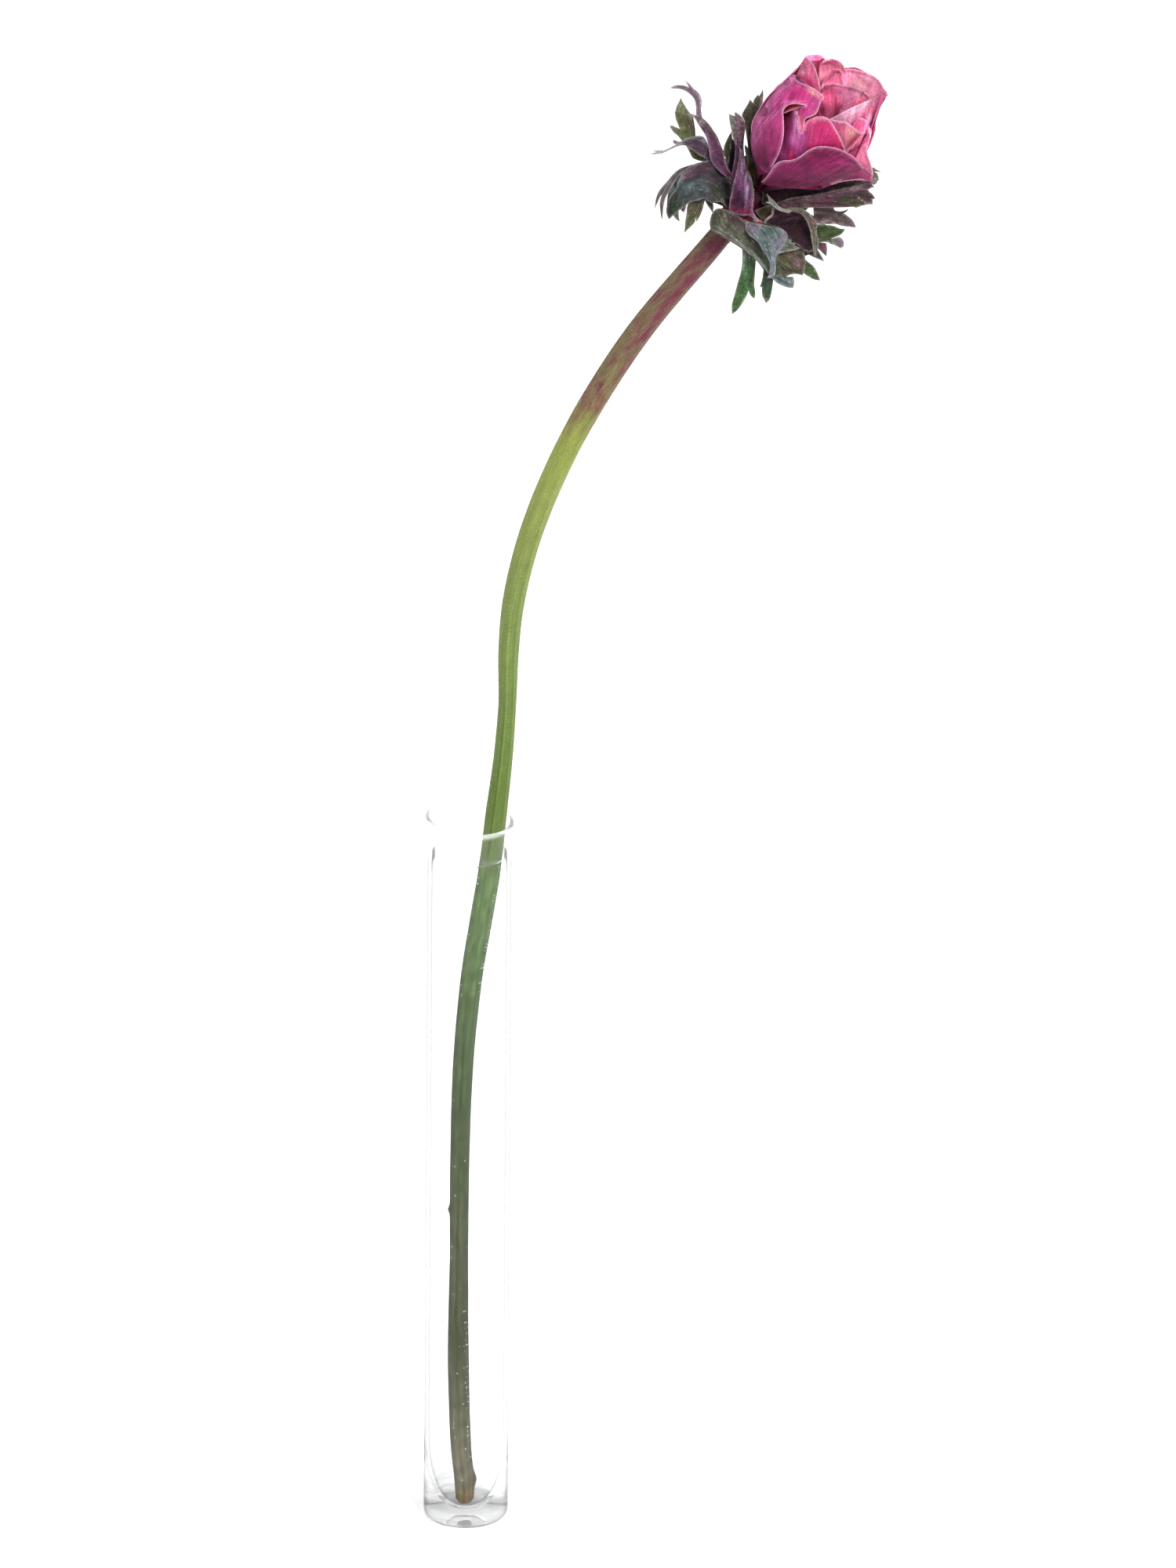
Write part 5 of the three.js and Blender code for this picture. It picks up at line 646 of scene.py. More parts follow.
# Ends of the fronds as they are seen from the front: outline, depth at a few places, midrib, colour, how
# much their margins rise, and marks as for the petals, among them painted shade and painted highlights
LEAF_ENDS = {
    "curl": (
        [(-16.9, 32.2), (-15.6, 31.1), (-14.5, 29.9), (-13.3, 28.9), (-12.6, 27.3), (-12.5, 26),
         (-12.7, 24.7), (-12.4, 22.5), (-11.9, 20), (-13.1, 20.7), (-13.9, 23.2), (-14.1, 25.8),
         (-14.5, 27.3), (-15.5, 28.5), (-16.8, 29.4), (-18.3, 29.9), (-19.8, 30), (-20.8, 30.1),
         (-19.5, 30.8), (-17.9, 30.9), (-16.3, 30.6), (-15.8, 30.3), (-16.4, 31.3)],
        [(-16.9, 32.2, 0.4), (-12.5, 26, 0.2), (-12.4, 22.5, 1.8), (-11.9, 20, 2.6), (-14.1, 25.8, -0.4),
         (-20.8, 30.1, -0.6), (-16.8, 29.4, -0.2), (-17.9, 30.9, -0.4)],
        [(-12.6, 20.3), (-13.3, 24.7), (-13.6, 27.1), (-14.8, 29.1), (-16.9, 32.2)],
        (154, 130, 148), 0.12,
        [(-18, 30.4, 2.2, 0.35, 6, (91, 78, 83), 0.8), (-18.8, 30.6, 1.6, 0.25, 4, (174, 163, 168), 0.6),
         (-15.3, 29.8, 1.6, 0.4, -48, (128, 91, 115), 0.7), (-13.7, 26.4, 1.5, 0.3, -80, (113, 76, 102), 0.7),
         (-12.8, 26.4, 2, 0.25, -86, (206, 187, 202), 0.7),
         (-13.4, 23.7, 1.6, 0.5, -82, (146, 109, 135), 0.6), (-12.5, 21.4, 1, 0.4, -80, (109, 83, 91), 0.7)]),
    "olive": (
        [(-18, 27.8), (-17.3, 26.4), (-16.5, 25.1), (-15.5, 23.7), (-14.8, 23), (-14.5, 21.4), (-14.2, 19.7),
         (-13.9, 17.3), (-12.2, 14.6), (-10.5, 13.2), (-6.5, 9.2), (-4.8, 5.5), (-7.5, 6.8), (-11.6, 11.2),
         (-12.4, 11.3), (-13.6, 11.6), (-14.8, 12.2), (-15.4, 13.2), (-16.3, 14.9), (-17.6, 16.6),
         (-18.8, 18), (-19.7, 18.7), (-20.3, 19.5), (-20.8, 20.4), (-20, 20.5), (-19.2, 20.1), (-18.2, 19.7),
         (-18.6, 20.7), (-19.1, 21.9), (-19.4, 23.1), (-19.5, 24.1), (-19.3, 24.1), (-19.1, 25.1),
         (-18.9, 25.8), (-18.4, 26.6)],
        [(-18, 27.8, -2), (-20.8, 20.4, -1), (-14.8, 23, -0.4), (-18.6, 20.7, -1.2), (-16.3, 14.9, 0),
         (-11.6, 11.2, 1), (-10.5, 13.2, 1.4), (-4.8, 5.5, 0), (-16.3, 21.4, -0.8)],
        [(-11.9, 12.6), (-14.9, 16), (-16.6, 20), (-17.6, 23.7), (-18, 27.8)],
        (121, 124, 87), 0.12,
        [(-16.3, 23.7, 1.2, 0.5, -60, (154, 129, 124), 0.6),
         (-18.3, 24.7, 1.4, 0.5, 80, (139, 144, 109), 0.6),
         (-15.3, 20.7, 1.6, 0.5, -80, (146, 111, 114), 0.55), (-17.3, 20.7, 2, 0.7, -70, (106, 106, 64), 0.6),
         (-19.5, 19.7, 1, 0.6, -35, (129, 124, 114), 0.6), (-14.8, 14.6, 2.2, 0.8, -50, (82, 92, 52), 0.7),
         (-16.3, 18, 1.4, 0.6, -40, (102, 106, 62), 0.6), (-13.2, 12.6, 1.6, 0.6, -30, (92, 102, 74), 0.7),
         (-11.6, 12.2, 1, 0.6, 0, (119, 82, 97), 0.6), (-14.2, 19.3, 2, 0.3, -80, (54, 37, 42), 0.8)]),
    "tails": (
        [(-8.2, 7.5), (-5.8, 4.8), (-4.5, 6.2), (-7.5, 10.2), (-10.3, 13.2), (-10.6, 14.9), (-11.4, 16.8),
         (-12.1, 17.6), (-12.9, 17.8), (-14.3, 17.7), (-15.6, 17.4), (-16.8, 17), (-17.6, 16.4),
         (-18.5, 16.3), (-19.2, 16.6), (-19.9, 16.7), (-19.8, 16), (-19.2, 15.5), (-20.3, 14.9), (-22, 14.1),
         (-23.4, 14), (-24.9, 13.9), (-24.3, 13.5), (-25.9, 12.9), (-24.4, 13), (-22.7, 13.2), (-21, 14),
         (-19, 14.9), (-17.6, 15.3), (-16.6, 15.2), (-15.9, 14.7), (-14.5, 13.9), (-13.2, 12.9),
         (-11.8, 12.2), (-10.3, 10.9)],
        [(-5.8, 4.8, 1.5), (-8.2, 7.5, 2), (-10.5, 12.6, 4), (-11.4, 16.8, 5.4), (-14.3, 17.7, 6.2),
         (-17.6, 16.4, 6), (-19.9, 16.7, 5.4), (-22, 14.1, 6), (-24.9, 13.9, 6), (-25.9, 12.9, 6),
         (-16.6, 15.2, 5.6), (-13.2, 12.9, 4.4), (-14.6, 16, 5.2)],
        [(-10.5, 13.2), (-12.9, 15.6), (-16.3, 16.1), (-19, 15.3), (-22.4, 13.7), (-25.9, 12.9)],
        (93, 78, 91), 0.12,
        [(-14.6, 17.3, 2.4, 0.3, 6, (148, 150, 154), 0.8), (-12.9, 16.6, 1.6, 0.5, -20, (113, 93, 109), 0.6),
         (-13.2, 14.6, 2, 0.8, -25, (76, 50, 70), 0.8), (-11.6, 13.9, 1, 1, -60, (106, 65, 96), 0.7),
         (-16.3, 15.9, 1.4, 0.3, 6, (65, 52, 63), 0.7), (-22, 13.9, 3.4, 0.5, 24, (198, 191, 198), 0.95),
         (-24.4, 13.4, 2.4, 0.5, 16, (191, 187, 196), 0.95), (-19.5, 16.2, 0.6, 0.4, -20, (91, 83, 106), 0.8),
         (-18.7, 15.5, 1, 0.3, 12, (187, 174, 185), 0.8), (-11.9, 16, 0.9, 0.3, -50, (163, 141, 163), 0.5),
         (-15.3, 14.3, 1.6, 0.3, -35, (126, 104, 120), 0.5)]),
    "longleaf": (
        [(-16.4, 23.3), (-15.3, 23.5), (-14.5, 23.3), (-13.3, 23), (-11.8, 22), (-10.5, 20.7), (-9.5, 19.3),
         (-8.4, 17.6), (-7.6, 15.6), (-6.9, 13.8), (-6.4, 11.6), (-5.7, 9.7), (-4.5, 7.8), (-3.4, 5.8),
         (-4.8, 5.1), (-6.2, 7.2), (-7.5, 8.3), (-8.9, 9.7), (-10.1, 11.4), (-10.5, 13.2), (-10.7, 14.9),
         (-11.1, 16.6), (-11.6, 18), (-12.2, 18.9), (-13, 20.1), (-13.7, 21.2), (-14, 21.8), (-14.6, 22.6),
         (-15.5, 22.9)],
        [(-16.4, 23.3, 3.2), (-14.5, 23.1, 3.6), (-13.3, 23, 3.4), (-9.5, 19.3, 3.4), (-7.6, 15.6, 3.8),
         (-6.4, 11.6, 4.2), (-3.4, 5.8, 3.6), (-4.8, 5.1, 4.4), (-7.5, 8.3, 5.2), (-10.1, 11.4, 5.4),
         (-10.7, 14.9, 5), (-11.6, 18, 4.6), (-13.7, 21.2, 4)],
        [(-4.3, 5.8), (-7.5, 11.2), (-9.2, 16), (-11.2, 20), (-14.5, 23.1)],
        (108, 64, 94), 0.2,
        [(-12.2, 21.4, 1.6, 0.5, -38, (100, 110, 94), 0.9),
         (-10.2, 19.3, 1.8, 0.55, -50, (96, 104, 89), 0.85), (-8.5, 16.6, 1.6, 0.45, -65, (94, 85, 85), 0.7),
         (-14.8, 23.2, 1.3, 0.35, -8, (162, 160, 152), 0.8),
         (-12.9, 20.9, 1, 0.35, -55, (144, 135, 141), 0.8), (-11.6, 18.7, 1.4, 0.25, -62, (64, 39, 58), 0.8),
         (-10.8, 16, 2.6, 0.3, -80, (179, 152, 177), 0.85), (-9.5, 13.9, 2.6, 0.6, -66, (129, 85, 117), 0.7),
         (-7.5, 12.6, 2.4, 0.4, -66, (85, 44, 73), 0.7), (-7, 9.9, 1.8, 0.6, -55, (96, 54, 81), 0.6),
         (-6.5, 11.2, 1.4, 0.3, -75, (137, 106, 135), 0.6), (-5.5, 7.8, 1.4, 0.7, -55, (89, 33, 62), 0.8),
         (-8.5, 10.5, 1.4, 0.4, -50, (135, 89, 125), 0.6)]),
    # A near black sheet that paints the shade in the gap between the fronds.
    "gap": (
        [(-4.8, 17.6), (-4, 16.4), (-3.6, 15.1), (-2.6, 14.3), (-2.3, 12.6), (-2.6, 9.9), (-3.1, 6.8),
         (-4.5, 4.5), (-6.2, 6.5), (-6.2, 9.4), (-5.7, 11.6), (-5.3, 14.6)],
        [(-4.5, 17.3, 0.4), (-2.6, 14.3, 1), (-3.1, 6.8, 2), (-5.6, 9.4, 1.6), (-4.5, 4.5, 3)],
        [(-4.5, 5.1), (-3.8, 16)],
        (42, 19, 40), 0.12,
        [(-4.8, 9.9, 1, 0.5, 60, (81, 42, 71), 0.7), (-3.1, 11.2, 1, 0.3, 80, (67, 33, 60), 0.6),
         (-4.1, 7.2, 1.4, 0.8, 60, (87, 35, 67), 0.7)]),
    "narrow": (
        [(-4.8, 19.1), (-4.6, 17.3), (-4.6, 14.6), (-4.8, 11.9), (-5.1, 10.5), (-5.6, 9.3), (-5.9, 9.9),
         (-6.2, 11.2), (-6.5, 12.9), (-6.8, 14.3), (-6.7, 15.3), (-6.2, 16.6), (-5.5, 18)],
        [(-4.8, 19.1, -2.2), (-4.6, 14.6, -1.2), (-5.6, 9.3, 0.6), (-6.8, 14.3, -1.6)],
        [(-5.6, 9.5), (-5.5, 13.9), (-4.8, 19.1)],
        (109, 109, 79), 0.12,
        [(-5.1, 16, 1.6, 0.3, 86, (117, 121, 88), 0.7), (-5.7, 13.2, 1.4, 0.35, -80, (117, 88, 96), 0.7),
         (-4.9, 13.2, 2.2, 0.2, 86, (198, 190, 171), 0.9), (-6.2, 16, 0.9, 0.3, 60, (88, 92, 63), 0.6),
         (-5.7, 10.7, 0.8, 0.4, -70, (100, 77, 88), 0.6)]),
    "middleleft": (
        [(-5.6, 23.6), (-4.7, 23.2), (-4, 23), (-4.1, 23.6), (-3.9, 24.1), (-2.8, 23.3), (-2, 22.5),
         (-1.5, 21.4), (-1.1, 20.3), (-1.4, 18.8), (-1.6, 17.3), (-1.7, 15.3), (-1.5, 12.6), (-1.2, 5.8),
         (-2.3, 4.8), (-2.2, 11.2), (-2.5, 13.8), (-3.6, 15.3), (-4.1, 16.3), (-4.5, 17.6), (-4.8, 19),
         (-5.1, 20.3), (-5.4, 21.7)],
        [(-5.6, 23.6, 3.2), (-3.9, 24.1, 3.8), (-1.1, 20.3, 2.8), (-1.6, 17.3, 2.8), (-2.8, 13.2, 2.4),
         (-4.8, 19, 3), (-1.4, 5.1, 2), (-3.1, 19.7, 3.6)],
        [(-2.6, 13.9), (-3.1, 18.7), (-3.9, 22), (-4.3, 23.1)],
        (142, 110, 126), 0.12,
        [(-4.6, 21.4, 1.4, 0.6, -70, (114, 128, 100), 0.9), (-4.8, 22.7, 0.7, 0.4, -40, (121, 138, 110), 0.9),
         (-3.4, 23.4, 0.8, 0.3, -45, (121, 121, 110), 0.8), (-4, 19, 1.4, 0.45, -75, (126, 131, 107), 0.7),
         (-2.8, 20.7, 1.6, 0.3, -70, (165, 117, 144), 0.8),
         (-1.5, 19.7, 1.4, 0.25, -85, (175, 149, 161), 0.8), (-2.4, 17.3, 1.6, 0.5, -85, (151, 98, 131), 0.7),
         (-3.8, 15.6, 0.9, 0.35, -80, (205, 186, 198), 0.8),
         (-2.1, 21.7, 0.9, 0.3, -55, (147, 131, 135), 0.6), (-3.1, 16, 1, 0.3, -80, (112, 61, 93), 0.6)]),
    "farright": (
        [(-0.1, 27.4), (0.4, 26.9), (0.8, 26.5), (0.8, 27.2), (1.9, 28.7), (2.2, 28.3), (2.7, 29.1),
         (3.2, 30.3), (3.3, 28.5), (3.1, 26.4), (2.8, 24.7), (2.3, 23.1), (1.6, 20.7), (1.3, 18), (1.3, 14.6),
         (1.5, 11.2), (2, 9.2), (1.6, 6.8), (0.6, 5.8), (-0.6, 6.8), (-1, 8.5), (-0.6, 10.7), (-0.5, 12.9),
         (-0.7, 16), (-1.1, 18.7), (-1.2, 20.3), (-1.6, 22), (-2.2, 23.3), (-1.6, 24.7), (-0.8, 26)],
        [(-0.1, 27.4, -5), (3.2, 30.3, -6.2), (1.9, 28.7, -5.8), (2.3, 23.1, -5.4), (1.3, 18, -5),
         (-2.2, 23.3, -4), (-0.7, 16, -3.6), (-0.6, 6.8, -2), (2, 9.2, -3)],
        [(0.3, 6.5), (0.1, 13.2), (0.3, 19.7), (1.1, 24.7), (2.3, 28.5)],
        (100, 94, 77), 0.12,
        [(-0.1, 24.7, 1.4, 0.5, 70, (112, 108, 91), 0.8), (1.8, 26.8, 1.4, 0.3, 70, (116, 106, 92), 0.7),
         (2.7, 26.8, 2, 0.35, 80, (169, 144, 156), 0.9), (0.6, 22, 2, 0.7, 80, (92, 77, 69), 0.7),
         (1.6, 22.7, 1.6, 0.4, 75, (135, 100, 112), 0.7), (-1.1, 23.4, 1, 0.4, 60, (114, 112, 96), 0.6),
         (0.1, 19, 1.6, 1, 85, (75, 64, 46), 0.85), (0.3, 14.6, 3, 0.9, 88, (64, 56, 29), 0.95),
         (-0.6, 11.6, 2, 0.25, 80, (154, 142, 116), 0.9), (0.4, 9.2, 1.6, 1, 80, (117, 98, 40), 0.95),
         (0.3, 7.2, 1, 0.6, 60, (100, 81, 42), 0.8), (1.1, 16, 2.6, 0.3, 88, (46, 39, 25), 0.8)]),
    "lowtip": (
        [(-15.3, 1.1), (-16.1, -0.3), (-16.3, -2.3), (-16.6, -4.3), (-16.8, -7.2), (-15.3, -5.7),
         (-14.1, -4.4), (-13.9, -3.4), (-13.7, -4.4), (-12.9, -3), (-12.2, -1.4), (-11.6, 1.1), (-11.2, 3.1),
         (-13.6, 3.4)],
        [(-16.8, -7.2, 4.6), (-13.7, -4.4, 4.4), (-11.6, 1.1, 5), (-15.3, 1.1, 5)],
        [(-13.2, 2.4), (-14.6, -2), (-16.8, -7)],
        (102, 104, 71), 0.12,
        [(-13.9, -0.6, 1.6, 0.5, 70, (108, 81, 89), 0.8), (-15.3, -0.9, 1.4, 0.4, 75, (92, 81, 75), 0.7),
         (-16, -4.7, 1.2, 0.5, 60, (116, 119, 81), 0.7), (-12.6, -0.9, 1.2, 0.35, 70, (81, 60, 67), 0.8),
         (-14.8, -3.3, 1, 0.3, 60, (85, 89, 58), 0.6), (-13.2, 1.1, 1.6, 0.8, 0, (58, 50, 52), 0.8)]),
    "darktip": (
        [(-11.6, 2.4), (-11.4, 0.9), (-10.5, -0.6), (-9.5, -2), (-9.3, -0.3), (-9.5, 0.7), (-8.9, 2.4)],
        [(-11.6, 2.4, 4.4), (-9.5, -2, 4), (-8.9, 2.4, 4.4)],
        [(-10.2, 2.1), (-9.5, -1.8)],
        (62, 64, 62), 0.12,
        [(-9.9, 0.1, 0.8, 0.3, -60, (92, 89, 92), 0.7), (-10.5, 1.1, 0.9, 0.4, -50, (46, 44, 44), 0.7)]),
    "greytip": (
        [(-19.7, -1.6), (-19.5, -3), (-18.8, -3.8), (-18, -4.2), (-18.2, -3), (-18.3, -1.6)],
        [(-19.7, -1.6, 5), (-18, -4.2, 5), (-18.3, -1.6, 5.2)],
        [(-19, -1.8), (-18, -4.2)],
        (116, 119, 108), 0.12,
        [(-18.8, -3, 0.6, 0.3, -50, (81, 85, 73), 0.7)]),
    "pinktip": (
        [(-17.8, -0.6), (-17.6, -1.5), (-16.9, -2), (-16.5, -0.9), (-16.3, 0.1)],
        [(-17.8, -0.6, 5), (-16.9, -2, 5), (-16.3, 0.1, 5)],
        [(-17.1, -0.3), (-16.9, -1.9)],
        (121, 96, 100), 0.12,
        []),
    "upperlong": (
        [(1.6, 2.1), (6, 3.9), (10.8, 4.3), (15.1, 4.3), (18.5, 4.5), (21.9, 5.2), (25.3, 6), (28.7, 6.3),
         (31, 6.4), (32.5, 6.7), (33.5, 7.4), (33.1, 6.8), (32, 6.2), (30, 5.5), (27.3, 4.9), (25.3, 4.4),
         (22.6, 3.7), (18.5, 3), (15.1, 2.1), (11.8, 1.7), (8.4, 1.4), (3.7, 1.1)],
        [(1.6, 2.1, -2), (15.1, 4.3, -1.4), (25.3, 6, 0), (33.5, 7.4, 1.5), (15.1, 2.1, -1.2),
         (27.3, 4.9, 0.2), (3.7, 1.1, -1)],
        [(2.3, 1.7), (15.1, 3.3), (25.3, 5.2), (33.4, 7.4)],
        (50, 42, 40), 0.12,
        [(7.7, 2.6, 2.6, 1, 10, (60, 39, 44), 0.8), (16.5, 3.8, 2.6, 0.5, 4, (37, 35, 33), 0.9),
         (21.2, 4.1, 0.9, 0.35, -6, (179, 33, 81), 0.95), (23.9, 5, 2.4, 0.4, 12, (56, 56, 42), 0.8),
         (27, 5.6, 2.2, 0.3, 12, (67, 64, 54), 0.7), (10.8, 2.9, 1.6, 0.4, 10, (89, 60, 71), 0.7),
         (32, 6.4, 1.4, 0.4, 24, (116, 121, 112), 0.8), (12.4, 2.4, 1.6, 0.3, 8, (81, 69, 62), 0.7)]),
    "longright": (
        [(6, 0.4), (10.8, 2), (15.1, 2.6), (18.5, 3.2), (21.9, 4), (25.3, 4.7), (27.3, 5.2), (30, 5.7),
         (31.2, 5.8), (32, 4.7), (31.3, 4.7), (30.4, 4.1), (30.8, 3.6), (31.6, 2.9), (32.2, 1.9), (31.5, 1.7),
         (31.6, 0.4), (30.8, 0.4), (30, 0.3), (28.7, 0), (27.3, -0.5), (26.6, -0.3), (24.6, -0.4),
         (21.9, -0.5), (19.5, -0.5), (16.5, -0.5), (13.8, -0.7), (9.4, -1.3)],
        [(6, 0.4, 7), (15.1, 2.6, 9.2), (25.3, 4.7, 10.8), (32, 4.7, 11.4), (31.6, 0.4, 11.2),
         (24.6, -0.4, 10.8), (16.5, -0.5, 9.6), (9.4, -1.3, 8), (18.5, 1.1, 10.2), (28, 2.4, 11.6)],
        [(8.4, -0.3), (16.8, 0.9), (23.9, 1.7), (32, 2.1)],
        (93, 64, 74), 0.16,
        [(15.8, 1.7, 2.6, 0.5, 8, (110, 83, 91), 0.8), (21.9, 2.9, 3, 0.5, 14, (131, 93, 112), 0.85),
         (27.3, 4.5, 2.4, 0.6, 14, (129, 103, 115), 0.9), (30.4, 5.3, 1.2, 0.3, 8, (105, 78, 90), 0.8),
         (11.1, 0.7, 2, 0.5, 10, (96, 79, 76), 0.7), (13.8, 0.4, 2.4, 0.4, 2, (103, 91, 79), 0.6),
         (17.9, 0.4, 2.4, 0.6, 0, (95, 47, 69), 0.8), (21.2, 0.7, 1.4, 0.6, 0, (83, 45, 57), 0.8),
         (19.9, 1.7, 1.4, 0.4, 10, (129, 62, 90), 0.7), (23.9, 1.3, 2, 0.7, 8, (64, 81, 40), 0.9),
         (27, 0.7, 1.8, 0.6, -10, (72, 96, 41), 0.95), (25.3, 2.4, 2, 0.5, 10, (72, 67, 52), 0.8),
         (28.7, 2.9, 1.6, 0.7, 6, (67, 64, 50), 0.9), (30.4, 2.6, 1.2, 0.7, 0, (84, 79, 71), 0.8),
         (29, 1.3, 1.7, 0.12, -38, (177, 174, 146), 0.95), (29.7, 3.3, 1.2, 0.2, -20, (57, 50, 43), 0.7),
         (26.3, -0.3, 0.8, 0.2, 0, (146, 145, 121), 0.8), (30.7, 0.9, 0.8, 0.3, 10, (96, 102, 79), 0.7),
         (22.9, -0.3, 2, 0.2, 0, (60, 38, 45), 0.7)]),
    "rightpale": (
        [(16.2, 0.7), (19.2, 0.4), (21.4, -0.2), (21.9, -1.1), (23.6, -1.3), (25.5, -0.7), (25, -1.3),
         (24.2, -1.9), (25.3, -2.6), (26.5, -3.7), (27.4, -5.5), (25.5, -5.3), (23.7, -5.1), (21.9, -4.6),
         (20.2, -4.7), (18.5, -4.5), (16.5, -4)],
        [(16.5, -0.6, 7), (25.5, -0.7, 4.6), (27.4, -5.5, 4.4), (16.5, -4, 5.4), (21.9, -3, 5.2)],
        [(16.8, -2.6), (21.2, -3), (24.3, -3.8), (27.3, -5.5)],
        (115, 97, 98), 0.12,
        [(18.5, -2.6, 1.6, 0.7, 0, (71, 48, 54), 0.8), (20.6, -2, 1.6, 0.3, -10, (132, 104, 117), 0.8),
         (23.6, -1.3, 1.4, 0.25, 4, (89, 72, 82), 0.8), (22.9, -2.8, 2, 0.25, -22, (163, 149, 149), 0.8),
         (21.6, -3.8, 1.4, 0.25, -10, (89, 72, 78), 0.8), (24.6, -3.8, 2, 0.3, -36, (97, 97, 78), 0.9),
         (23.6, -4.7, 1.2, 0.2, -14, (152, 139, 139), 0.7), (26, -4.3, 1, 0.3, -50, (121, 104, 108), 0.7),
         (19.9, -4, 1, 0.2, 0, (152, 136, 136), 0.8), (19.2, -1.3, 1.4, 0.3, 0, (89, 56, 69), 0.7)]),
    "rightgreen": (
        [(15.1, -5.3), (17.2, -4.7), (19.9, -4.9), (21.6, -5.1), (23, -5.7), (24.6, -5.9), (24, -6.8),
         (23.2, -7.5), (22.1, -8), (21.2, -8.4), (21.8, -9.4), (20.9, -9.5), (19.5, -9.3), (17.9, -9.5),
         (15.8, -9.7)],
        [(15.1, -5.3, 5.6), (24.6, -5.9, 4.2), (17.9, -9.5, 5), (19.9, -4.9, 5)],
        [(15.8, -7.4), (19.9, -7), (24.6, -5.9)],
        (75, 96, 54), 0.12,
        [(18.5, -8.4, 1.4, 0.5, 0, (92, 79, 75), 0.8), (18.2, -5.7, 1.6, 0.5, -6, (60, 64, 46), 0.8),
         (21.9, -6.3, 1.8, 0.4, 10, (89, 117, 58), 0.8), (20.9, -7.7, 1.2, 0.3, 25, (69, 85, 52), 0.7),
         (19.9, -6.3, 1.2, 0.25, 0, (96, 89, 67), 0.6), (16.5, -7.4, 1, 1.2, 0, (52, 37, 42), 0.8),
         (19.9, -8.9, 1.2, 0.3, 0, (106, 100, 89), 0.7)]),
    "rightround": (
        [(20.6, -8.7), (21.9, -8.2), (23, -7.9), (23.9, -8.5), (24.3, -9.7), (24, -10.6), (23.4, -10.9),
         (22.4, -10.3), (21.4, -9.9), (20.6, -9.7)],
        [(20.6, -8.7, 4.2), (24.3, -9.7, 3.6), (22.4, -10.3, 3.8)],
        [(20.7, -9.2), (23.6, -9.6)],
        (142, 129, 141), 0.12,
        [(21.9, -8.9, 0.9, 0.35, 10, (108, 123, 89), 0.9), (23.4, -9.1, 0.7, 0.4, -50, (156, 137, 154), 0.8),
         (22.9, -10.1, 0.8, 0.25, -20, (116, 100, 108), 0.7),
         (21.6, -9.7, 0.7, 0.2, -20, (183, 179, 169), 0.7)]),
    "rightpurple": (
        [(17.2, -9.4), (19.7, -9.5), (20, -11.1), (19.8, -13), (18.5, -11.8), (17.4, -10.7)],
        [(17.2, -9.4, 4.2), (19.8, -13, 3.8), (19.7, -9.5, 4.2)],
        [(18.2, -9.7), (19.7, -12.8)],
        (117, 85, 94), 0.12,
        [(19, -11.1, 0.9, 0.3, -70, (150, 116, 127), 0.7), (19.5, -12.1, 0.6, 0.2, -70, (92, 56, 69), 0.7),
         (18.2, -10.2, 0.7, 0.3, -40, (87, 60, 67), 0.7)]),
    "rightdark": (
        [(13.8, -9.7), (15.1, -9.4), (17.2, -10.9), (18.5, -12.8), (19.3, -14.3), (17.2, -13.5),
         (15.5, -12.7), (13.8, -11.8)],
        [(13.8, -9.7, 5.2), (19.3, -14.3, 4.6), (15.5, -12.7, 5)],
        [(14.5, -10.6), (19.2, -14.3)],
        (75, 77, 67), 0.12,
        [(15.8, -11.4, 1.4, 0.5, -36, (89, 71, 75), 0.7), (18.2, -13.1, 0.9, 0.3, -40, (92, 106, 96), 0.8),
         (17.2, -11.8, 0.8, 0.2, -50, (58, 62, 52), 0.7), (14.8, -10.4, 0.9, 0.9, 0, (62, 42, 48), 0.8)]),
    "downgreen": (
        [(13.4, -13.1), (14.1, -13.6), (15.2, -14.5), (16.5, -15.5), (17.5, -17.2), (18.3, -19.2),
         (16.5, -18.9), (15, -18.1), (14, -17.4), (14.1, -15.8)],
        [(13.4, -13.1, 5), (18.3, -19.2, 4.2), (14, -17.4, 4.6)],
        [(14, -14.5), (18.2, -19.1)],
        (81, 102, 62), 0.12,
        [(15.8, -16.5, 1.5, 0.3, -50, (94, 119, 71), 0.8), (17, -17.8, 1, 0.3, -55, (69, 89, 56), 0.7),
         (14.6, -16.2, 1, 0.3, -60, (69, 87, 56), 0.8), (13.8, -13.3, 0.7, 0.2, -30, (39, 48, 39), 0.9),
         (16.5, -16.2, 1, 0.15, -55, (125, 135, 112), 0.6)]),
    "folds": (
        [(6.4, -11.8), (9.4, -11.3), (11.8, -10.7), (13.8, -11.1), (14.5, -14.5), (14.2, -16.5),
         (13.7, -17.9), (12.4, -17.6), (10.8, -17.7), (9.4, -18.2), (7.7, -18.1), (6.5, -18.5), (6.2, -15.8)],
        [(6.4, -12.8, 7.4), (13.8, -12, 6.4), (13.7, -17.9, 5.4), (6.5, -18.5, 6.8), (10.1, -15.1, 7)],
        [(7, -13.1), (9.7, -15.1), (13.5, -17.8)],
        (94, 90, 67), 0.12,
        [(9.1, -14.1, 2, 1, -20, (87, 94, 60), 0.8), (12.4, -14.5, 1.2, 1.2, 0, (145, 108, 119), 0.95),
         (13.1, -13.1, 0.9, 0.4, -40, (63, 47, 51), 0.8), (13.8, -15.8, 0.7, 0.4, 80, (119, 90, 99), 0.7),
         (9.4, -13.1, 2.2, 0.25, 12, (136, 74, 83), 0.7), (9.7, -16.5, 1.8, 0.35, -20, (47, 52, 42), 0.9),
         (12.4, -17.2, 1.2, 0.3, -40, (45, 56, 45), 0.9), (6.9, -15.8, 0.3, 2.4, 0, (63, 72, 67), 0.8),
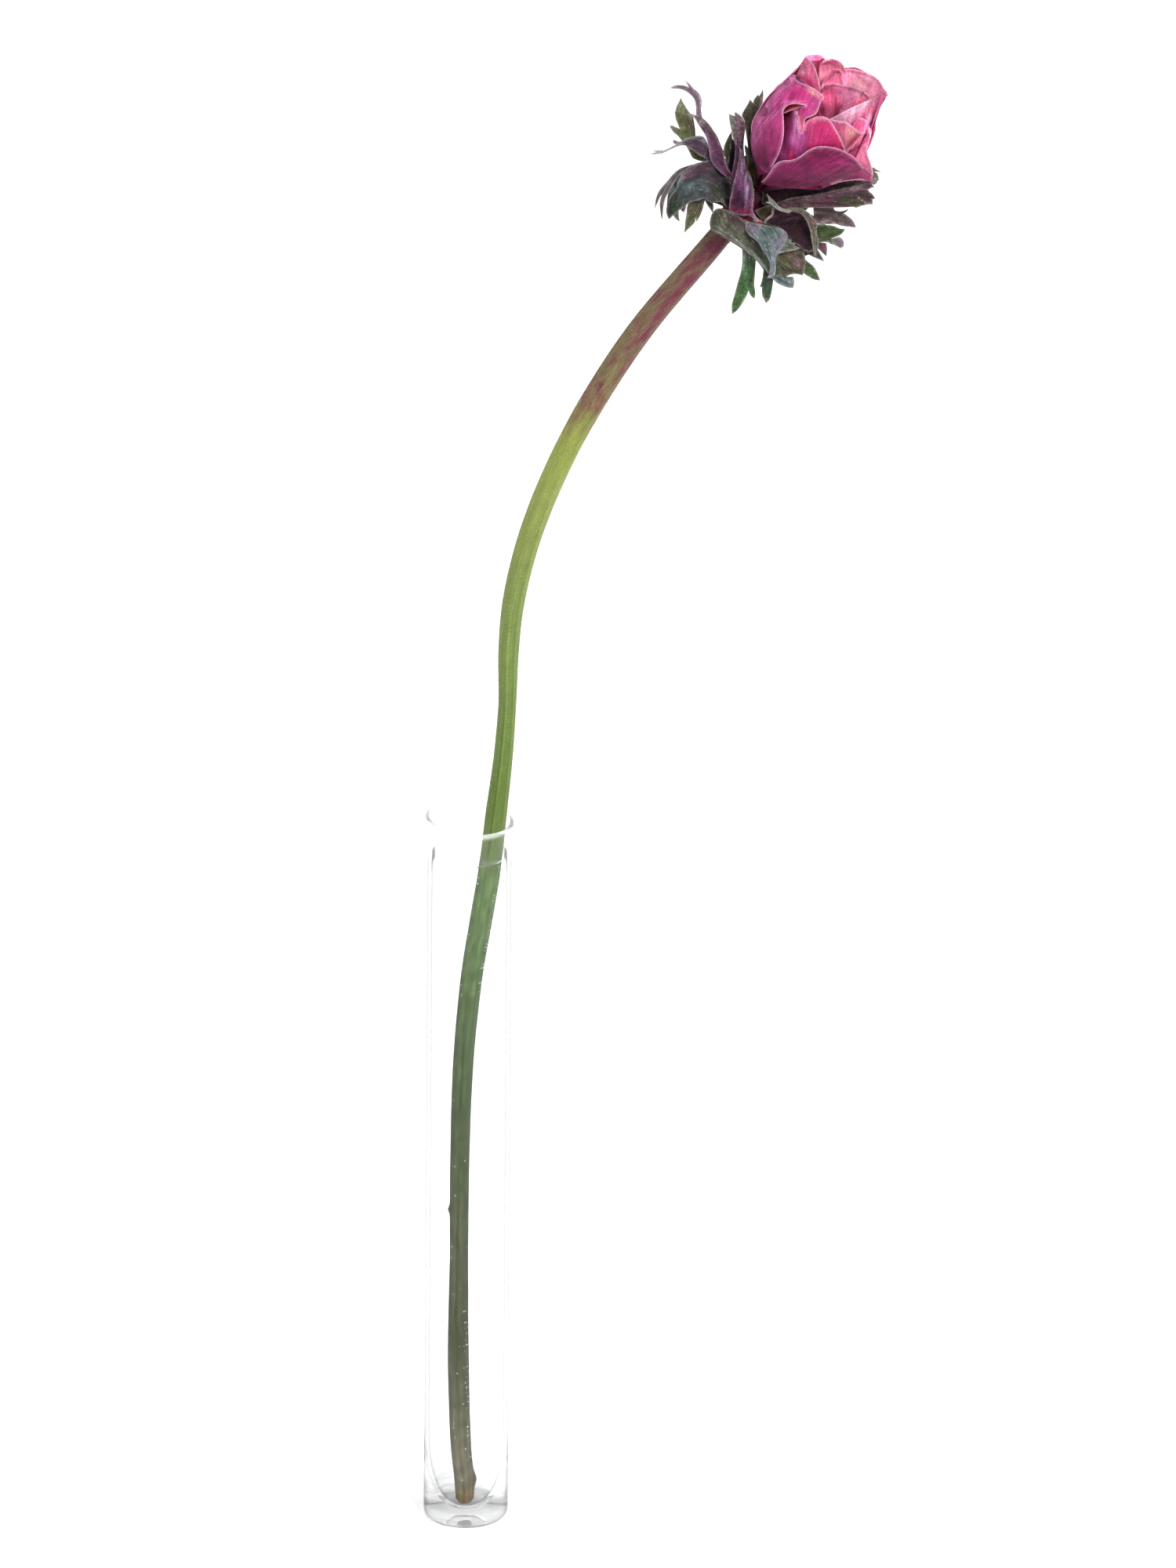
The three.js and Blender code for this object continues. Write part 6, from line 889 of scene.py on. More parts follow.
         (7.9, -16.5, 1.6, 0.3, -75, (126, 136, 126), 0.7), (8.6, -15.1, 1.4, 0.2, -60, (119, 121, 90), 0.6),
         (10.8, -13.1, 1, 0.3, 10, (136, 126, 112), 0.6)]),
    "ridged": (
        [(5.6, -18.6), (6.7, -18), (8.4, -17.9), (9.7, -18.2), (11.2, -18.2), (11.6, -19.5), (11.3, -21.2),
         (10.1, -21.1), (8.5, -20.6), (7.1, -19.9)],
        [(5.6, -18.6, 6.8), (11.2, -18.2, 6.2), (11.3, -21.2, 6), (7.1, -19.9, 6.4)],
        [(6, -18.5), (11.1, -20.4)],
        (119, 133, 133), 0.12,
        [(7.7, -18.9, 1.6, 0.2, -30, (67, 75, 67), 0.9), (9.1, -19.7, 1.8, 0.2, -26, (89, 96, 92), 0.8),
         (9.7, -18.9, 1.2, 0.2, -10, (144, 154, 154), 0.7),
         (10.8, -20.4, 0.8, 0.5, -50, (150, 146, 162), 0.9),
         (8.4, -18.5, 0.9, 0.12, -60, (198, 202, 193), 0.8),
         (10.1, -20.7, 1.2, 0.2, -10, (131, 129, 144), 0.7)]),
    "bottomtwo": (
        [(3.7, -15.1), (3.5, -17.5), (3.2, -19.4), (2.7, -20.9), (3.2, -21), (3.3, -22.9), (3.7, -24),
         (4.3, -25.2), (5.3, -24), (5.8, -21.9), (6.1, -19.4), (6, -17.2), (5.7, -15.8)],
        [(3.7, -15.1, 6), (2.7, -20.9, 5.2), (4.3, -25.2, 4.8), (6.1, -19.4, 5.6)],
        [(5, -16.2), (4.6, -20.9), (4.3, -25.1)],
        (63, 86, 65), 0.12,
        [(4.7, -19.9, 1.8, 0.3, 85, (92, 111, 95), 0.8), (3.7, -21.6, 1.4, 0.3, 80, (55, 80, 57), 0.7),
         (5.4, -20.9, 1.8, 0.25, 85, (51, 69, 53), 0.8), (4.4, -24.3, 0.6, 0.5, 0, (156, 154, 153), 0.9),
         (4.5, -18.2, 0.8, 0.9, 0, (86, 84, 80), 0.8), (5, -18.5, 0.5, 0.2, 30, (181, 172, 177), 0.8)]),
    "bottomone": (
        [(-2, -9.7), (-1.9, -12.4), (-1.9, -15.1), (-2.3, -17.5), (-3, -19.9), (-3.6, -22.2), (-4.4, -25.3),
         (-4.5, -27), (-4.3, -28), (-3.1, -27), (-1.8, -25.3), (-0.7, -23.3), (-0.2, -22), (0.4, -23.2),
         (1.3, -24), (1.6, -22.9), (1.3, -20.5), (1.4, -18.2), (1.6, -15.1), (1.8, -12.4), (2, -9.7)],
        [(-2, -9.7, 6.6), (-4.3, -28, 4.2), (1.3, -24, 4.6), (2, -9.7, 6.4), (-1.1, -18.2, 5)],
        [(-0.1, -10.4), (-0.2, -16.5), (-1.4, -20.9), (-4.1, -27.3)],
        (78, 109, 68), 0.12,
        [(-1.2, -12.4, 2.4, 0.55, 88, (139, 152, 141), 0.9),
         (-1.4, -16.5, 1.6, 0.4, 85, (113, 137, 113), 0.7), (0.4, -13.8, 2.4, 0.3, 88, (86, 109, 90), 0.8),
         (1.1, -16.5, 2.6, 0.3, 88, (59, 84, 57), 0.9), (-0.1, -13.1, 2.6, 0.12, 88, (166, 172, 166), 0.7),
         (-0.7, -18.5, 2, 0.5, 75, (82, 117, 72), 0.7), (0.8, -20.5, 1.8, 0.3, 85, (66, 98, 61), 0.7),
         (-3.1, -24.6, 2, 0.5, 62, (82, 113, 70), 0.7), (-3.4, -22.2, 1.2, 0.15, 72, (156, 172, 156), 0.7),
         (-1.8, -21.9, 1.8, 0.5, 65, (70, 106, 59), 0.6), (-0.1, -10.1, 1.6, 1, 0, (70, 80, 68), 0.8)]),
    "fartips": (
        [(25.3, 8.5), (30, 9.9), (31.7, 10.1), (32.7, 9.5), (33.9, 9.1), (32.7, 9), (32, 9.1), (32.7, 8.5),
         (33.1, 7.4), (32.7, 6.2), (32, 5.6), (31, 5.8), (28.7, 5.5), (24.6, 5.5)],
        [(25.3, 7.8, -2), (30, 9.9, -2.4), (33.9, 9.1, -2.6), (32, 5.6, -0.4), (33.1, 7.4, -1)],
        [(30.4, 9.2), (33.7, 9.1)],
        (116, 123, 108), 0.12,
        [(32.4, 9.4, 1, 0.3, -20, (85, 100, 71), 0.9), (32.4, 7.2, 0.5, 1.2, 0, (169, 171, 164), 0.8),
         (31.4, 9.5, 0.8, 0.4, 0, (83, 67, 77), 0.8), (31.7, 6.2, 0.8, 0.3, 0, (189, 189, 193), 0.8)]),
    "sheetend": (
        [(6, -8.4), (7.7, -6.3), (9.1, -6.8), (9.7, -7.7), (9.9, -8.6), (10.8, -8.9), (10.5, -9.4),
         (11.8, -9.7), (11.5, -10.2), (13, -10.9), (11.8, -11.4), (9.4, -11.9), (6.7, -12.6), (6.2, -11.1)],
        [(6, -8.4, 9.6), (9.9, -8.6, 8.8), (13, -10.9, 8.2), (6.7, -12.6, 9)],
        [(6.4, -10.4), (9.4, -10.1), (12.8, -10.9)],
        (119, 129, 119), 0.12,
        [(7.9, -9.7, 1, 2, -20, (173, 160, 181), 0.9), (9.4, -7.7, 0.6, 0.6, -40, (154, 158, 173), 0.8),
         (7, -12.1, 1.2, 0.3, 10, (198, 144, 169), 0.85), (10.8, -10.6, 1.2, 0.4, -15, (116, 119, 96), 0.8),
         (11.1, -11.3, 1.6, 0.2, 8, (164, 100, 116), 0.8), (12.6, -10.9, 0.5, 0.3, 0, (189, 141, 144), 0.8),
         (9.2, -9.4, 0.8, 0.3, -20, (108, 116, 100), 0.7)]),
    "patch": (
        [(1.3, -1.3), (3.3, -0.4), (6.2, 0.4), (6, -0.9), (5.9, -2.1), (5, -3), (3.7, -3.8), (2.5, -3.1)],
        [(1.3, -1.3, 5), (6, -0.9, 5.6), (3.7, -3.8, 5.8)],
        [(2.5, -2.3), (6, -0.6)],
        (96, 89, 64), 0.12,
        [(2.6, -2, 1, 0.4, 20, (108, 100, 71), 0.7), (5, -0.9, 1, 0.5, 20, (89, 73, 58), 0.7),
         (3.3, -3.1, 1, 0.4, -20, (116, 81, 69), 0.8), (2, -1.4, 0.8, 0.4, 0, (92, 48, 54), 0.8)]),
    "junction": (
        [(-0.1, -0.9), (0.7, -1.5), (1.3, -2.5), (2.1, -3.4), (3.3, -4.1), (3.8, -4.7), (2.8, -5.3),
         (1.6, -4.6), (0.8, -3.5), (0.3, -2.3)],
        [(-0.1, -0.9, 7.6), (3.8, -4.7, 7.8), (1.6, -4.5, 8.2)],
        [(0.3, -1.3), (1.3, -3.3), (3.3, -5.1)],
        (144, 67, 83), 0.12,
        [(2, -3.1, 1, 0.35, -40, (198, 67, 81), 0.9), (1.3, -4, 0.7, 0.3, -60, (164, 106, 125), 0.8),
         (3, -4.7, 0.7, 0.3, -40, (169, 92, 89), 0.8), (0.3, -1.6, 0.6, 0.3, -60, (169, 106, 144), 0.9)]),
    # A dark sheet that paints the shade between the bud's foot and the ruff.
    "plum_shade": (
        [(-1.1, 3.8), (-0.1, 5.1), (3.7, 6.2), (6.4, 4.5), (9.7, 2.4), (8.4, 0.4), (6, -0.6), (2, -2),
         (-0.1, -2.3), (-1.1, 0.4)],
        [(-1.1, 3.8, 0), (-0.1, -2.3, 3), (9.7, 2.4, -1.5), (3.7, 6.2, -1), (6, -0.6, 2)],
        [(-0.1, -1.3), (5, 3.8)],
        (61, 20, 37), 0.12,
        [(1.3, 0.4, 2, 0.5, 70, (88, 14, 48), 0.8), (2.6, 1.8, 1.6, 0.4, 45, (78, 20, 48), 0.7),
         (6, 2.8, 2, 0.6, 20, (56, 34, 37), 0.8), (6.7, 0.7, 2, 0.4, 10, (73, 44, 56), 0.8),
         (1, 3.8, 1.2, 0.5, 60, (82, 20, 53), 0.7), (4, 0.1, 1.6, 0.4, 20, (88, 44, 51), 0.6)]),
    "arch": (
        [(-10.2, 11.6), (-11.9, 11.3), (-13.6, 10.7), (-15.1, 10.1), (-16.5, 9.3), (-17.4, 8.3), (-17.8, 7.8),
         (-18.3, 6.8), (-18.8, 5.8), (-18.9, 4.6), (-19.5, 3.6), (-20.3, 2.6), (-21, 1.4), (-21.3, 0.1),
         (-21.5, -1.5), (-21.3, -2.7), (-20.8, -3.7), (-19.5, -2.6), (-18.2, -1.5), (-16.6, -0.3),
         (-15.3, 0.7), (-13.6, 1.1), (-11.9, 1.6), (-10.8, 1.1), (-9.9, 0.5), (-8.5, 0.7), (-7.3, 0.8),
         (-6.7, 0.1), (-5.5, -0.9), (-3.4, 1.1), (-3.8, 4.5), (-5.1, 7.2), (-7.2, 9.9), (-9.2, 11.2)],
        [(-10.2, 11.6, 4.2), (-13.6, 10.7, 5.8), (-17, 8.5, 7.2), (-12.9, 6.2, 9.2), (-16.3, 4.5, 9.2),
         (-19.7, 1.8, 8.4), (-20.8, -3.7, 6.8), (-15.3, 0.7, 7), (-11.9, 1.6, 6.4), (-7.5, 0.8, 5),
         (-5.1, 4.5, 3.6), (-7.5, 9.2, 3.6), (-10.2, 6.2, 7.8), (-3.4, 1.1, 4)],
        [(-4.8, 1.8), (-8.9, 6.2), (-13.6, 7.8), (-17.3, 5.8), (-19.7, 2.4), (-20.8, -3)],
        (81, 79, 81), 0.12,
        [(-12.2, 9.9, 3.2, 0.5, 22, (93, 53, 76), 0.85), (-15.3, 8.9, 2.4, 0.5, 30, (116, 76, 98), 0.9),
         (-12.9, 8.2, 3, 0.6, 16, (86, 55, 78), 0.85), (-16.6, 7.3, 1.8, 0.7, 30, (124, 83, 106), 0.85),
         # The pale thin mark at the left is a painted highlight line.
         (-14.8, 6.8, 2, 0.4, 20, (76, 70, 79), 0.8), (-17.8, 6.7, 1.6, 0.35, 52, (141, 151, 156), 0.85),
         (-18.5, 5.1, 1.2, 0.4, 64, (124, 137, 139), 0.8), (-15.3, 5.1, 3, 1, 8, (93, 108, 109), 0.9),
         (-13.6, 3.4, 2.2, 0.9, 10, (86, 104, 101), 0.9), (-17.6, 3.4, 1.6, 0.8, 40, (79, 96, 91), 0.9),
         (-16.3, 2.1, 2, 0.5, 24, (55, 76, 63), 0.85), (-19.7, 0.7, 1.8, 0.9, 56, (51, 70, 48), 0.95),
         (-20.3, -1.6, 1.6, 0.8, 64, (43, 61, 38), 0.95), (-18.3, -0.3, 1.6, 0.5, 40, (58, 79, 61), 0.8),
         (-19.2, 2.4, 0.8, 0.4, 40, (50, 61, 45), 0.8), (-11.6, 4.8, 1.8, 1, 0, (98, 106, 106), 0.8),
         (-9.5, 6.5, 1.6, 1, -30, (91, 58, 79), 0.85), (-8.9, 3.8, 1.3, 1.3, 0, (73, 83, 58), 0.9),
         (-10.5, 2.4, 1, 0.5, -20, (116, 99, 109), 0.7), (-7.5, 2.4, 1.2, 0.8, -20, (68, 65, 46), 0.85),
         # The near black marks by the root are painted shade in the recess between the fronds.
         (-6.2, 5.1, 1.2, 2.2, 20, (36, 26, 30), 0.95), (-7.8, 8.2, 1.4, 0.8, -50, (50, 28, 41), 0.9),
         (-10.2, 10.2, 1.6, 0.6, 30, (91, 50, 78), 0.8), (-5.5, 0.7, 1, 1, 0, (83, 25, 41), 0.85),
         (-6.5, 7.8, 0.6, 1.4, 20, (40, 22, 35), 0.9), (-17, 5.8, 0.8, 0.2, 30, (53, 70, 70), 0.8),
         (-21, -2.6, 0.6, 0.3, 70, (91, 58, 66), 0.7)]),
    "upright": (
        [(-3.3, 15.7), (-2.8, 14.9), (-2.2, 14.2), (-1.6, 12.7), (-1.4, 11.2), (-1.1, 9.6), (-0.3, 8.2),
         (0.5, 6.3), (0.9, 4.3), (1, 1.8), (0.8, -0.3), (0.9, -1.8), (1.6, -3.2), (2.6, -4.3), (1.5, -4.1),
         (0.3, -2.7), (-1.4, -2.7), (-3.4, -2.4), (-5.4, -1.3), (-5.2, 1.1), (-4.7, 3.4), (-4.3, 5.8),
         (-3.6, 8.2), (-3.2, 10.5), (-2.8, 12.7), (-2.8, 14.2)],
        [(-3.3, 15.7, 6), (-2.2, 14.2, 7), (-1.1, 9.6, 9), (1, 1.8, 10), (-1.8, 4.5, 10.2), (-4.7, 3.4, 8),
         (-5.4, -1.3, 6.6), (-1.4, -2.3, 8), (1.6, -3.2, 9.4), (2.6, -4.3, 9.2), (-3.1, 10.5, 8)],
        [(-2.8, -2.3), (-2.1, 1.1), (-1.8, 5.1), (-2, 9.9), (-2.5, 13.2)],
        (109, 61, 96), 0.3,
        # The first mark, a pale lilac streak, is a painted highlight.
        [(-0.8, 3.1, 2.6, 0.55, 86, (178, 152, 192), 0.9), (-1.2, 6.2, 1.2, 0.2, 80, (198, 173, 198), 0.9),
         (-1, 7.8, 0.8, 0.2, 60, (205, 188, 198), 0.8), (0, 6.5, 1.6, 0.3, -64, (140, 134, 121), 0.9),
         (0.6, 3.8, 1.6, 0.25, -84, (146, 134, 121), 0.8), (-2.8, 4.5, 3, 0.35, 80, (127, 79, 121), 0.7),
         (-3.7, 4.5, 3, 0.5, 78, (73, 31, 61), 0.85), (-3.1, 7.8, 2.4, 0.4, 80, (140, 96, 136), 0.8),
         (-2, 11.2, 1.6, 0.4, -84, (150, 111, 146), 0.85), (-2.6, 12.9, 1.2, 0.3, -80, (163, 136, 167), 0.8),
         (-1.8, 13.9, 0.5, 0.25, -50, (205, 178, 198), 0.8), (-1.6, 5.8, 2.6, 0.3, 84, (117, 65, 109), 0.7),
         (-4.1, 1.1, 2, 1, 70, (100, 27, 65), 0.85), (-2, -0.3, 1.6, 0.8, 70, (52, 19, 42), 0.95),
         (-3.1, 1.9, 1.8, 0.9, 80, (46, 17, 40), 0.95), (-2.1, 8.9, 1.6, 0.35, 86, (175, 134, 165), 0.85),
         (-0.7, 0.1, 1.4, 0.5, 80, (144, 73, 115), 0.7), (0.4, 0.7, 2.4, 0.22, 88, (184, 109, 146), 0.85),
         (-4.5, -1.3, 1.4, 0.7, 20, (127, 19, 58), 0.9), (-1.4, -1.6, 1.4, 0.6, -10, (134, 21, 61), 0.9),
         (1.1, -2.6, 0.9, 0.3, -60, (205, 94, 136), 0.9), (-0.1, 2.4, 1.8, 0.3, 86, (100, 54, 90), 0.8),
         (2.1, -3.9, 0.6, 0.3, -50, (215, 100, 115), 0.9)]),
    "fold": (
        [(-8, -0.8), (-9, -1.2), (-9.8, -2.3), (-10.2, -3.7), (-10.3, -5), (-9.9, -6.3), (-8.5, -7),
         (-6.8, -7.8), (-4.8, -9), (-2.8, -10.3), (-1.2, -11.5), (0.3, -12.8), (1.6, -14.1), (3, -15.5),
         (4.2, -16.8), (5.1, -17.9), (6, -18.5), (6, -17.2), (5.3, -15.5), (4.3, -13.5), (3.5, -11.4),
         (2.9, -9.4), (2.5, -7.4), (2.1, -5.7), (0.6, -4.5), (-1.4, -3.7), (-3.1, -2.7), (-4.8, -1.8),
         (-6.5, -1)],
        [(-8, -0.8, 5.8), (-10.2, -4, 4.8), (-7.5, -4, 9), (-4.8, -6, 10.4), (-6.8, -7.8, 8),
         (-2.8, -10.3, 8.8), (1.6, -14.1, 9), (6, -18.5, 8.6), (3.5, -11.4, 9.8), (0.6, -4.5, 8),
         (-3.1, -2.7, 7)],
        [(-6.5, -1.3), (-7.5, -3.3), (-6.8, -5.7), (-3.4, -8.4), (-0.1, -11.4), (5, -17.5)],
        (98, 98, 80), 0.12,
        [(-7.5, -1.8, 1.4, 0.4, -60, (96, 76, 62), 0.9), (-8.9, -2.6, 1, 0.5, 60, (84, 78, 66), 0.8),
         (-9.5, -4.7, 1.2, 0.5, 80, (104, 110, 92), 0.85), (-7.5, -3.3, 1.6, 0.25, -66, (150, 150, 134), 0.8),
         (-6.2, -3.3, 1.8, 0.25, -70, (160, 152, 140), 0.75), (-4.8, -3.3, 1.2, 0.9, -30, (84, 44, 58), 0.85),
         (-2.8, -4, 1.6, 0.6, -28, (110, 66, 84), 0.85), (-0.7, -4.7, 1.2, 0.4, -30, (150, 116, 136), 0.8),
         (-8.2, -5.7, 1.8, 0.3, -24, (140, 146, 132), 0.8), (-6.2, -7, 2.4, 0.25, -32, (170, 174, 168), 0.85),
         (-6.8, -5.7, 2, 0.4, -40, (112, 112, 88), 0.8), (-4.1, -8.7, 2.4, 0.3, -32, (120, 126, 112), 0.8),
         (-2.1, -10.1, 2.4, 0.25, -38, (176, 182, 180), 0.85), (-4.8, -6, 2.2, 0.4, -44, (92, 90, 64), 0.85),
         (-3.1, -7, 2.2, 0.25, -46, (160, 158, 144), 0.7), (-2.4, -6, 1.8, 0.6, -44, (118, 94, 100), 0.8),
         (-0.7, -7, 1.6, 0.5, -50, (98, 84, 80), 0.8), (-1.4, -8.7, 2.4, 0.35, -46, (78, 84, 62), 0.9),
         (0.6, -10.7, 3, 0.45, -50, (112, 118, 106), 0.8), (2.3, -12.4, 3.4, 0.6, -54, (52, 64, 48), 0.95),
         (3.3, -14.8, 2.4, 0.4, -54, (64, 76, 60), 0.9), (1.3, -12.8, 3, 0.25, -48, (172, 178, 174), 0.8),
         (3, -14.8, 2.4, 0.2, -48, (160, 166, 160), 0.75), (1.6, -9.1, 1.6, 0.5, -60, (60, 62, 54), 0.9),
         (4.7, -16.8, 1, 0.3, -50, (130, 120, 140), 0.8), (0.6, -6.4, 1, 0.6, -50, (150, 120, 140), 0.7)]),
    "sheet": (
        [(-1.1, -4.7), (-0.1, -4.3), (1.6, -4.7), (3.2, -4.9), (5, -5.3), (6.7, -5.7), (8.4, -6.2),
         (9.4, -7.1), (9.7, -8.1), (9.3, -9.2), (8.5, -10.6), (7.7, -11.6), (7, -12.8), (6.6, -14.5),
         (6.8, -16.2), (6.5, -17.6), (5.8, -18.5), (5, -18.7), (4.4, -18.6), (5, -17.9), (5.2, -16.8),
         (5.3, -15.8), (5, -14.3), (4.2, -12.8), (3.2, -11.4), (2.4, -9.9), (1.3, -8.8), (-0.1, -7.7),
         (-1.1, -6.3)],
        [(-1.1, -4.7, 8.6), (3.3, -5, 10.8), (8.4, -6.2, 10.6), (9.7, -8.1, 10), (5, -8.4, 12.2),
         (7, -12.8, 11.2), (1.6, -7.7, 11.4), (5.3, -15.8, 10.8), (4.4, -18.6, 9.8), (3.2, -11.4, 11.2),
         (6.5, -17.6, 10)],
        [(0.3, -5), (3, -7), (4.7, -10.4), (5.9, -14.5), (5.4, -18.2)],
        (116, 128, 130), 0.2,
        [(0.3, -6, 1.6, 0.8, -34, (158, 139, 160), 0.9), (2.1, -6.3, 0.8, 0.7, 0, (132, 139, 149), 0.85),
         (1.3, -7.7, 1.2, 0.3, -46, (143, 133, 149), 0.8), (3.7, -5.6, 0.9, 0.25, 70, (88, 92, 82), 0.8),
         (5, -6.3, 1.5, 0.6, -10, (93, 116, 97), 0.85), (6.7, -6.9, 1.2, 0.4, -20, (107, 128, 112), 0.8),
         (8.1, -8.7, 1.6, 0.8, 70, (170, 156, 181), 0.9), (8.9, -7.4, 0.8, 0.4, -40, (153, 151, 168), 0.85),
         (5, -9.4, 1.6, 0.8, -60, (120, 133, 135), 0.8), (6.4, -10.4, 1.6, 0.5, 60, (139, 141, 156), 0.8),
         (3.3, -9.7, 1.6, 0.4, -56, (107, 122, 120), 0.8), (4.3, -12.1, 1.8, 0.35, -60, (95, 111, 112), 0.8),
         (6, -13.8, 1.8, 0.5, 88, (145, 156, 166), 0.85), (6, -16.5, 1.6, 0.4, 86, (156, 153, 173), 0.85),
         (5, -13.8, 1.4, 0.25, -70, (103, 118, 118), 0.8), (6.5, -15.1, 1.2, 0.2, 88, (86, 105, 105), 0.8),
         (4.9, -18.4, 0.6, 0.3, 20, (187, 177, 194), 0.9), (2.6, -5.3, 0.6, 0.3, 0, (170, 114, 133), 0.8),
         (4, -7.7, 1, 0.3, -60, (101, 124, 112), 0.7), (7.4, -11.6, 0.9, 0.2, 50, (177, 164, 187), 0.8),
         (-0.4, -5, 0.7, 0.4, 0, (133, 80, 99), 0.85)]),
    "cave": (
        [(6, -0.5), (8.4, -0.9), (10.8, -1.1), (13.1, -1.1), (14.9, -2.5), (16, -4.7), (16.8, -7),
         (16.9, -9.1), (16.5, -11.1), (15.5, -12), (13.8, -11.4), (12.4, -10.2), (10.8, -9.1), (9.4, -7.4),
         (8.1, -6.3), (6.4, -5.5), (3.7, -4.7), (4.5, -3.5), (5.6, -2.6), (5.9, -1.6)],
        [(6, -0.5, 8), (13.1, -1.1, 8.2), (3.7, -4.7, 8.6), (9.7, -4, 6), (13.8, -5.3, 5.6), (16.8, -7, 7.4),
         (15.5, -12, 7.6), (9.4, -7.4, 8), (5.6, -2.6, 8.2), (11.1, -2.3, 7)],
        [(4.3, -4.7), (8.4, -3.6), (12.4, -3.3), (15.1, -4.3)],
        (59, 32, 44), 0.12,
        [(6, -2.3, 1, 0.5, 60, (76, 40, 67), 0.85), (7.7, -2.3, 1.8, 0.5, 14, (89, 52, 71), 0.85),
         (10.4, -2.1, 2, 0.3, 6, (103, 73, 86), 0.85), (12.4, -2.3, 1.6, 0.3, 0, (87, 57, 70), 0.8),
         (8.4, -3.6, 2.6, 0.35, 12, (68, 35, 55), 0.85), (10.8, -3.3, 2.4, 0.3, 14, (98, 67, 82), 0.85),
         (13.1, -3, 1.6, 0.3, 0, (94, 63, 76), 0.8), (6.7, -4.3, 1.6, 0.4, 6, (51, 19, 38), 0.9),
         # The near black band of marks is painted shade deep in the leaf's concave middle.
         (9.4, -4.7, 2, 0.3, 10, (41, 16, 30), 0.9), (12.8, -4.3, 2, 0.35, 10, (22, 11, 19), 0.95),
         (15.1, -4.3, 1, 0.6, -60, (48, 29, 36), 0.85), (11.1, -5.7, 2.4, 0.5, 6, (67, 33, 41), 0.85),
         (13.8, -6.3, 1.8, 0.7, 0, (73, 35, 48), 0.85), (11.8, -7.4, 2.2, 0.4, 0, (62, 36, 38), 0.85),
         (13.1, -8.4, 1.8, 0.3, 0, (52, 41, 35), 0.85), (15.1, -8.4, 1.2, 0.9, -70, (43, 30, 32), 0.85),
         (10.4, -7.9, 1.4, 0.4, -30, (48, 40, 32), 0.85), (14.8, -10.4, 1.2, 0.6, 0, (40, 35, 35), 0.85),
         (15.5, -6.3, 0.5, 1.4, 10, (32, 21, 25), 0.9), (9.7, -1.3, 1.4, 0.2, 0, (111, 89, 98), 0.8)]),
    "ridge": (
        [(9.7, -0.6), (11.8, -0.5), (13.8, -1), (15.4, -2), (16.5, -3.5), (17.3, -4.7), (17.2, -6.3),
         (17.6, -8.4), (17.7, -10.1), (17.4, -11.4), (17.1, -13), (16.5, -12.5), (16.2, -10.7), (15.9, -8.9),
         (15.6, -7), (15.1, -5.3), (14.6, -4), (14, -3), (13.1, -2.2), (11.4, -1.6), (9.7, -1.3)],
        [(9.7, -0.6, 9.6), (13.8, -1, 10), (16.5, -3.5, 9.8), (17.6, -8.4, 9.2), (17.1, -13, 8.2),
         (15.1, -5.3, 9.6)],
        [(10.1, -0.9), (13.8, -1.6), (15.8, -4), (16.7, -7.7), (17, -12.4)],
        (99, 92, 81), 0.35,
        [(12.4, -1, 2, 0.2, -6, (132, 122, 117), 0.85), (14.5, -2, 1.2, 0.3, -46, (120, 108, 108), 0.85),
         (15.8, -2.6, 0.6, 0.3, -40, (168, 79, 102), 0.9), (16.5, -4.3, 0.5, 0.35, 0, (173, 74, 88), 0.9),
         (15.7, -4.7, 1.2, 0.25, -62, (113, 106, 85), 0.8), (16.8, -6.3, 1.2, 0.3, -84, (92, 88, 62), 0.85),
         (16.5, -8.4, 1.4, 0.25, -80, (129, 125, 99), 0.8), (17.2, -9.7, 1.4, 0.3, 88, (85, 88, 71), 0.85),
         (16.7, -11.1, 1, 0.2, -80, (141, 138, 129), 0.8),
         (17.1, -12.4, 0.5, 0.25, -70, (168, 162, 147), 0.85),
         (15.1, -3.6, 0.8, 0.2, -60, (141, 132, 129), 0.7)]),
    "wisp": (
        [(4.2, 3), (4.9, 2.3), (5.8, 1.6), (6.6, 0.7), (7.4, -0.2), (8.5, -0.8), (9.7, -1), (10.9, -1.3),
         (10.1, -1.9), (8.7, -1.7), (7.3, -1.2), (6.2, -0.4), (5.2, 0.3), (4, 0.7), (4.9, 1), (4.7, 1.8)],
        [(4.2, 3, 10.4), (7.4, -0.2, 10.6), (10.9, -1.3, 10), (4, 0.7, 10.6), (7.3, -1.2, 10.6)],
        [(4.3, 2.8), (6, 0.7), (8.4, -1.1), (10.4, -1.5)],
        (131, 133, 123), 0.35,
        [(5, 2, 0.9, 0.2, -44, (169, 173, 164), 0.85), (6.4, 0.2, 1, 0.25, -46, (116, 119, 106), 0.85),
         (5.3, 0.7, 0.7, 0.2, -10, (144, 125, 139), 0.8), (8.4, -1.2, 1.2, 0.2, -14, (146, 129, 137), 0.85),
         (9.7, -1.4, 0.7, 0.2, 0, (164, 125, 135), 0.8), (7.4, -0.8, 0.9, 0.15, -36, (179, 179, 171), 0.8)]),
    "cavelip": (
        [(5.9, -0.3), (6.3, -0.6), (6.2, -1.7), (5.9, -2.7), (5, -3.5), (4.2, -4.1), (3.7, -4.7), (3.5, -4.5),
         (3.9, -3.8), (4.7, -3), (5.5, -2.3), (5.7, -1.3)],
        [(5.9, -0.3, 9), (5.9, -2.7, 9.2), (3.7, -4.7, 9.4)],
        [(6, -0.6), (5.8, -2.3), (3.7, -4.5)],
        (154, 125, 135), 0.2,
        [(6, -1.3, 1, 0.2, 84, (125, 87, 116), 0.8), (5, -3.1, 0.8, 0.15, 40, (183, 144, 154), 0.8),
         (3.9, -4.3, 0.4, 0.2, 40, (193, 125, 135), 0.8)]),
    "under": (
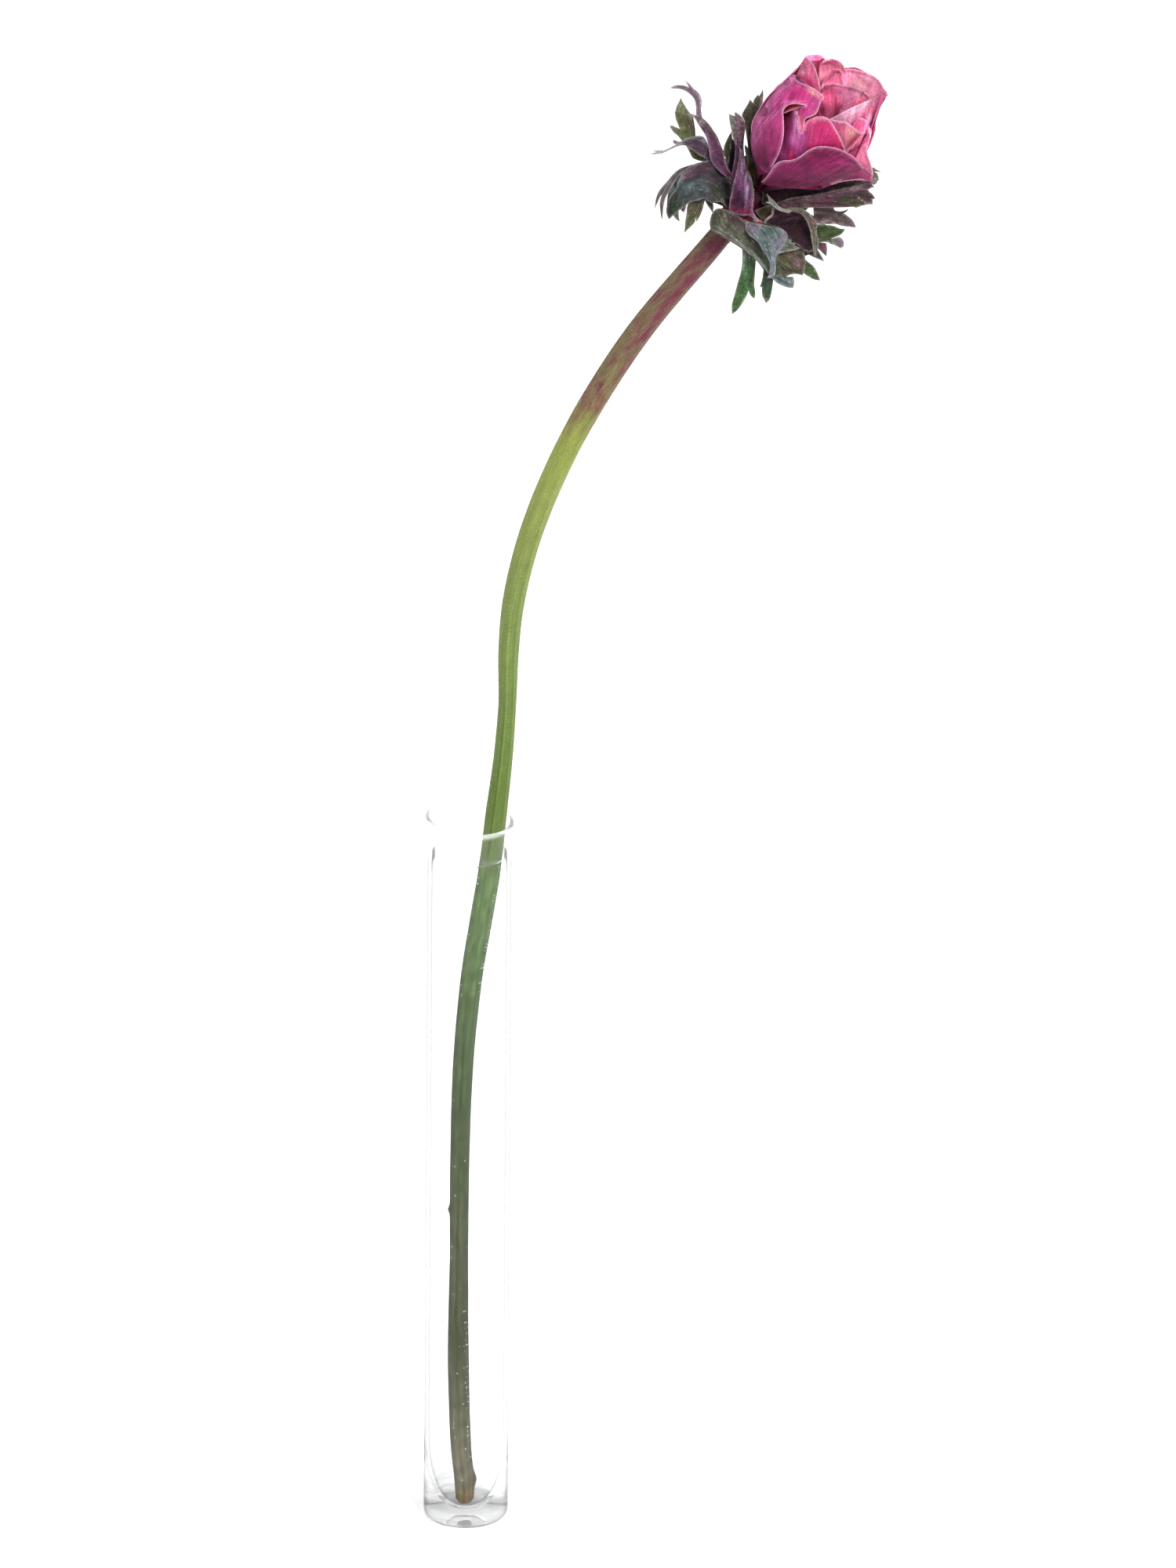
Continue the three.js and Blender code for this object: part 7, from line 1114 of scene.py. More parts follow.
        [(3.3, 3.8), (6, 4.5), (11.1, 4.7), (15.1, 5.1), (20.6, 6.5), (25.3, 7.6), (30.4, 7.8), (31.7, 6.8),
         (31.4, 5.8), (28.7, 5.1), (25.3, 4.3), (18.5, 2.7), (13.8, 1.7), (9.7, 0.4), (6, -0.6), (3, 0.4)],
        [(3.3, 3.8, 3), (11.1, 2.8, 4.4), (20.6, 4.5, 4.6), (30.4, 6.8, 5), (6, -0.6, 4.4)],
        [(3.3, 1.4), (11.8, 3.1), (21.9, 4.8), (31.4, 6.7)],
        (69, 48, 54), 0.12,
        [(5.7, 2.8, 1.6, 0.7, 20, (92, 42, 64), 0.85), (9.4, 3.5, 1.6, 0.5, 8, (81, 44, 58), 0.85),
         (13.8, 2.9, 1.4, 0.7, 10, (48, 25, 39), 0.9), (17.2, 3.6, 1.6, 0.6, 10, (33, 17, 29), 0.95),
         (18.2, 4.3, 1, 0.15, 14, (116, 106, 96), 0.8), (21.4, 4.1, 0.6, 0.35, 10, (183, 48, 89), 0.95),
         (23.6, 4.8, 1.6, 0.5, 16, (64, 69, 56), 0.9), (25.3, 6.5, 2, 0.6, 14, (81, 85, 69), 0.9),
         (28, 5.8, 1.6, 0.3, 14, (116, 119, 104), 0.85), (29.7, 6.8, 1.4, 0.4, 8, (58, 64, 52), 0.9),
         (27, 5.1, 1.4, 0.2, 14, (144, 142, 131), 0.8)]),
}


def srgb(r, g, b):
    """A colour given as it is seen on a screen, 0 to 255, as light."""
    return tuple((v / 255 / 12.92) if v < 10.3 else ((v / 255 + 0.055) / 1.055) ** 2.4 for v in (r, g, b))


def mix(a, b, t):
    return a + (b - a) * t


def clamp(t):
    return min(1.0, max(0.0, t))


def ease(a, b, x):
    """0 below a, 1 above b, and smooth between."""
    t = clamp((x - a) / (b - a))
    return t * t * (3 - 2 * t)


def blend(a, b, t):
    return tuple(mix(x, y, t) for x, y in zip(a, b))


def smooth(knots, t):
    """A value between the knots of a list, by the Catmull-Rom rule."""
    at = clamp(t) * (len(knots) - 1)
    low = min(len(knots) - 2, int(at))
    u = at - low
    a, b, c, d = (knots[min(len(knots) - 1, max(0, low + k))] for k in (-1, 0, 1, 2))
    return [0.5 * (2 * q + (r - p) * u + (2 * p - 5 * q + 4 * r - s) * u * u
                   + (3 * q - p - 3 * r + s) * u ** 3)
            for p, q, r, s in zip(a, b, c, d)]


def curve(knots, t):
    """A point on a smooth line through knots, its steps set by their distances (centripetal rule)."""
    last = len(knots) - 1
    at = clamp(t) * last
    low = min(last - 1, int(at))
    u = at - low
    b, c = Vector(knots[low]), Vector(knots[low + 1])
    a = Vector(knots[low - 1]) if low > 0 else b * 2 - c
    d = Vector(knots[low + 2]) if low + 2 <= last else c * 2 - b
    ab, bc, cd = (max(1e-4, (q - p).length ** 0.5) for p, q in ((a, b), (b, c), (c, d)))
    start = ((b - a) / ab - (c - a) / (ab + bc) + (c - b) / bc) * bc
    end = ((c - b) / bc - (d - b) / (bc + cd) + (d - c) / cd) * bc
    return b + start * u + (3 * (c - b) - 2 * start - end) * u * u + (2 * (b - c) + start + end) * u ** 3


def wander(x, y, z, seed=0.0):
    """Soft random value from -1 to 1."""
    return noise.noise(Vector((x + seed * 7.3, y - seed * 3.1, z + seed * 1.7)))


# Mesh making
class Shape:
    """Vertices, faces, texture places and colours of one piece, gathered part by part."""

    def __init__(self):
        self.points, self.faces, self.places, self.tints = [], [], [], []

    def add(self, points, faces, places, tints):
        start = len(self.points)
        self.points += points
        self.faces += [tuple(start + i for i in face) for face in faces]
        self.places += places
        self.tints += tints

    def build(self, name, material, placing=Matrix()):
        mesh = bpy.data.meshes.new(name)
        mesh.from_pydata([placing @ p * MM for p in self.points], [], self.faces)
        mesh.update()
        mesh.polygons.foreach_set("use_smooth", [True] * len(mesh.polygons))
        mesh.uv_layers.new(name="places")
        mesh.color_attributes.new("tint", "FLOAT_COLOR", "POINT")
        corners = [self.places[loop.vertex_index] for loop in mesh.loops]
        mesh.uv_layers["places"].data.foreach_set("uv", [v for corner in corners for v in corner])
        tints = [v for tint in self.tints for v in (*tint, 1)]
        mesh.color_attributes["tint"].data.foreach_set("color", tints)
        return add_object(name, mesh, material)


def add_object(name, mesh, material):
    mesh.materials.append(material)
    piece = bpy.data.objects.new(name, mesh)
    bpy.context.scene.collection.objects.link(piece)
    return piece


def ring_faces(rings, sides, closed=False):
    """Faces between rings of points. The last ring meets the first if closed, else both ends are capped."""
    faces = []
    for k in range(rings if closed else rings - 1):
        low, high = k * sides, (k + 1) % rings * sides
        for i in range(sides):
            j = (i + 1) % sides
            faces.append((low + i, low + j, high + j, high + i))
    if not closed:
        faces.append(tuple(reversed(range(sides))))
        faces.append(tuple((rings - 1) * sides + i for i in range(sides)))
    return faces


def add_sheet(shape, grid, thickness, place, tint, shift=None):
    """A thin closed sheet round a grid of points. place gives a texture place for a row and a column,
    tint a colour for a row, a column and the way out, and shift how far the sheet stands off there."""
    rows, columns = len(grid), len(grid[0])

    def at(i, j):
        return grid[min(rows - 1, max(0, i))][min(columns - 1, max(0, j))]

    points, places, tints = [], [], []
    for face in (FRONT, BACK):
        for i in range(rows):
            for j in range(columns):
                along = at(i + 1, j) - at(i - 1, j)
                across = at(i, j + 1) - at(i, j - 1)
                normal = across.cross(along).normalized()
                edge = min(i / (rows - 1), 1 - i / (rows - 1), j / (columns - 1), 1 - j / (columns - 1))
                half = thickness / 2 * mix(0.45, 1, ease(0, 0.05, edge))
                points.append(at(i, j) + normal * (half * face + (shift(i, j) if shift else 0)))
                places.append(place(i, j))
                tints.append(tint(i, j, normal * face))
    count = rows * columns
    faces = []
    for i in range(rows - 1):
        for j in range(columns - 1):
            a, d = i * columns + j, (i + 1) * columns + j
            faces += [(a, a + 1, d + 1, d), (a + count, d + count, d + 1 + count, a + 1 + count)]
    rim = list(range(columns - 1))
    rim += [i * columns + columns - 1 for i in range(rows - 1)]
    rim += [(rows - 1) * columns + j for j in range(columns - 1, 0, -1)]
    rim += [i * columns for i in range(rows - 1, 0, -1)]
    for k, a in enumerate(rim):
        b = rim[(k + 1) % len(rim)]
        faces.append((b, a, a + count, b + count))
    shape.add(points, faces, places, tints)


# Materials
class Paint:
    """A material, with short ways to add nodes to its shader."""

    def __init__(self, name):
        self.material = bpy.data.materials.new(name)
        self.material.use_nodes = True
        self.nodes = self.material.node_tree.nodes
        self.links = self.material.node_tree.links
        self.shader = self.nodes["Principled BSDF"]

    def set(self, key, value):
        self.shader.inputs[key].default_value = value

    def use(self, key, output):
        self.links.new(output, self.shader.inputs[key])

    def grain(self, place, scale, detail):
        """Noise with a scale for each axis."""
        mapping = self.nodes.new("ShaderNodeMapping")
        mapping.inputs["Scale"].default_value = scale
        self.links.new(place, mapping.inputs["Vector"])
        texture = self.nodes.new("ShaderNodeTexNoise")
        texture.inputs["Scale"].default_value = 1
        texture.inputs["Detail"].default_value = detail
        self.links.new(mapping.outputs["Vector"], texture.inputs["Vector"])
        return texture.outputs["Fac"]

    def ranged(self, value, low, high, to_low, to_high):
        node = self.nodes.new("ShaderNodeMapRange")
        for key, number in (("From Min", low), ("From Max", high), ("To Min", to_low), ("To Max", to_high)):
            node.inputs[key].default_value = number
        self.links.new(value, node.inputs["Value"])
        return node.outputs["Result"]

    def both(self, operation, one, other):
        node = self.nodes.new("ShaderNodeMath")
        node.operation = operation
        self.links.new(one, node.inputs[0])
        self.links.new(other, node.inputs[1])
        return node.outputs["Value"]


def textured(name, roughness, sheen, vein_scale, vein_depth, speck_scale, speck_depth, bump):
    """Leaf and petal: the painted tint, darkened along fine veins and in small specks, with a soft bump."""
    paint = Paint(name)
    paint.set("Sheen Weight", sheen)
    paint.set("Sheen Roughness", 0.5)
    paint.set("Specular IOR Level", 0.07)
    tint = paint.nodes.new("ShaderNodeAttribute")
    tint.attribute_name = "tint"
    place = paint.nodes.new("ShaderNodeUVMap")
    place.uv_map = "places"
    veins = paint.grain(place.outputs["UV"], (*vein_scale, 1), 2)
    specks = paint.grain(place.outputs["UV"], (*speck_scale, 1), 3)
    vein_dark = paint.ranged(veins, 0.35, 0.65, 1 - vein_depth, 1 + vein_depth * 0.6)
    speck_dark = paint.ranged(specks, 0.35, 0.65, 1 - speck_depth, 1 + speck_depth * 0.5)
    dark = paint.both("MULTIPLY", vein_dark, speck_dark)
    colour = paint.nodes.new("ShaderNodeVectorMath")
    colour.operation = "SCALE"
    paint.links.new(tint.outputs["Color"], colour.inputs[0])
    paint.links.new(dark, colour.inputs["Scale"])
    paint.use("Base Color", colour.outputs["Vector"])
    height = paint.nodes.new("ShaderNodeBump")
    height.inputs["Strength"].default_value = 0.6
    height.inputs["Distance"].default_value = bump * MM
    paint.links.new(dark, height.inputs["Height"])
    paint.use("Normal", height.outputs["Normal"])
    paint.use("Roughness", paint.ranged(specks, 0.3, 0.7, roughness + 0.08, roughness - 0.08))
    return paint.material


def clear(name, ior, tint, edge, cloud, haze):
    """Glass and water: clear, with painted shade where they are seen edge on and in faint streaks near the
    foot. A share of the glass is white instead, painted light where light would be caught in it: near the
    rim, at its lip and under its foot."""
    paint = Paint(name)
    paint.set("Roughness", 0.0)
    paint.set("IOR", ior)
    layer = paint.nodes.new("ShaderNodeLayerWeight")
    layer.inputs["Blend"].default_value = 0.5
    facing = layer.outputs["Facing"]
    place = paint.nodes.new("ShaderNodeTexCoord").outputs["Object"]
    parts = paint.nodes.new("ShaderNodeSeparateXYZ")
    paint.links.new(place, parts.inputs["Vector"])

    def by_height(heights, to_low, to_high):
        return paint.ranged(parts.outputs["Z"], *(z * MM for z in heights), to_low, to_high)

    # Painted shade: the sides of the glass go darker where they are seen edge on, less so at the rim, and
    # faint streaks darken the glass near the foot.
    below_rim = by_height(RIM_FADE, 1.0, 0.12)
    near_foot = by_height(FOOT_STREAKS, 1.0, 0.0)
    wall_shade = paint.both("MULTIPLY", paint.ranged(facing, 0.54, 0.82, 0.0, 1.0), below_rim)
    streaks = paint.ranged(paint.grain(place, (40, 40, 420), 3), 0.42, 0.66, 0.0, cloud)
    dim = paint.nodes.new("ShaderNodeMix")
    dim.data_type = "RGBA"
    dim.inputs[MIX_FIRST].default_value = (*tint, 1)
    dim.inputs[MIX_SECOND].default_value = (*(c * edge for c in tint), 1)
    share = paint.both("ADD", wall_shade, paint.both("MULTIPLY", streaks, near_foot))
    paint.links.new(share, dim.inputs[MIX_SHARE])
    paint.use("Base Color", dim.outputs[MIX_RESULT])

    # Painted light: a white share near the rim where the glass is seen edge on, at the lip and under the
    # foot, with a fine haze besides.
    grazing = paint.ranged(facing, 0.45, 0.8, 0.0, 0.3)
    rim_light = paint.both("MULTIPLY", grazing, by_height(RIM_PAINTED_LIGHT, 0.0, 1.0))
    lip = by_height(LIP_PAINTED_LIGHT, 0.0, 0.22)
    under = by_height(FOOT_PAINTED_LIGHT, 0.5, 0.0)
    fine = paint.ranged(paint.grain(place, (200, 200, 200), 2), 0.0, 1.0, 0.0, haze)
    white = paint.both("MAXIMUM", paint.both("MAXIMUM", rim_light, lip), under)
    white = paint.both("MAXIMUM", white, fine)
    clearness = paint.nodes.new("ShaderNodeMath")
    clearness.operation = "SUBTRACT"
    clearness.inputs[0].default_value = 1.0
    paint.links.new(white, clearness.inputs[1])
    paint.use("Transmission Weight", clearness.outputs["Value"])
    return paint.material


# Vase and water
def bowl_height(radius):
    share = 1 - (radius / (TUBE_RADIUS - TUBE_WALL)) ** BOWL_SQUARENESS
    return BOWL_TOP - (BOWL_TOP - BOWL_BOTTOM) * max(0, share) ** (1 / BOWL_SQUARENESS)


def bowl_profile(inset):
    radius = TUBE_RADIUS - TUBE_WALL
    line = []
    for k in range(BOWL_STEPS + 1):
        turn = k / BOWL_STEPS * math.pi / 2
        r = radius * math.sin(turn)
        line.append((max(0, r - inset * math.sin(turn)), bowl_height(r) + inset * math.cos(turn)))
    return line


def arc(x, z, radius, start, end, steps):
    return [(x + radius * math.cos(math.radians(mix(start, end, k / steps))),
             z + radius * math.sin(math.radians(mix(start, end, k / steps)))) for k in range(steps + 1)]


def lathe(name, profile, material, slant=True):
    """Turns a profile of radius and height round the vase's axis, with the top of the tube slanted."""
    points, faces, rings = [], [], []
    for radius, height in profile:
        ring = []
        for i in range(1 if radius < 1e-6 else VASE_SIDES):
            turn = 2 * math.pi * i / VASE_SIDES
            x, y = radius * math.cos(turn), radius * math.sin(turn)
            share = clamp((height - SLANT_START) / (TUBE_HEIGHT - SLANT_START)) if slant else 0
            ring.append(len(points))
            points.append(Vector((x, y, height - RIM_SLANT * x * share * share)))
        rings.append(ring)
    for a, b in zip(rings, rings[1:]):
        for i in range(VASE_SIDES):
            j = (i + 1) % VASE_SIDES
            if len(a) == 1:
                faces.append((a[0], b[j], b[i]))
            elif len(b) == 1:
                faces.append((a[i], a[j], b[0]))
            else:
                faces.append((a[i], a[j], b[j], b[i]))
    shape = Shape()
    shape.add(points, faces, [(0, 0)] * len(points), [(1, 1, 1)] * len(points))
    return shape.build(name, material)


def make_tube():
    inner = TUBE_RADIUS - TUBE_WALL
    lip = TUBE_RADIUS + LIP_FLARE
    foot = TUBE_RADIUS - FOOT_ROUNDING
    profile = [(0, 0.7), (foot * 0.3, 0.66), (foot * 0.6, 0.45), (foot * 0.8, 0.2), (foot * 0.92, 0.05)]
    profile += arc(foot, FOOT_ROUNDING, FOOT_ROUNDING, -90, 0, 10)
    profile += [(TUBE_RADIUS, z) for z in (3, 6, 12, 24, 60, 100, 140, 160, 180, 188, 192)]
    profile += [(TUBE_RADIUS + 0.06, 194), (TUBE_RADIUS + 0.2, TUBE_HEIGHT - 2)]
    profile += arc(lip - LIP_RADIUS, TUBE_HEIGHT - LIP_RADIUS, LIP_RADIUS, -25, 180, 14)
    profile += [(inner + 0.16, TUBE_HEIGHT - 2), (inner + 0.04, 194)]
    profile += [(inner, z) for z in (192, 188, 180, 160, 140, 100, 60, 30)]
    profile += list(reversed(bowl_profile(0)))
    return lathe("tube", profile, clear("vase glass", 1.14, (0.985, 0.99, 0.993), 0.18, 0.5, 0.012))


def make_water():
    radius = TUBE_RADIUS - TUBE_WALL - WATER_GAP
    profile = bowl_profile(WATER_GAP)
    profile += [(radius, z) for z in (30, 60, 100, 140, 160, 175, 184)]
    for inset, rise in ((0, 1), (0.25, 0.62), (0.6, 0.32), (1.2, 0.1)):
        profile.append((radius - inset, WATER_LEVEL + MENISCUS * rise))
    profile += [(radius - 2, WATER_LEVEL), (5, WATER_LEVEL), (0, WATER_LEVEL)]
    water_look = clear("water", 1.02, (0.99, 0.995, 0.993), 0.97, 0.0, 0.0)
    return lathe("clear_water", profile, water_look, slant=False)


# Stem
def stem_line(t):
    at = clamp(t) * (len(STEM_LINE) - 1)
    low = min(len(STEM_LINE) - 2, int(at))
    place = curve([knot[:3] for knot in STEM_LINE], t)
    return (*place, mix(STEM_LINE[low][3], STEM_LINE[low + 1][3], at - low))


def along_lines(z, turn):
    """Height, and the lightness of the painted highlight on ridges and painted shade in grooves, that the
    lines along the stem give to a place on its skin.
    """
    rise, light = 0.0, 1.0
    degrees = math.degrees(turn) % 360
    for low, high, middle, width, height, painted_tone in STEM_LINES:
        middle += 4 * math.sin(z * 0.035 + middle)
        away = (degrees - middle + 180) % 360 - 180
        share = math.exp(-(away / width) ** 2) * ease(low - 14, low + 8, z)
        share *= 1 - ease(high - 8, high + 14, z)
        rise += height * share
        light *= 1 + (painted_tone - 1) * share
    return rise, light


def stem_colour(z, turn):
    """Tan at the cut, dull green under water, fresh green above and mottled mauve below the bud."""
    colour = srgb(*STEM_COLOURS[-1][1])
    for (low, a), (high, b) in zip(STEM_COLOURS, STEM_COLOURS[1:]):
        if z <= high:
            colour = blend(srgb(*a), srgb(*b), clamp((z - low) / (high - low)))
            break
    x, y = math.cos(turn), math.sin(turn)

    def mottle(round_scale, height_scale, seed=STEM_SEED):
        return wander(x * round_scale, y * round_scale, z * height_scale, seed)

    blotch = mottle(1.3, 0.2) + 0.6 * mottle(3, 0.6)
    blotch += 0.5 * mottle(6, 1.6) + 0.4 * mottle(12, 3)
    blotch += 0.5 * (-x - 0.1) * ease(316, 345, z) + 0.75 * ease(346, 370, z)
    mauve = ease(-0.55, 0.75, blotch) * ease(298, 322, z)
    colour = blend(colour, srgb(128, 114, 84), 0.75 * ease(300, 330, z) * (1 - ease(370, 384, z)))
    colour = blend(colour, blend(srgb(126, 52, 78), srgb(96, 38, 64), ease(346, 370, z)), mauve * 0.9)
    under_water = 1 - ease(186, 190, z)
    grain = mottle(2, 0.35, STEM_SEED + 5) + 0.6 * mottle(6, 1.4, STEM_SEED + 6)
    grain += 2.4 * (mottle(9, 1.9, STEM_SEED + 7) + mottle(16, 3.4, STEM_SEED + 8)) * ease(290, 320, z)
    colour = tuple(c * (1 + grain * (0.34 * under_water + 0.12)) for c in colour)
    # Painted highlight on the raised lines and painted shade in the sunk ones.
    light = along_lines(z, turn)[1]
    # Painted light and shade at the stem's sides as seen from the front: lighter edges above the water,
    # darker edges under it.
    side = 1 + 0.14 * ease(0.55, 1, abs(x)) * (1 - under_water) - 0.22 * ease(0.6, 1, abs(x)) * under_water
    return tuple(c * light * side * mix(0.64, 0.56, ease(300, 330, z)) for c in colour)


def stem_frame(t):
    x, y, z, radius = stem_line(t)
    ahead = Vector(stem_line(min(1, t + 0.002))[:3])
    behind = Vector(stem_line(max(0, t - 0.002))[:3])
    along = (ahead - behind).normalized()
    across = Vector((0, -1, 0)).cross(along).normalized()
    return Vector((x, y, z)), along, across, along.cross(across), radius


def stem_place(t, turn):
    """A point of the stem's skin, with the way out from it."""
    place, _, across, out, radius = stem_frame(t)
    rise, _ = along_lines(place.z, turn)
    lump = 0.016 * radius * wander(math.cos(turn) * 2, math.sin(turn) * 2, place.z * 0.1)
    rib = STEM_RIB_DEPTH * radius * math.cos(STEM_RIBS * turn)
    burr = 0.6 * math.exp(-((place.z - 10.4) / 1.8) ** 2) * ease(0.75, 1, -math.cos(turn))
    burr += 0.5 * math.exp(-((place.z - 88.5) / 0.9) ** 2) * ease(0.93, 1, math.cos(turn))
    way = across * math.cos(turn) + out * math.sin(turn)
    return place + way * (radius + rise + lump + rib + burr), way


def add_hair(shape, place, way, length, width, tint):
    """One short downy hair, a slim three-sided spike."""
    side = way.orthogonal().normalized()
    other = way.cross(side)
    ring = [place + (side * math.cos(a) + other * math.sin(a)) * width for a in (0, 2.094, 4.189)]
    points = [p - way * 0.1 for p in ring] + [place + way * length]
    shape.add(points, [(0, 1, 3), (1, 2, 3), (2, 0, 3), (2, 1, 0)], [(0.5, 0.5)] * 4, [tint] * 4)


def add_bead(shape, place, radius, tint):
    """One tiny round bubble."""
    points, faces = [place + Vector((0, 0, -radius))], []
    for level in (-0.5, 0.5):
        for i in range(6):
            turn = math.radians(60 * i + 60 * level)
            flat = radius * math.sqrt(1 - level * level)
            points.append(place + Vector((flat * math.cos(turn), flat * math.sin(turn), level * radius)))
    points.append(place + Vector((0, 0, radius)))
    for i in range(6):
        j = (i + 1) % 6
        faces += [(0, 1 + j, 1 + i), (1 + i, 1 + j, 7 + i), (1 + j, 7 + j, 7 + i), (7 + i, 7 + j, 13)]
    shape.add(points, faces, [(0.5, 0.5)] * 14, [tint] * 14)


def make_stem():
    points, places, tints = [], [], []
    for k in range(STEM_RINGS + 1):
        for i in range(STEM_SIDES):
            turn = 2 * math.pi * i / STEM_SIDES
            point, _ = stem_place(k / STEM_RINGS, turn)
            points.append(point)
            places.append((i / STEM_SIDES, point.z / 60))
            tints.append(stem_colour(point.z, turn))
    shape = Shape()
    shape.add(points, ring_faces(STEM_RINGS + 1, STEM_SIDES), places, tints)
    dice = random.Random(STEM_DICE)
    for _ in range(DOWN_COUNT):
        t = dice.uniform(*DOWN_RANGE)
        turn = dice.uniform(0, 2 * math.pi)
        point, way = stem_place(t, turn)
        along = stem_frame(t)[1]
        lean = way + along * dice.uniform(-0.5, 0.5) + way.cross(along) * dice.uniform(-0.5, 0.5)
        lean.normalize()
        # Hairs that lie across the view are paler: a painted highlight on the down along the stem's outline.
        tint = blend(stem_colour(point.z, turn), srgb(*DOWN_COLOUR), mix(0.65, 0.08, abs(lean.y)))
        add_hair(shape, point, lean, dice.uniform(*DOWN_LENGTH), DOWN_WIDTH, tint)
    for low, high, count, turns in BUBBLES:
        for _ in range(count):
            height = dice.uniform(low, high)
            turn = math.radians(dice.uniform(*turns))
            t = next(k / 400 for k in range(401) if stem_line(k / 400)[2] >= height)
            point, way = stem_place(t, turn)
            add_bead(shape, point + way * 0.03, dice.uniform(*BUBBLE_RADIUS), srgb(*BUBBLE_GLINT_COLOUR))
    skin = textured("stem skin", 0.55, 0.04, (60, 3), 0.12, (110, 130), 0.3, 0.1)
    return shape.build("flower_stem", skin)


# Bud
def side_radius(outline, height):
    for (low, narrow), (high, wide) in zip(outline, outline[1:]):
        if height < high:
            return mix(narrow, wide, clamp((height - low) / (high - low)))
    return outline[-1][1]


def bud_radius(height, angle):
    return mix(side_radius(BUD_LEFT, height), side_radius(BUD_RIGHT, height), (1 + math.cos(angle)) / 2)


def bud_polar(x, y, z):
    away = Vector((x, y, z)) - BUD_BASE
    right, far = away.dot(BUD_SIDE), away.dot(BUD_FAR)
    return [math.atan2(far, right), away.dot(BUD_AXIS), math.hypot(right, far)]


def bud_point(angle, height, radius):
    across = BUD_SIDE * (radius * math.cos(angle))
    return BUD_BASE + BUD_AXIS * height + across + BUD_FAR * (radius * math.sin(angle))


def off_bud(x, y, z, lift):
    """How far a place is outside the egg shape, its skin raised by a lift."""
    angle, height, radius = bud_polar(x, y, z)
    return radius - bud_radius(height, angle) - lift


def crossing(outside, middle, facing, halvings):
    """Depth at which the way from the middle of a shape to the front or the back leaves it."""
    if outside(middle) >= 0:
        return middle
    near, far = middle, middle + 45 * facing
    for _ in range(halvings):
        half = (near + far) / 2
        if outside(half) < 0:
            near = half
        else:
            far = half
    return near


def on_bud(x, y, lift, facing=FRONT):
    """Finds how far forward a point seen at x, y lies when it stands off the egg shape by its lift."""
    if facing == EDGE:
        far = (x - BUD_BASE.x) * BUD_FAR.x + (y - BUD_BASE.y) * BUD_FAR.y
        angle, height, radius = bud_polar(x, y, BUD_BASE.z - far / BUD_FAR.z)
        return [angle, height, radius + lift]

    def outside(z):
        return off_bud(x, y, z, lift)

    middle = min((-30 + 0.5 * k for k in range(141)), key=outside)
    return bud_polar(x, y, crossing(outside, middle, facing, 30))


def bud_depth(spot, lift, facing):
    """How far forward the egg shape's skin, raised by a lift, lies under a spot."""
    def outside(z):
        return off_bud(spot.x, spot.y, z, lift)

    middle = min((-30 + 1.4 * k for k in range(51)), key=outside)
    middle = min((middle - 1.2 + 0.3 * k for k in range(9)), key=outside)
    return crossing(outside, middle, facing, 14)


def with_claw(rows):
    """Adds the hidden claw of a petal, from the bud's base up to its first row."""
    first = rows[0]
    centre = sum(point[0] for point in first) / len(first)
    claw = []
    for share in (0, 0.35, 0.7):
        line = []
        for angle, height, radius in first:
            rise = mix(CLAW_START, height, share)
            lift = radius - bud_radius(height, angle)
            turn = centre + (angle - centre) * mix(CLAW_NARROWING, 1, share)
            line.append([turn, rise, max(CLAW_RADIUS, bud_radius(rise, turn) + lift * share * share)])
        claw.append(line)
    return claw + rows


def seen_petal(rows):
    polar = [[on_bud(*point) for point in row] for row in rows]
    last = polar[0][len(polar[0]) // 2][0]
    for row in polar:
        for point in row:
            point[0] += round((last - point[0]) / (2 * math.pi)) * 2 * math.pi
            last = point[0]
        last = row[0][0]
    return with_claw(polar)


def hidden_petal(petal):
    rows = []
    for level, width in ((0.3, 0.8), (0.55, 1), (0.8, 0.95), (1, 0.6)):
        line = []
        for side in (-1, -0.5, 0, 0.5, 1):
            rise = petal["height"] * level * (1 - 0.06 * side * side * level)
            turn = math.radians(petal["angle"] + petal["spread"] * width * side)
            line.append([turn, rise, bud_radius(rise, turn) + petal["lift"]])
        rows.append(line)
    return with_claw(rows)


def marked(colour, marks, point):
    """Lays soft oval marks over a colour, at their places as seen from the front."""
    for x, y, length, width, slope, tint, strength in marks:
        turn = math.radians(slope)
        right, up = point.x - x, point.y - y
        along = (right * math.cos(turn) + up * math.sin(turn)) / length
        across = (up * math.cos(turn) - right * math.sin(turn)) / width
        share = strength * math.exp(-(along * along + across * across))
        if share > 0.004:
            colour = blend(colour, srgb(*tint), share)
    return colour


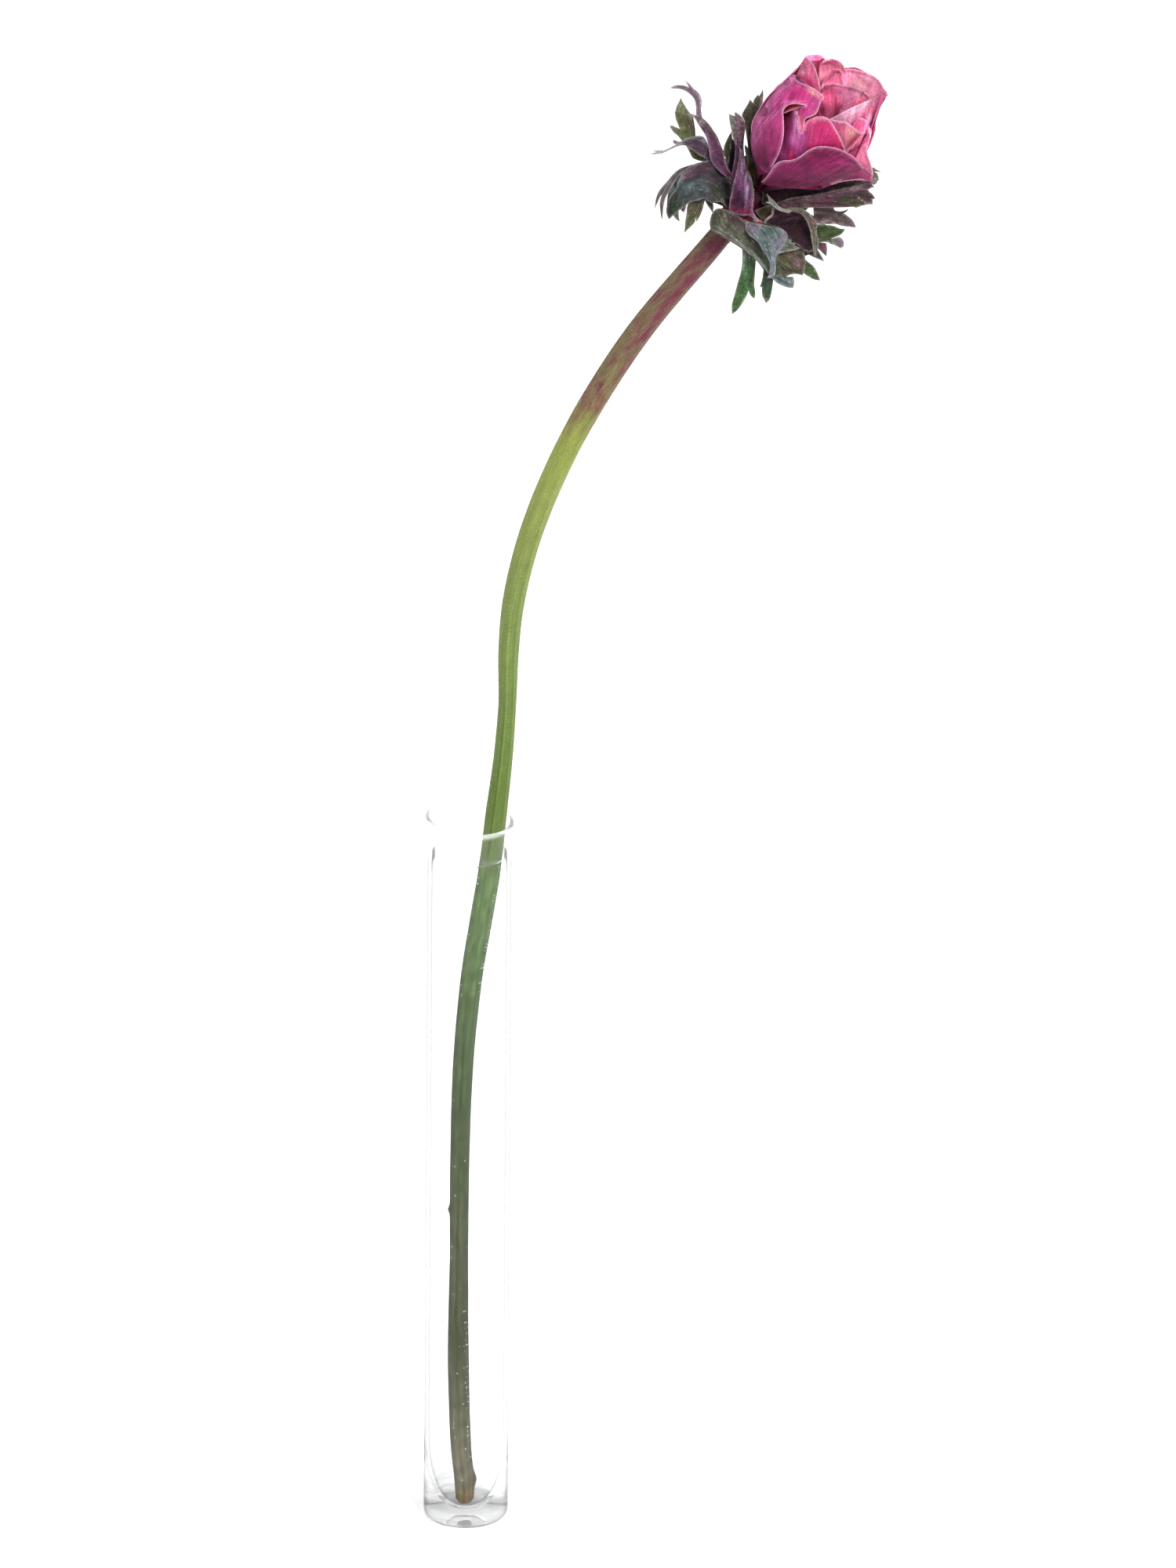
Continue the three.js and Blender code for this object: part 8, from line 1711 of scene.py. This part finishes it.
def add_petal(shape, petal, rows, size, seed, claw):
    """A petal as a curved sheet through rows of points round the bud."""
    foot, outer, inner, margin = (srgb(*c) for c in petal["colours"])
    marks = petal.get("marks", [])
    bare = petal.get("bare")
    rows_out, columns_out = size
    grid = []
    for i in range(rows_out + 1):
        line = []
        for j in range(columns_out + 1):
            across = [smooth(row, j / columns_out) for row in rows]
            line.append(bud_point(*smooth(across, i / rows_out)))
        grid.append(line)

    def away(point):
        out = point - BUD_BASE
        return out - BUD_AXIS * out.dot(BUD_AXIS)

    i, j = rows_out * 2 // 3, columns_out // 2
    normal = (grid[i][j + 1] - grid[i][j - 1]).cross(grid[i + 1][j] - grid[i - 1][j])
    sign = 1 if normal.dot(away(grid[i][j])) > 0 else -1

    def margin_distance(u, v):
        left = 1 if bare == 0 and u < 0.75 else v
        right = 1 if bare == 1 and u < 0.75 else 1 - v
        return min(left, right, 1 - u)

    def shift(i, j):
        u, v = i / rows_out, j / columns_out
        edge = margin_distance(u, v)
        free = ease(claw, claw + 0.15, u)
        ripple = wander(v * 7 + 3, u * 7, 0, seed) * 0.6 * ease(0.16, 0, edge)
        curl = 0.4 * ease(0.09, 0, edge)
        swell = wander(v * 2.6, u * 3.2, 0.5, seed) * 0.6
        ribs = 0.05 * math.sin(v * 46 + 3 * wander(v * 4, u * 2, 2, seed)) * ease(0.03, 0.15, edge)
        return sign * (ripple + curl + swell + ribs) * free

    def place(i, j):
        return (j / columns_out + seed, i / rows_out + seed * 0.37)

    def tint(i, j, normal):
        u, v = i / rows_out, j / columns_out
        point = grid[i][j]
        body = outer if normal.dot(away(point)) > 0 else inner
        height = (point - BUD_BASE).dot(BUD_AXIS)
        colour = blend(foot, body, ease(0, 17, height + 3 * wander(v * 5, 0, 0, seed)))
        if point.z > BUD_BASE.z - 4:
            colour = marked(colour, marks, point)
        streak = wander(v * 16, u * 1.6, 0, seed) * 0.6 + wander(v * 44, u * 3, 1, seed) * 0.5
        colour = tuple(c * (1 + 0.3 * streak) for c in colour)
        cloud = wander(point.x * 0.35, point.y * 0.35, point.z * 0.35, seed)
        colour = tuple(c * (1 + 0.22 * cloud) for c in colour)
        edge = margin_distance(u, v)
        free = ease(claw, claw + 0.1, u)
        # Painted highlight: the colour turns to the pale margin colour near the petal's free edges.
        colour = blend(colour, margin, 0.34 * ease(0.14, 0.0, edge) * free)
        return blend(colour, margin, 0.9 * ease(0.02, 0.004, edge) * free)

    add_sheet(shape, grid, PETAL_THICKNESS, place, tint, shift=shift)


def add_face(shape, face, seed):
    """A petal drawn by its outline, laid on the egg shape."""
    front = face["side"] == FRONT
    line, bare = rounded(face["outline"], PETAL_OUTLINE_STEP)
    spots, cells = spread(line, PETAL_MESH_STEP)
    outer, free = Margin(line), Margin(line, bare)
    foot = Vector(face["foot"])
    base = srgb(*face["colour"])
    # A paler colour, for the painted highlight along the free margins.
    light = blend(base, (1, 0.72, 0.84), 0.55)
    upper, lower, places, tints, lower_tints = [], [], [], [], []
    for spot in spots:
        depth = bud_depth(spot, near_mean(spot, face["lift"]), face["side"])
        edge, rim = outer.gap(spot), free.gap(spot)
        away = spot - foot
        along, across = away.length, math.atan2(away.y, away.x) * 12
        depth += face["curl"] * ease(0.75, 0.05, rim) - 0.12 * ease(0.5, 0.9, rim) * ease(1.6, 0.9, rim)
        depth += 0.3 * wander(spot.x * 0.28, spot.y * 0.28, 0, seed)
        depth += (0.07 * wander(across * 1.6, along * 0.16, 2, seed)) * ease(0.3, 1, rim)
        half = PETAL_THICKNESS / 2 * mix(0.35, 1, ease(0, 0.4, edge))
        upper.append(Vector((spot.x, spot.y, depth + half)))
        lower.append(Vector((spot.x, spot.y, depth - half)))
        places.append((across * 0.05 + seed, along * 0.05))
        colour = marked(base, face["marks"], upper[-1])
        streak = 0.6 * wander(across * 1.1, along * 0.1, 0, seed)
        streak += 0.6 * wander(across * 3, along * 0.28, 1, seed)
        speck = wander(spot.x * 3.2, spot.y * 3.2, 0, seed) + wander(spot.x * 6, spot.y * 6, 0, seed + 3)
        cloud = wander(spot.x * 0.6, spot.y * 0.6, 4, seed)
        shade = max(0.3, 1 + (0.5 if front else 0.2) * streak + 0.2 * speck + 0.2 * cloud)
        # Painted light from above on the front faces: darker low down, lighter high up.
        shade *= mix(0.82, 1.3, ease(8, 30, spot.y)) if front else 1
        colour = tuple(min(1.15, c * gain * shade) for c, gain in zip(colour, face["gain"]))
        # Painted highlight along the free margins: paler near them, then one pink at the very edge.
        colour = blend(colour, light, 0.2 * ease(0.9, 0.1, rim))
        colour = blend(colour, (0.6, 0.26, 0.38), 0.7 * ease(0.22, 0.06, rim))
        tints.append(colour)
        # The layer turned away from the front is a darker copy: painted shade, strongest on the faces at the
        # back, where it takes the gain's painted light off their outer side.
        lower_tints.append(tuple(c * (0.9 if front else 0.4) for c in colour))
    add_layers(shape, upper, lower, cells, places, tints, lower_tints)


def sunk(rows):
    """A petal's rows a little deeper, where they back the face that is drawn by its outline."""
    return [[(x, y, lift - SUNK * (facing[0] if facing else FRONT), *facing) for x, y, lift, *facing in row]
            for row in rows]


def make_bloom():
    shape = Shape()
    for petal in PETALS.values():
        rows = petal["rows"]
        start = len(shape.tints)
        add_petal(shape, petal, seen_petal(sunk(rows)), PETAL_GRID, petal["seed"], 3 / (len(rows) + 2))
        # The backing petals get painted shade, and towards their foot they turn to the dark painted shade
        # colour.
        for i in range(start, len(shape.tints)):
            tint = tuple(c * share for c, share in zip(shape.tints[i], SUNK_SHADE))
            shape.tints[i] = blend(srgb(*SUNK_FOOT_SHADE), tint, ease(3.5, 8.5, shape.points[i].y))
    for k, face in enumerate(PETAL_FACES.values()):
        add_face(shape, face, k + FACE_SEED)
    for k, petal in enumerate(HIDDEN_PETALS):
        look = {"colours": HIDDEN_COLOURS}
        add_petal(shape, look, hidden_petal(petal), HIDDEN_GRID, k + HIDDEN_SEED, HIDDEN_CLAW)
    add_core(shape)
    skin = textured("petal skin", 0.6, 0.02, (50, 3), 0.18, (90, 64), 0.3, 0.08)
    return shape.build("petals", skin, HEAD)


def add_core(shape):
    """The bud's solid middle, which shows only as a dark ground deep between the petals."""
    points = []
    for k, height in enumerate(CORE_HEIGHTS):
        round_off = math.sqrt(max(0.02, 1 - (max(height, 10) - 10) ** 2 / 6.5 ** 2))
        for i in range(CORE_SIDES):
            turn = 2 * math.pi * i / CORE_SIDES
            share = 0.65 if k == 0 else 0.78
            points.append(bud_point(turn, height, bud_radius(max(height, 1.5), turn) * share * round_off))
    places = [(i / CORE_SIDES, 0.1) for i in range(len(points))]
    tints = [srgb(*CORE_COLOUR)] * len(points)
    shape.add(points, ring_faces(len(CORE_HEIGHTS), CORE_SIDES), places, tints)


# Ruff
def blade_width(t, widest, root):
    if t < widest:
        return root + (1 - root) * math.sin(t / widest * math.pi / 2)
    return max(0.04, math.cos((t - widest) / (1 - widest) * math.pi / 2) ** 0.8)


def collar_root(point):
    away = Vector(point) - COLLAR_CENTRE
    out = (away - COLLAR_AXIS * away.dot(COLLAR_AXIS)).normalized()
    return list(COLLAR_CENTRE + out * (COLLAR_OUTER - 0.8))


def leaf_tint(base, marks, point, along, across, edge, seed):
    """A leaf's colour: its base, marks and mottle, streaks along its veins and a thin pale hairy margin.
    edge is the distance from the margin in mm, along and across are places by its midrib in mm."""
    colour = marked(srgb(*base), marks, point)
    near = (point - COLLAR_CENTRE).length
    near += 1.5 * wander(point.x, point.y, point.z, seed)
    colour = blend(srgb(*CRIMSON), colour, ease(3.6, 7.5, near))
    streak = wander(across * 2.4, along * 0.22, 0, seed) + 0.7 * wander(across * 5, along * 0.5, 1, seed)
    mottle = wander(point.x * 0.8, point.y * 0.8, point.z * 0.8, seed + 4)
    mottle += 0.6 * wander(point.x * 2.2, point.y * 2.2, point.z * 2.2, seed + 5)
    colour = tuple(c * max(0.35, 1 + 0.5 * streak + 0.36 * mottle) for c in colour)
    vein = 1 - min(1, abs(wander(across * 1.7, along * 0.12, 3, seed)) / 0.07)
    share = clamp(0.55 + 0.6 * wander(point.x * 0.5, point.y * 0.5, 6, seed))
    colour = tuple(c * (1 + 1.3 * max(0, vein)) * LEAF_SHADE for c in colour)
    colour = blend(colour, srgb(*PALE), 0.1 * share * ease(0.7, 0.0, edge))
    return blend(colour, srgb(*PALE), 0.36 * share * ease(0.22, 0.04, edge))


# Leaf ends drawn by their outline
def rounded(outline, step):
    """An outline in short steps, rounded except at its tips and notches, and which of the steps are bare."""
    knots = [Vector(p[:2]) for p in outline]
    count = len(knots)

    def sharp(k):
        a, b, c = knots[k - 1], knots[k % count], knots[(k + 1) % count]
        return (b - a).angle(c - b) > 0.95

    line, bare = [], []
    for k in range(count):
        b, c = knots[k], knots[(k + 1) % count]
        a = b * 2 - c if sharp(k) else knots[k - 1]
        d = c * 2 - b if sharp(k + 1) else knots[(k + 2) % count]
        length = (c - b).length
        start = (c - a) * (length / ((b - a).length + length))
        end = (d - b) * (length / ((d - c).length + length))
        steps = max(1, round(length / step))
        for s in range(steps):
            u = s / steps
            away = start * u + (3 * (c - b) - 2 * start - end) * u * u + (2 * (b - c) + start + end) * u ** 3
            line.append(b + away)
            bare.append(len(outline[k]) > 2 or (s > 0 and len(outline[(k + 1) % count]) > 2))
    return line, bare


def spread(line, step):
    """Places inside an outline on a fine mesh, the outline's own first, and the triangles between them."""
    margin = Margin(line)
    low = Vector((min(p.x for p in line), min(p.y for p in line)))
    high = Vector((max(p.x for p in line), max(p.y for p in line)))
    spots, row, y = list(line), 0, low.y
    while y < high.y:
        x = low.x + step / 2 * (row % 2)
        while x < high.x:
            spot = Vector((x, y))
            if inside(spot, line) and margin.gap(spot) > step * 0.42:
                spots.append(spot)
            x += step
        y += step * 0.87
        row += 1
    spots, _, cells = delaunay_2d_cdt(spots, [], [list(range(len(line)))], 1, 1e-6)[:3]
    return spots, [list(cell) for cell in cells]


def near_mean(spot, knots):
    """Mean of the last values of knots, the nearest ones counting most."""
    weights = [1 / ((spot.x - x) ** 2 + (spot.y - y) ** 2 + 0.3) ** 1.5 for x, y, _ in knots]
    return sum(w * value for w, (_, _, value) in zip(weights, knots)) / sum(weights)


def add_layers(shape, upper, lower, cells, places, upper_tints, lower_tints):
    """Two layers of the same triangles, back to back, closed along their margin."""
    count = len(upper)
    faces = [tuple(cell) for cell in cells] + [tuple(count + i for i in reversed(cell)) for cell in cells]
    edges = {(a, b) for cell in cells for a, b in zip(cell, cell[1:] + cell[:1])}
    faces += [(b, a, a + count, b + count) for a, b in sorted(edges) if (b, a) not in edges]
    shape.add(upper + lower, faces, places * 2, upper_tints + lower_tints)


def tree_of(numbered):
    """A search tree of numbered places in the plane."""
    tree = kdtree.KDTree(len(numbered))
    for k, spot in numbered:
        tree.insert((spot.x, spot.y, 0), k)
    tree.balance()
    return tree


class Margin:
    """An outline that tells how far a place is from it. Bare edges can be left out."""

    def __init__(self, line, bare=None):
        self.line = line
        self.bare = bare or [False] * len(line)
        self.tree = tree_of([(k, spot) for k, spot in enumerate(line) if not self.bare[k]])

    def gap(self, spot):
        _, near, best = self.tree.find((spot.x, spot.y, 0))
        for k in (near - 1, near):
            if self.bare[k] or self.bare[(k + 1) % len(self.line)]:
                continue
            a, b = self.line[k], self.line[(k + 1) % len(self.line)]
            way = b - a
            t = clamp((spot - a).dot(way) / max(1e-9, way.length_squared))
            best = min(best, (a + way * t - spot).length)
        return best


def inside(spot, line):
    crossed = False
    for a, b in zip(line, line[1:] + line[:1]):
        if (a.y > spot.y) != (b.y > spot.y) and spot.x < a.x + (b.x - a.x) * (spot.y - a.y) / (b.y - a.y):
            crossed = not crossed
    return crossed


def by_midrib(spot, line):
    """Place of a spot along a midrib and across it."""
    best, found, passed = 1e9, (0, 0), 0
    for a, b in zip(line, line[1:]):
        way = b - a
        length = way.length
        t = clamp((spot - a).dot(way) / (length * length))
        away = spot - (a + way * t)
        if away.length < best:
            best = away.length
            found = (passed + t * length, best if way.cross(away) > 0 else -best)
        passed += length
    return found


def add_end(shape, end, seed, dice):
    """A leaf end drawn by its outline, with short hairs along its margin."""
    outline, depths, vein, base, cup, marks = end
    line, _ = rounded(outline, LEAF_OUTLINE_STEP)
    spots, cells = spread(line, LEAF_MESH_STEP)
    margin = Margin(line)
    flat_vein = [(*p, 0) for p in vein]
    midrib = [Vector(curve(flat_vein, k / MIDRIB_STEPS)[:2]) for k in range(MIDRIB_STEPS + 1)]
    upper, lower, places, tints, lower_tints = [], [], [], [], []
    for spot in spots:
        edge = margin.gap(spot)
        along, across = by_midrib(spot, midrib)
        depth = near_mean(spot, depths) + cup * abs(across) - 0.1 * math.exp(-(across / 0.22) ** 2)
        ribs = 0.06 * math.cos(across * 8) * ease(0.1, 0.8, edge)
        depth += ribs + 0.35 * wander(spot.x * 0.4, spot.y * 0.4, 0, seed)
        half = LEAF_THICKNESS / 2 * mix(0.35, 1, ease(0, 0.5, edge))
        upper.append(Vector((spot.x, spot.y, depth + half)))
        lower.append(Vector((spot.x, spot.y, depth - half)))
        places.append((across * 0.24 + seed, along * 0.1))
        tints.append(leaf_tint(base, marks, upper[-1], along, across, edge, seed))
        lower_tints.append(leaf_tint(base, marks, lower[-1], along, across, edge, seed))
    add_layers(shape, upper, lower, cells, places, tints, lower_tints)
    tree = tree_of(list(enumerate(spots)))
    for k, spot in enumerate(line):
        if dice.random() < HAIR_SHARE:
            ahead = line[(k + 1) % len(line)] - spot
            out = Vector((ahead.y, -ahead.x))
            if inside(spot + out.normalized() * 0.1, line):
                out = -out
            way = Vector((out.x, out.y, 0)).normalized()
            way += Vector((dice.uniform(-0.6, 0.6), dice.uniform(-0.6, 0.6), dice.uniform(-0.4, 0.6)))
            root = upper[tree.find((spot.x, spot.y, 0))[1]]
            length = dice.uniform(*HAIR_LENGTH)
            add_hair(shape, root, way.normalized(), length, HAIR_WIDTH, srgb(*HAIR_COLOUR))


def add_blade(shape, rib, width, look, seed, steps, face=(0, 0.2, 1), rise=0.2, widest=0.45, root=0.6):
    """A slim leaf along a rib, its upper side turned to face."""
    face = Vector(face)
    grid = []
    reach = sum((Vector(b) - Vector(a)).length for a, b in zip(rib, rib[1:]))
    for i in range(steps + 1):
        t = i / steps
        place = curve(rib, t)
        along = (curve(rib, min(1, t + 0.01)) - curve(rib, max(0, t - 0.01))).normalized()
        across = along.cross(face).normalized()
        normal = across.cross(along).normalized()
        half = width * blade_width(t, widest, root)
        half *= 1 + 0.1 * wander(t * reach * 0.5, 0, 0, seed) * ease(0, 0.2, t)
        line = []
        for j in range(BLADE_COLUMNS + 1):
            side = 2 * j / BLADE_COLUMNS - 1
            lift = half * rise * abs(side) ** 1.4
            lift += 0.25 * half * wander(t * reach * 0.28, side * 0.8, 0, seed + 2) * abs(side)
            line.append(place + across * (half * side) + normal * lift)
        grid.append(line)

    def place_of(i, j):
        return (j / BLADE_COLUMNS * width * 0.5 + seed, i / steps * reach * 0.1)

    def tint(i, j, normal):
        half = width * blade_width(i / steps, widest, root)
        across = half * (2 * j / BLADE_COLUMNS - 1)
        return leaf_tint(*look, grid[i][j], i / steps * reach, across, half - abs(across), seed)

    add_sheet(shape, grid, LEAF_THICKNESS, place_of, tint)


def add_broad(shape, frond, seed):
    """A broad frond as a curved sheet through rows of points, with its slim lobes."""
    rows = [[(x, y, z - FROND_SINK) for x, y, z in row] for row in frond["rows"]]
    rows.insert(0, [collar_root(p) for p in rows[0]])
    steps, columns = FROND_GRID
    look = frond["colour"], frond["marks"]

    def at(u, v):
        return smooth([smooth(row, v) for row in rows], u)

    grid = [[Vector(at(i / steps, j / columns)) for j in range(columns + 1)] for i in range(steps + 1)]

    def shift(i, j):
        u, v = i / steps, j / columns
        ribs = 0.16 * math.cos(v * 2 * math.pi * FROND_RIBS) * ease(0.02, 0.2, u)
        return ribs + 0.3 * wander(v * 3, u * 3, 0, seed) * ease(0.1, 0.4, u)

    def place(i, j):
        return (j / columns * 3 + seed, i / steps * 2)

    reach = (grid[-1][columns // 2] - grid[0][columns // 2]).length

    def tint(i, j, normal):
        wide = (grid[i][-1] - grid[i][0]).length
        across = wide * (j / columns - 0.5)
        edge = min(wide / 2 - abs(across), reach * (1 - i / steps))
        return leaf_tint(*look, grid[i][j], i / steps * reach, across, edge, seed)

    add_sheet(shape, grid, LEAF_THICKNESS, place, tint, shift=shift)
    for k, (start, rib, width) in enumerate(frond.get("lobes", [])):
        add_blade(shape, [at(*start), *rib], width, look, seed + k + 1, LOBE_STEPS)


def add_back_frond(shape, frond, seed):
    """A frond that is hidden behind the bud, made by rule, with two pairs of lobes."""
    turn, lean = math.radians(frond["angle"]), math.radians(frond["rise"])
    out = BUD_SIDE * math.cos(turn) + BUD_FAR * math.sin(turn)
    aside = BUD_FAR * math.cos(turn) - BUD_SIDE * math.sin(turn)
    length = frond["length"]
    look = BACK_LEAF_COLOUR, []

    def point(reach, spread):
        up = reach * math.sin(lean) * (1.25 - 0.6 * reach / length)
        return list(COLLAR_CENTRE + out * (reach * math.cos(lean)) + COLLAR_AXIS * up + aside * spread)

    rib = [point(share * length, 0) for share in (0.35, 0.7, 1)]
    rib.insert(0, collar_root(rib[0]))
    add_blade(shape, rib, BACK_WIDTH, look, seed, BACK_STEPS, BUD_AXIS, rise=0.25, widest=0.4, root=0.5)
    pairs = [(start, size, side) for start, size in ((0.3, 0.5), (0.52, 0.36)) for side in (-1, 1)]
    for k, (start, size, side) in enumerate(pairs):
        reach = start * length
        lobe = [point(reach + size * 10, side * size * 7), point(reach + size * 20, side * size * 13)]
        lobe.insert(0, curve(rib, start))
        add_blade(shape, lobe, BACK_LOBE_WIDTH, look, seed + k + 1, LOBE_STEPS, BUD_AXIS)


def add_collar(shape):
    side = BUD_SIDE
    across = COLLAR_AXIS.cross(side).normalized()
    half = COLLAR_HEIGHT / 2
    profile = [(COLLAR_HOLE, -half), (COLLAR_OUTER - 0.9, -half), (COLLAR_OUTER - 0.2, -half * 0.7)]
    profile += [(COLLAR_OUTER, -half * 0.3), (COLLAR_OUTER, half * 0.3), (COLLAR_OUTER - 0.2, half * 0.7)]
    profile += [(COLLAR_OUTER - 0.9, half), (COLLAR_HOLE, half)]
    points = []
    for radius, height in profile:
        for i in range(COLLAR_SIDES):
            turn = 2 * math.pi * i / COLLAR_SIDES
            reach = radius + (0.15 * math.cos(9 * turn) if radius > COLLAR_HOLE else 0)
            points.append(COLLAR_CENTRE + COLLAR_AXIS * height + side * (reach * math.cos(turn))
                          + across * (reach * math.sin(turn)))
    faces = ring_faces(len(profile), COLLAR_SIDES, closed=True)
    places = [(i / COLLAR_SIDES, 0) for i in range(len(points))]
    shape.add(points, faces, places, [srgb(*COLLAR_COLOUR)] * len(points))


def make_ruff():
    shape = Shape()
    dice = random.Random(LEAF_DICE)
    for k, frond in enumerate(BROAD_FRONDS):
        add_broad(shape, frond, FROND_SEED + FROND_SEED_STEP * k)
    for k, end in enumerate(LEAF_ENDS.values()):
        add_end(shape, end, LEAF_SEED + LEAF_SEED_STEP * k, dice)
    for k, frond in enumerate(BACK_FRONDS):
        add_back_frond(shape, frond, BACK_SEED + FROND_SEED_STEP * k)
    add_collar(shape)
    skin = textured("leaf skin", 0.6, 0.04, (26, 1.6), 0.34, (30, 30), 0.3, 0.14)
    return shape.build("leaf_ruff", skin, HEAD)


def finish_piece(piece, node):
    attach(piece, "root")
    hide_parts(node)


tube = make_tube()
water = make_water()
stem = make_stem()
ruff = make_ruff()
bloom = make_bloom()
finish_piece(tube, "glass_tube")
finish_piece(water, "water")
finish_piece(stem, "stem")
finish_piece(ruff, "ruff")
finish_piece(bloom, "bloom")


# Floor, light and camera
def make_table(size):
    paint = Paint("white table")
    paint.set("Base Color", (0.98, 0.98, 0.98, 1))
    paint.set("Roughness", 1)
    mesh = bpy.data.meshes.new("table")
    half = size / 2
    corners = [(-half, -half, 0), (half, -half, 0), (half, half, 0), (-half, half, 0)]
    mesh.from_pydata(corners, [], [(0, 1, 2, 3)])
    return add_object("table", mesh, paint.material)


floor = make_table(8)
floor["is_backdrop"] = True

world = bpy.data.worlds.new("studio")
bpy.context.scene.world = world
world.use_nodes = True
world.node_tree.nodes["Background"].inputs["Color"].default_value = (1, 1, 1, 1)
world.node_tree.nodes["Background"].inputs["Strength"].default_value = 1.0

LIT_PLACE = Vector((0.03, 0, 0.25))


def softbox(name, place, size, power):
    light = bpy.data.lights.new(name, "AREA")
    light.shape = "DISK"
    light.size = size
    light.energy = power
    lamp = bpy.data.objects.new(name, light)
    lamp.location = place
    lamp.rotation_euler = (LIT_PLACE - Vector(place)).to_track_quat("-Z", "Y").to_euler()
    bpy.context.scene.collection.objects.link(lamp)


softbox("key", (0.9, -1.4, 1.75), 1.0, 60)
softbox("fill", (-1.4, -1.1, 0.9), 1.2, 8)

# Places in the picture are counted in the photo's pixels, from the vase's foot
PIXEL = 0.2028 * MM
PICTURE_HEIGHT = 2000
PICTURE_MIDDLE = 750
VASE_ACROSS = 593
ROLL_UP = 932.8
AIM_UP = 935.8
ROLL = 0.00698
ELEVATION = math.radians(24)
DISTANCE = 12.0
SENSOR = 36
camera = bpy.data.cameras.new("camera")
camera.sensor_fit = "VERTICAL"
camera.sensor_height = SENSOR
camera.lens = SENSOR * DISTANCE / (PICTURE_HEIGHT * PIXEL)
camera.clip_end = 100
view = bpy.data.objects.new("camera", camera)
bpy.context.scene.collection.objects.link(view)
bpy.context.scene.camera = view
look = Vector((0, math.cos(ELEVATION), -math.sin(ELEVATION)))
across = (PICTURE_MIDDLE - VASE_ACROSS - ROLL_UP * ROLL) * PIXEL
view.location = Vector((across, 0, AIM_UP * PIXEL / math.cos(ELEVATION))) - look * DISTANCE
turned = look.to_track_quat("-Z", "Y") @ Matrix.Rotation(ROLL, 3, "Z").to_quaternion()
view.rotation_euler = turned.to_euler()

bpy.context.scene.view_settings.view_transform = "Standard"

sizes["dressed"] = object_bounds()
{key: [list(corner) for corner in value] for key, value in sizes.items()}
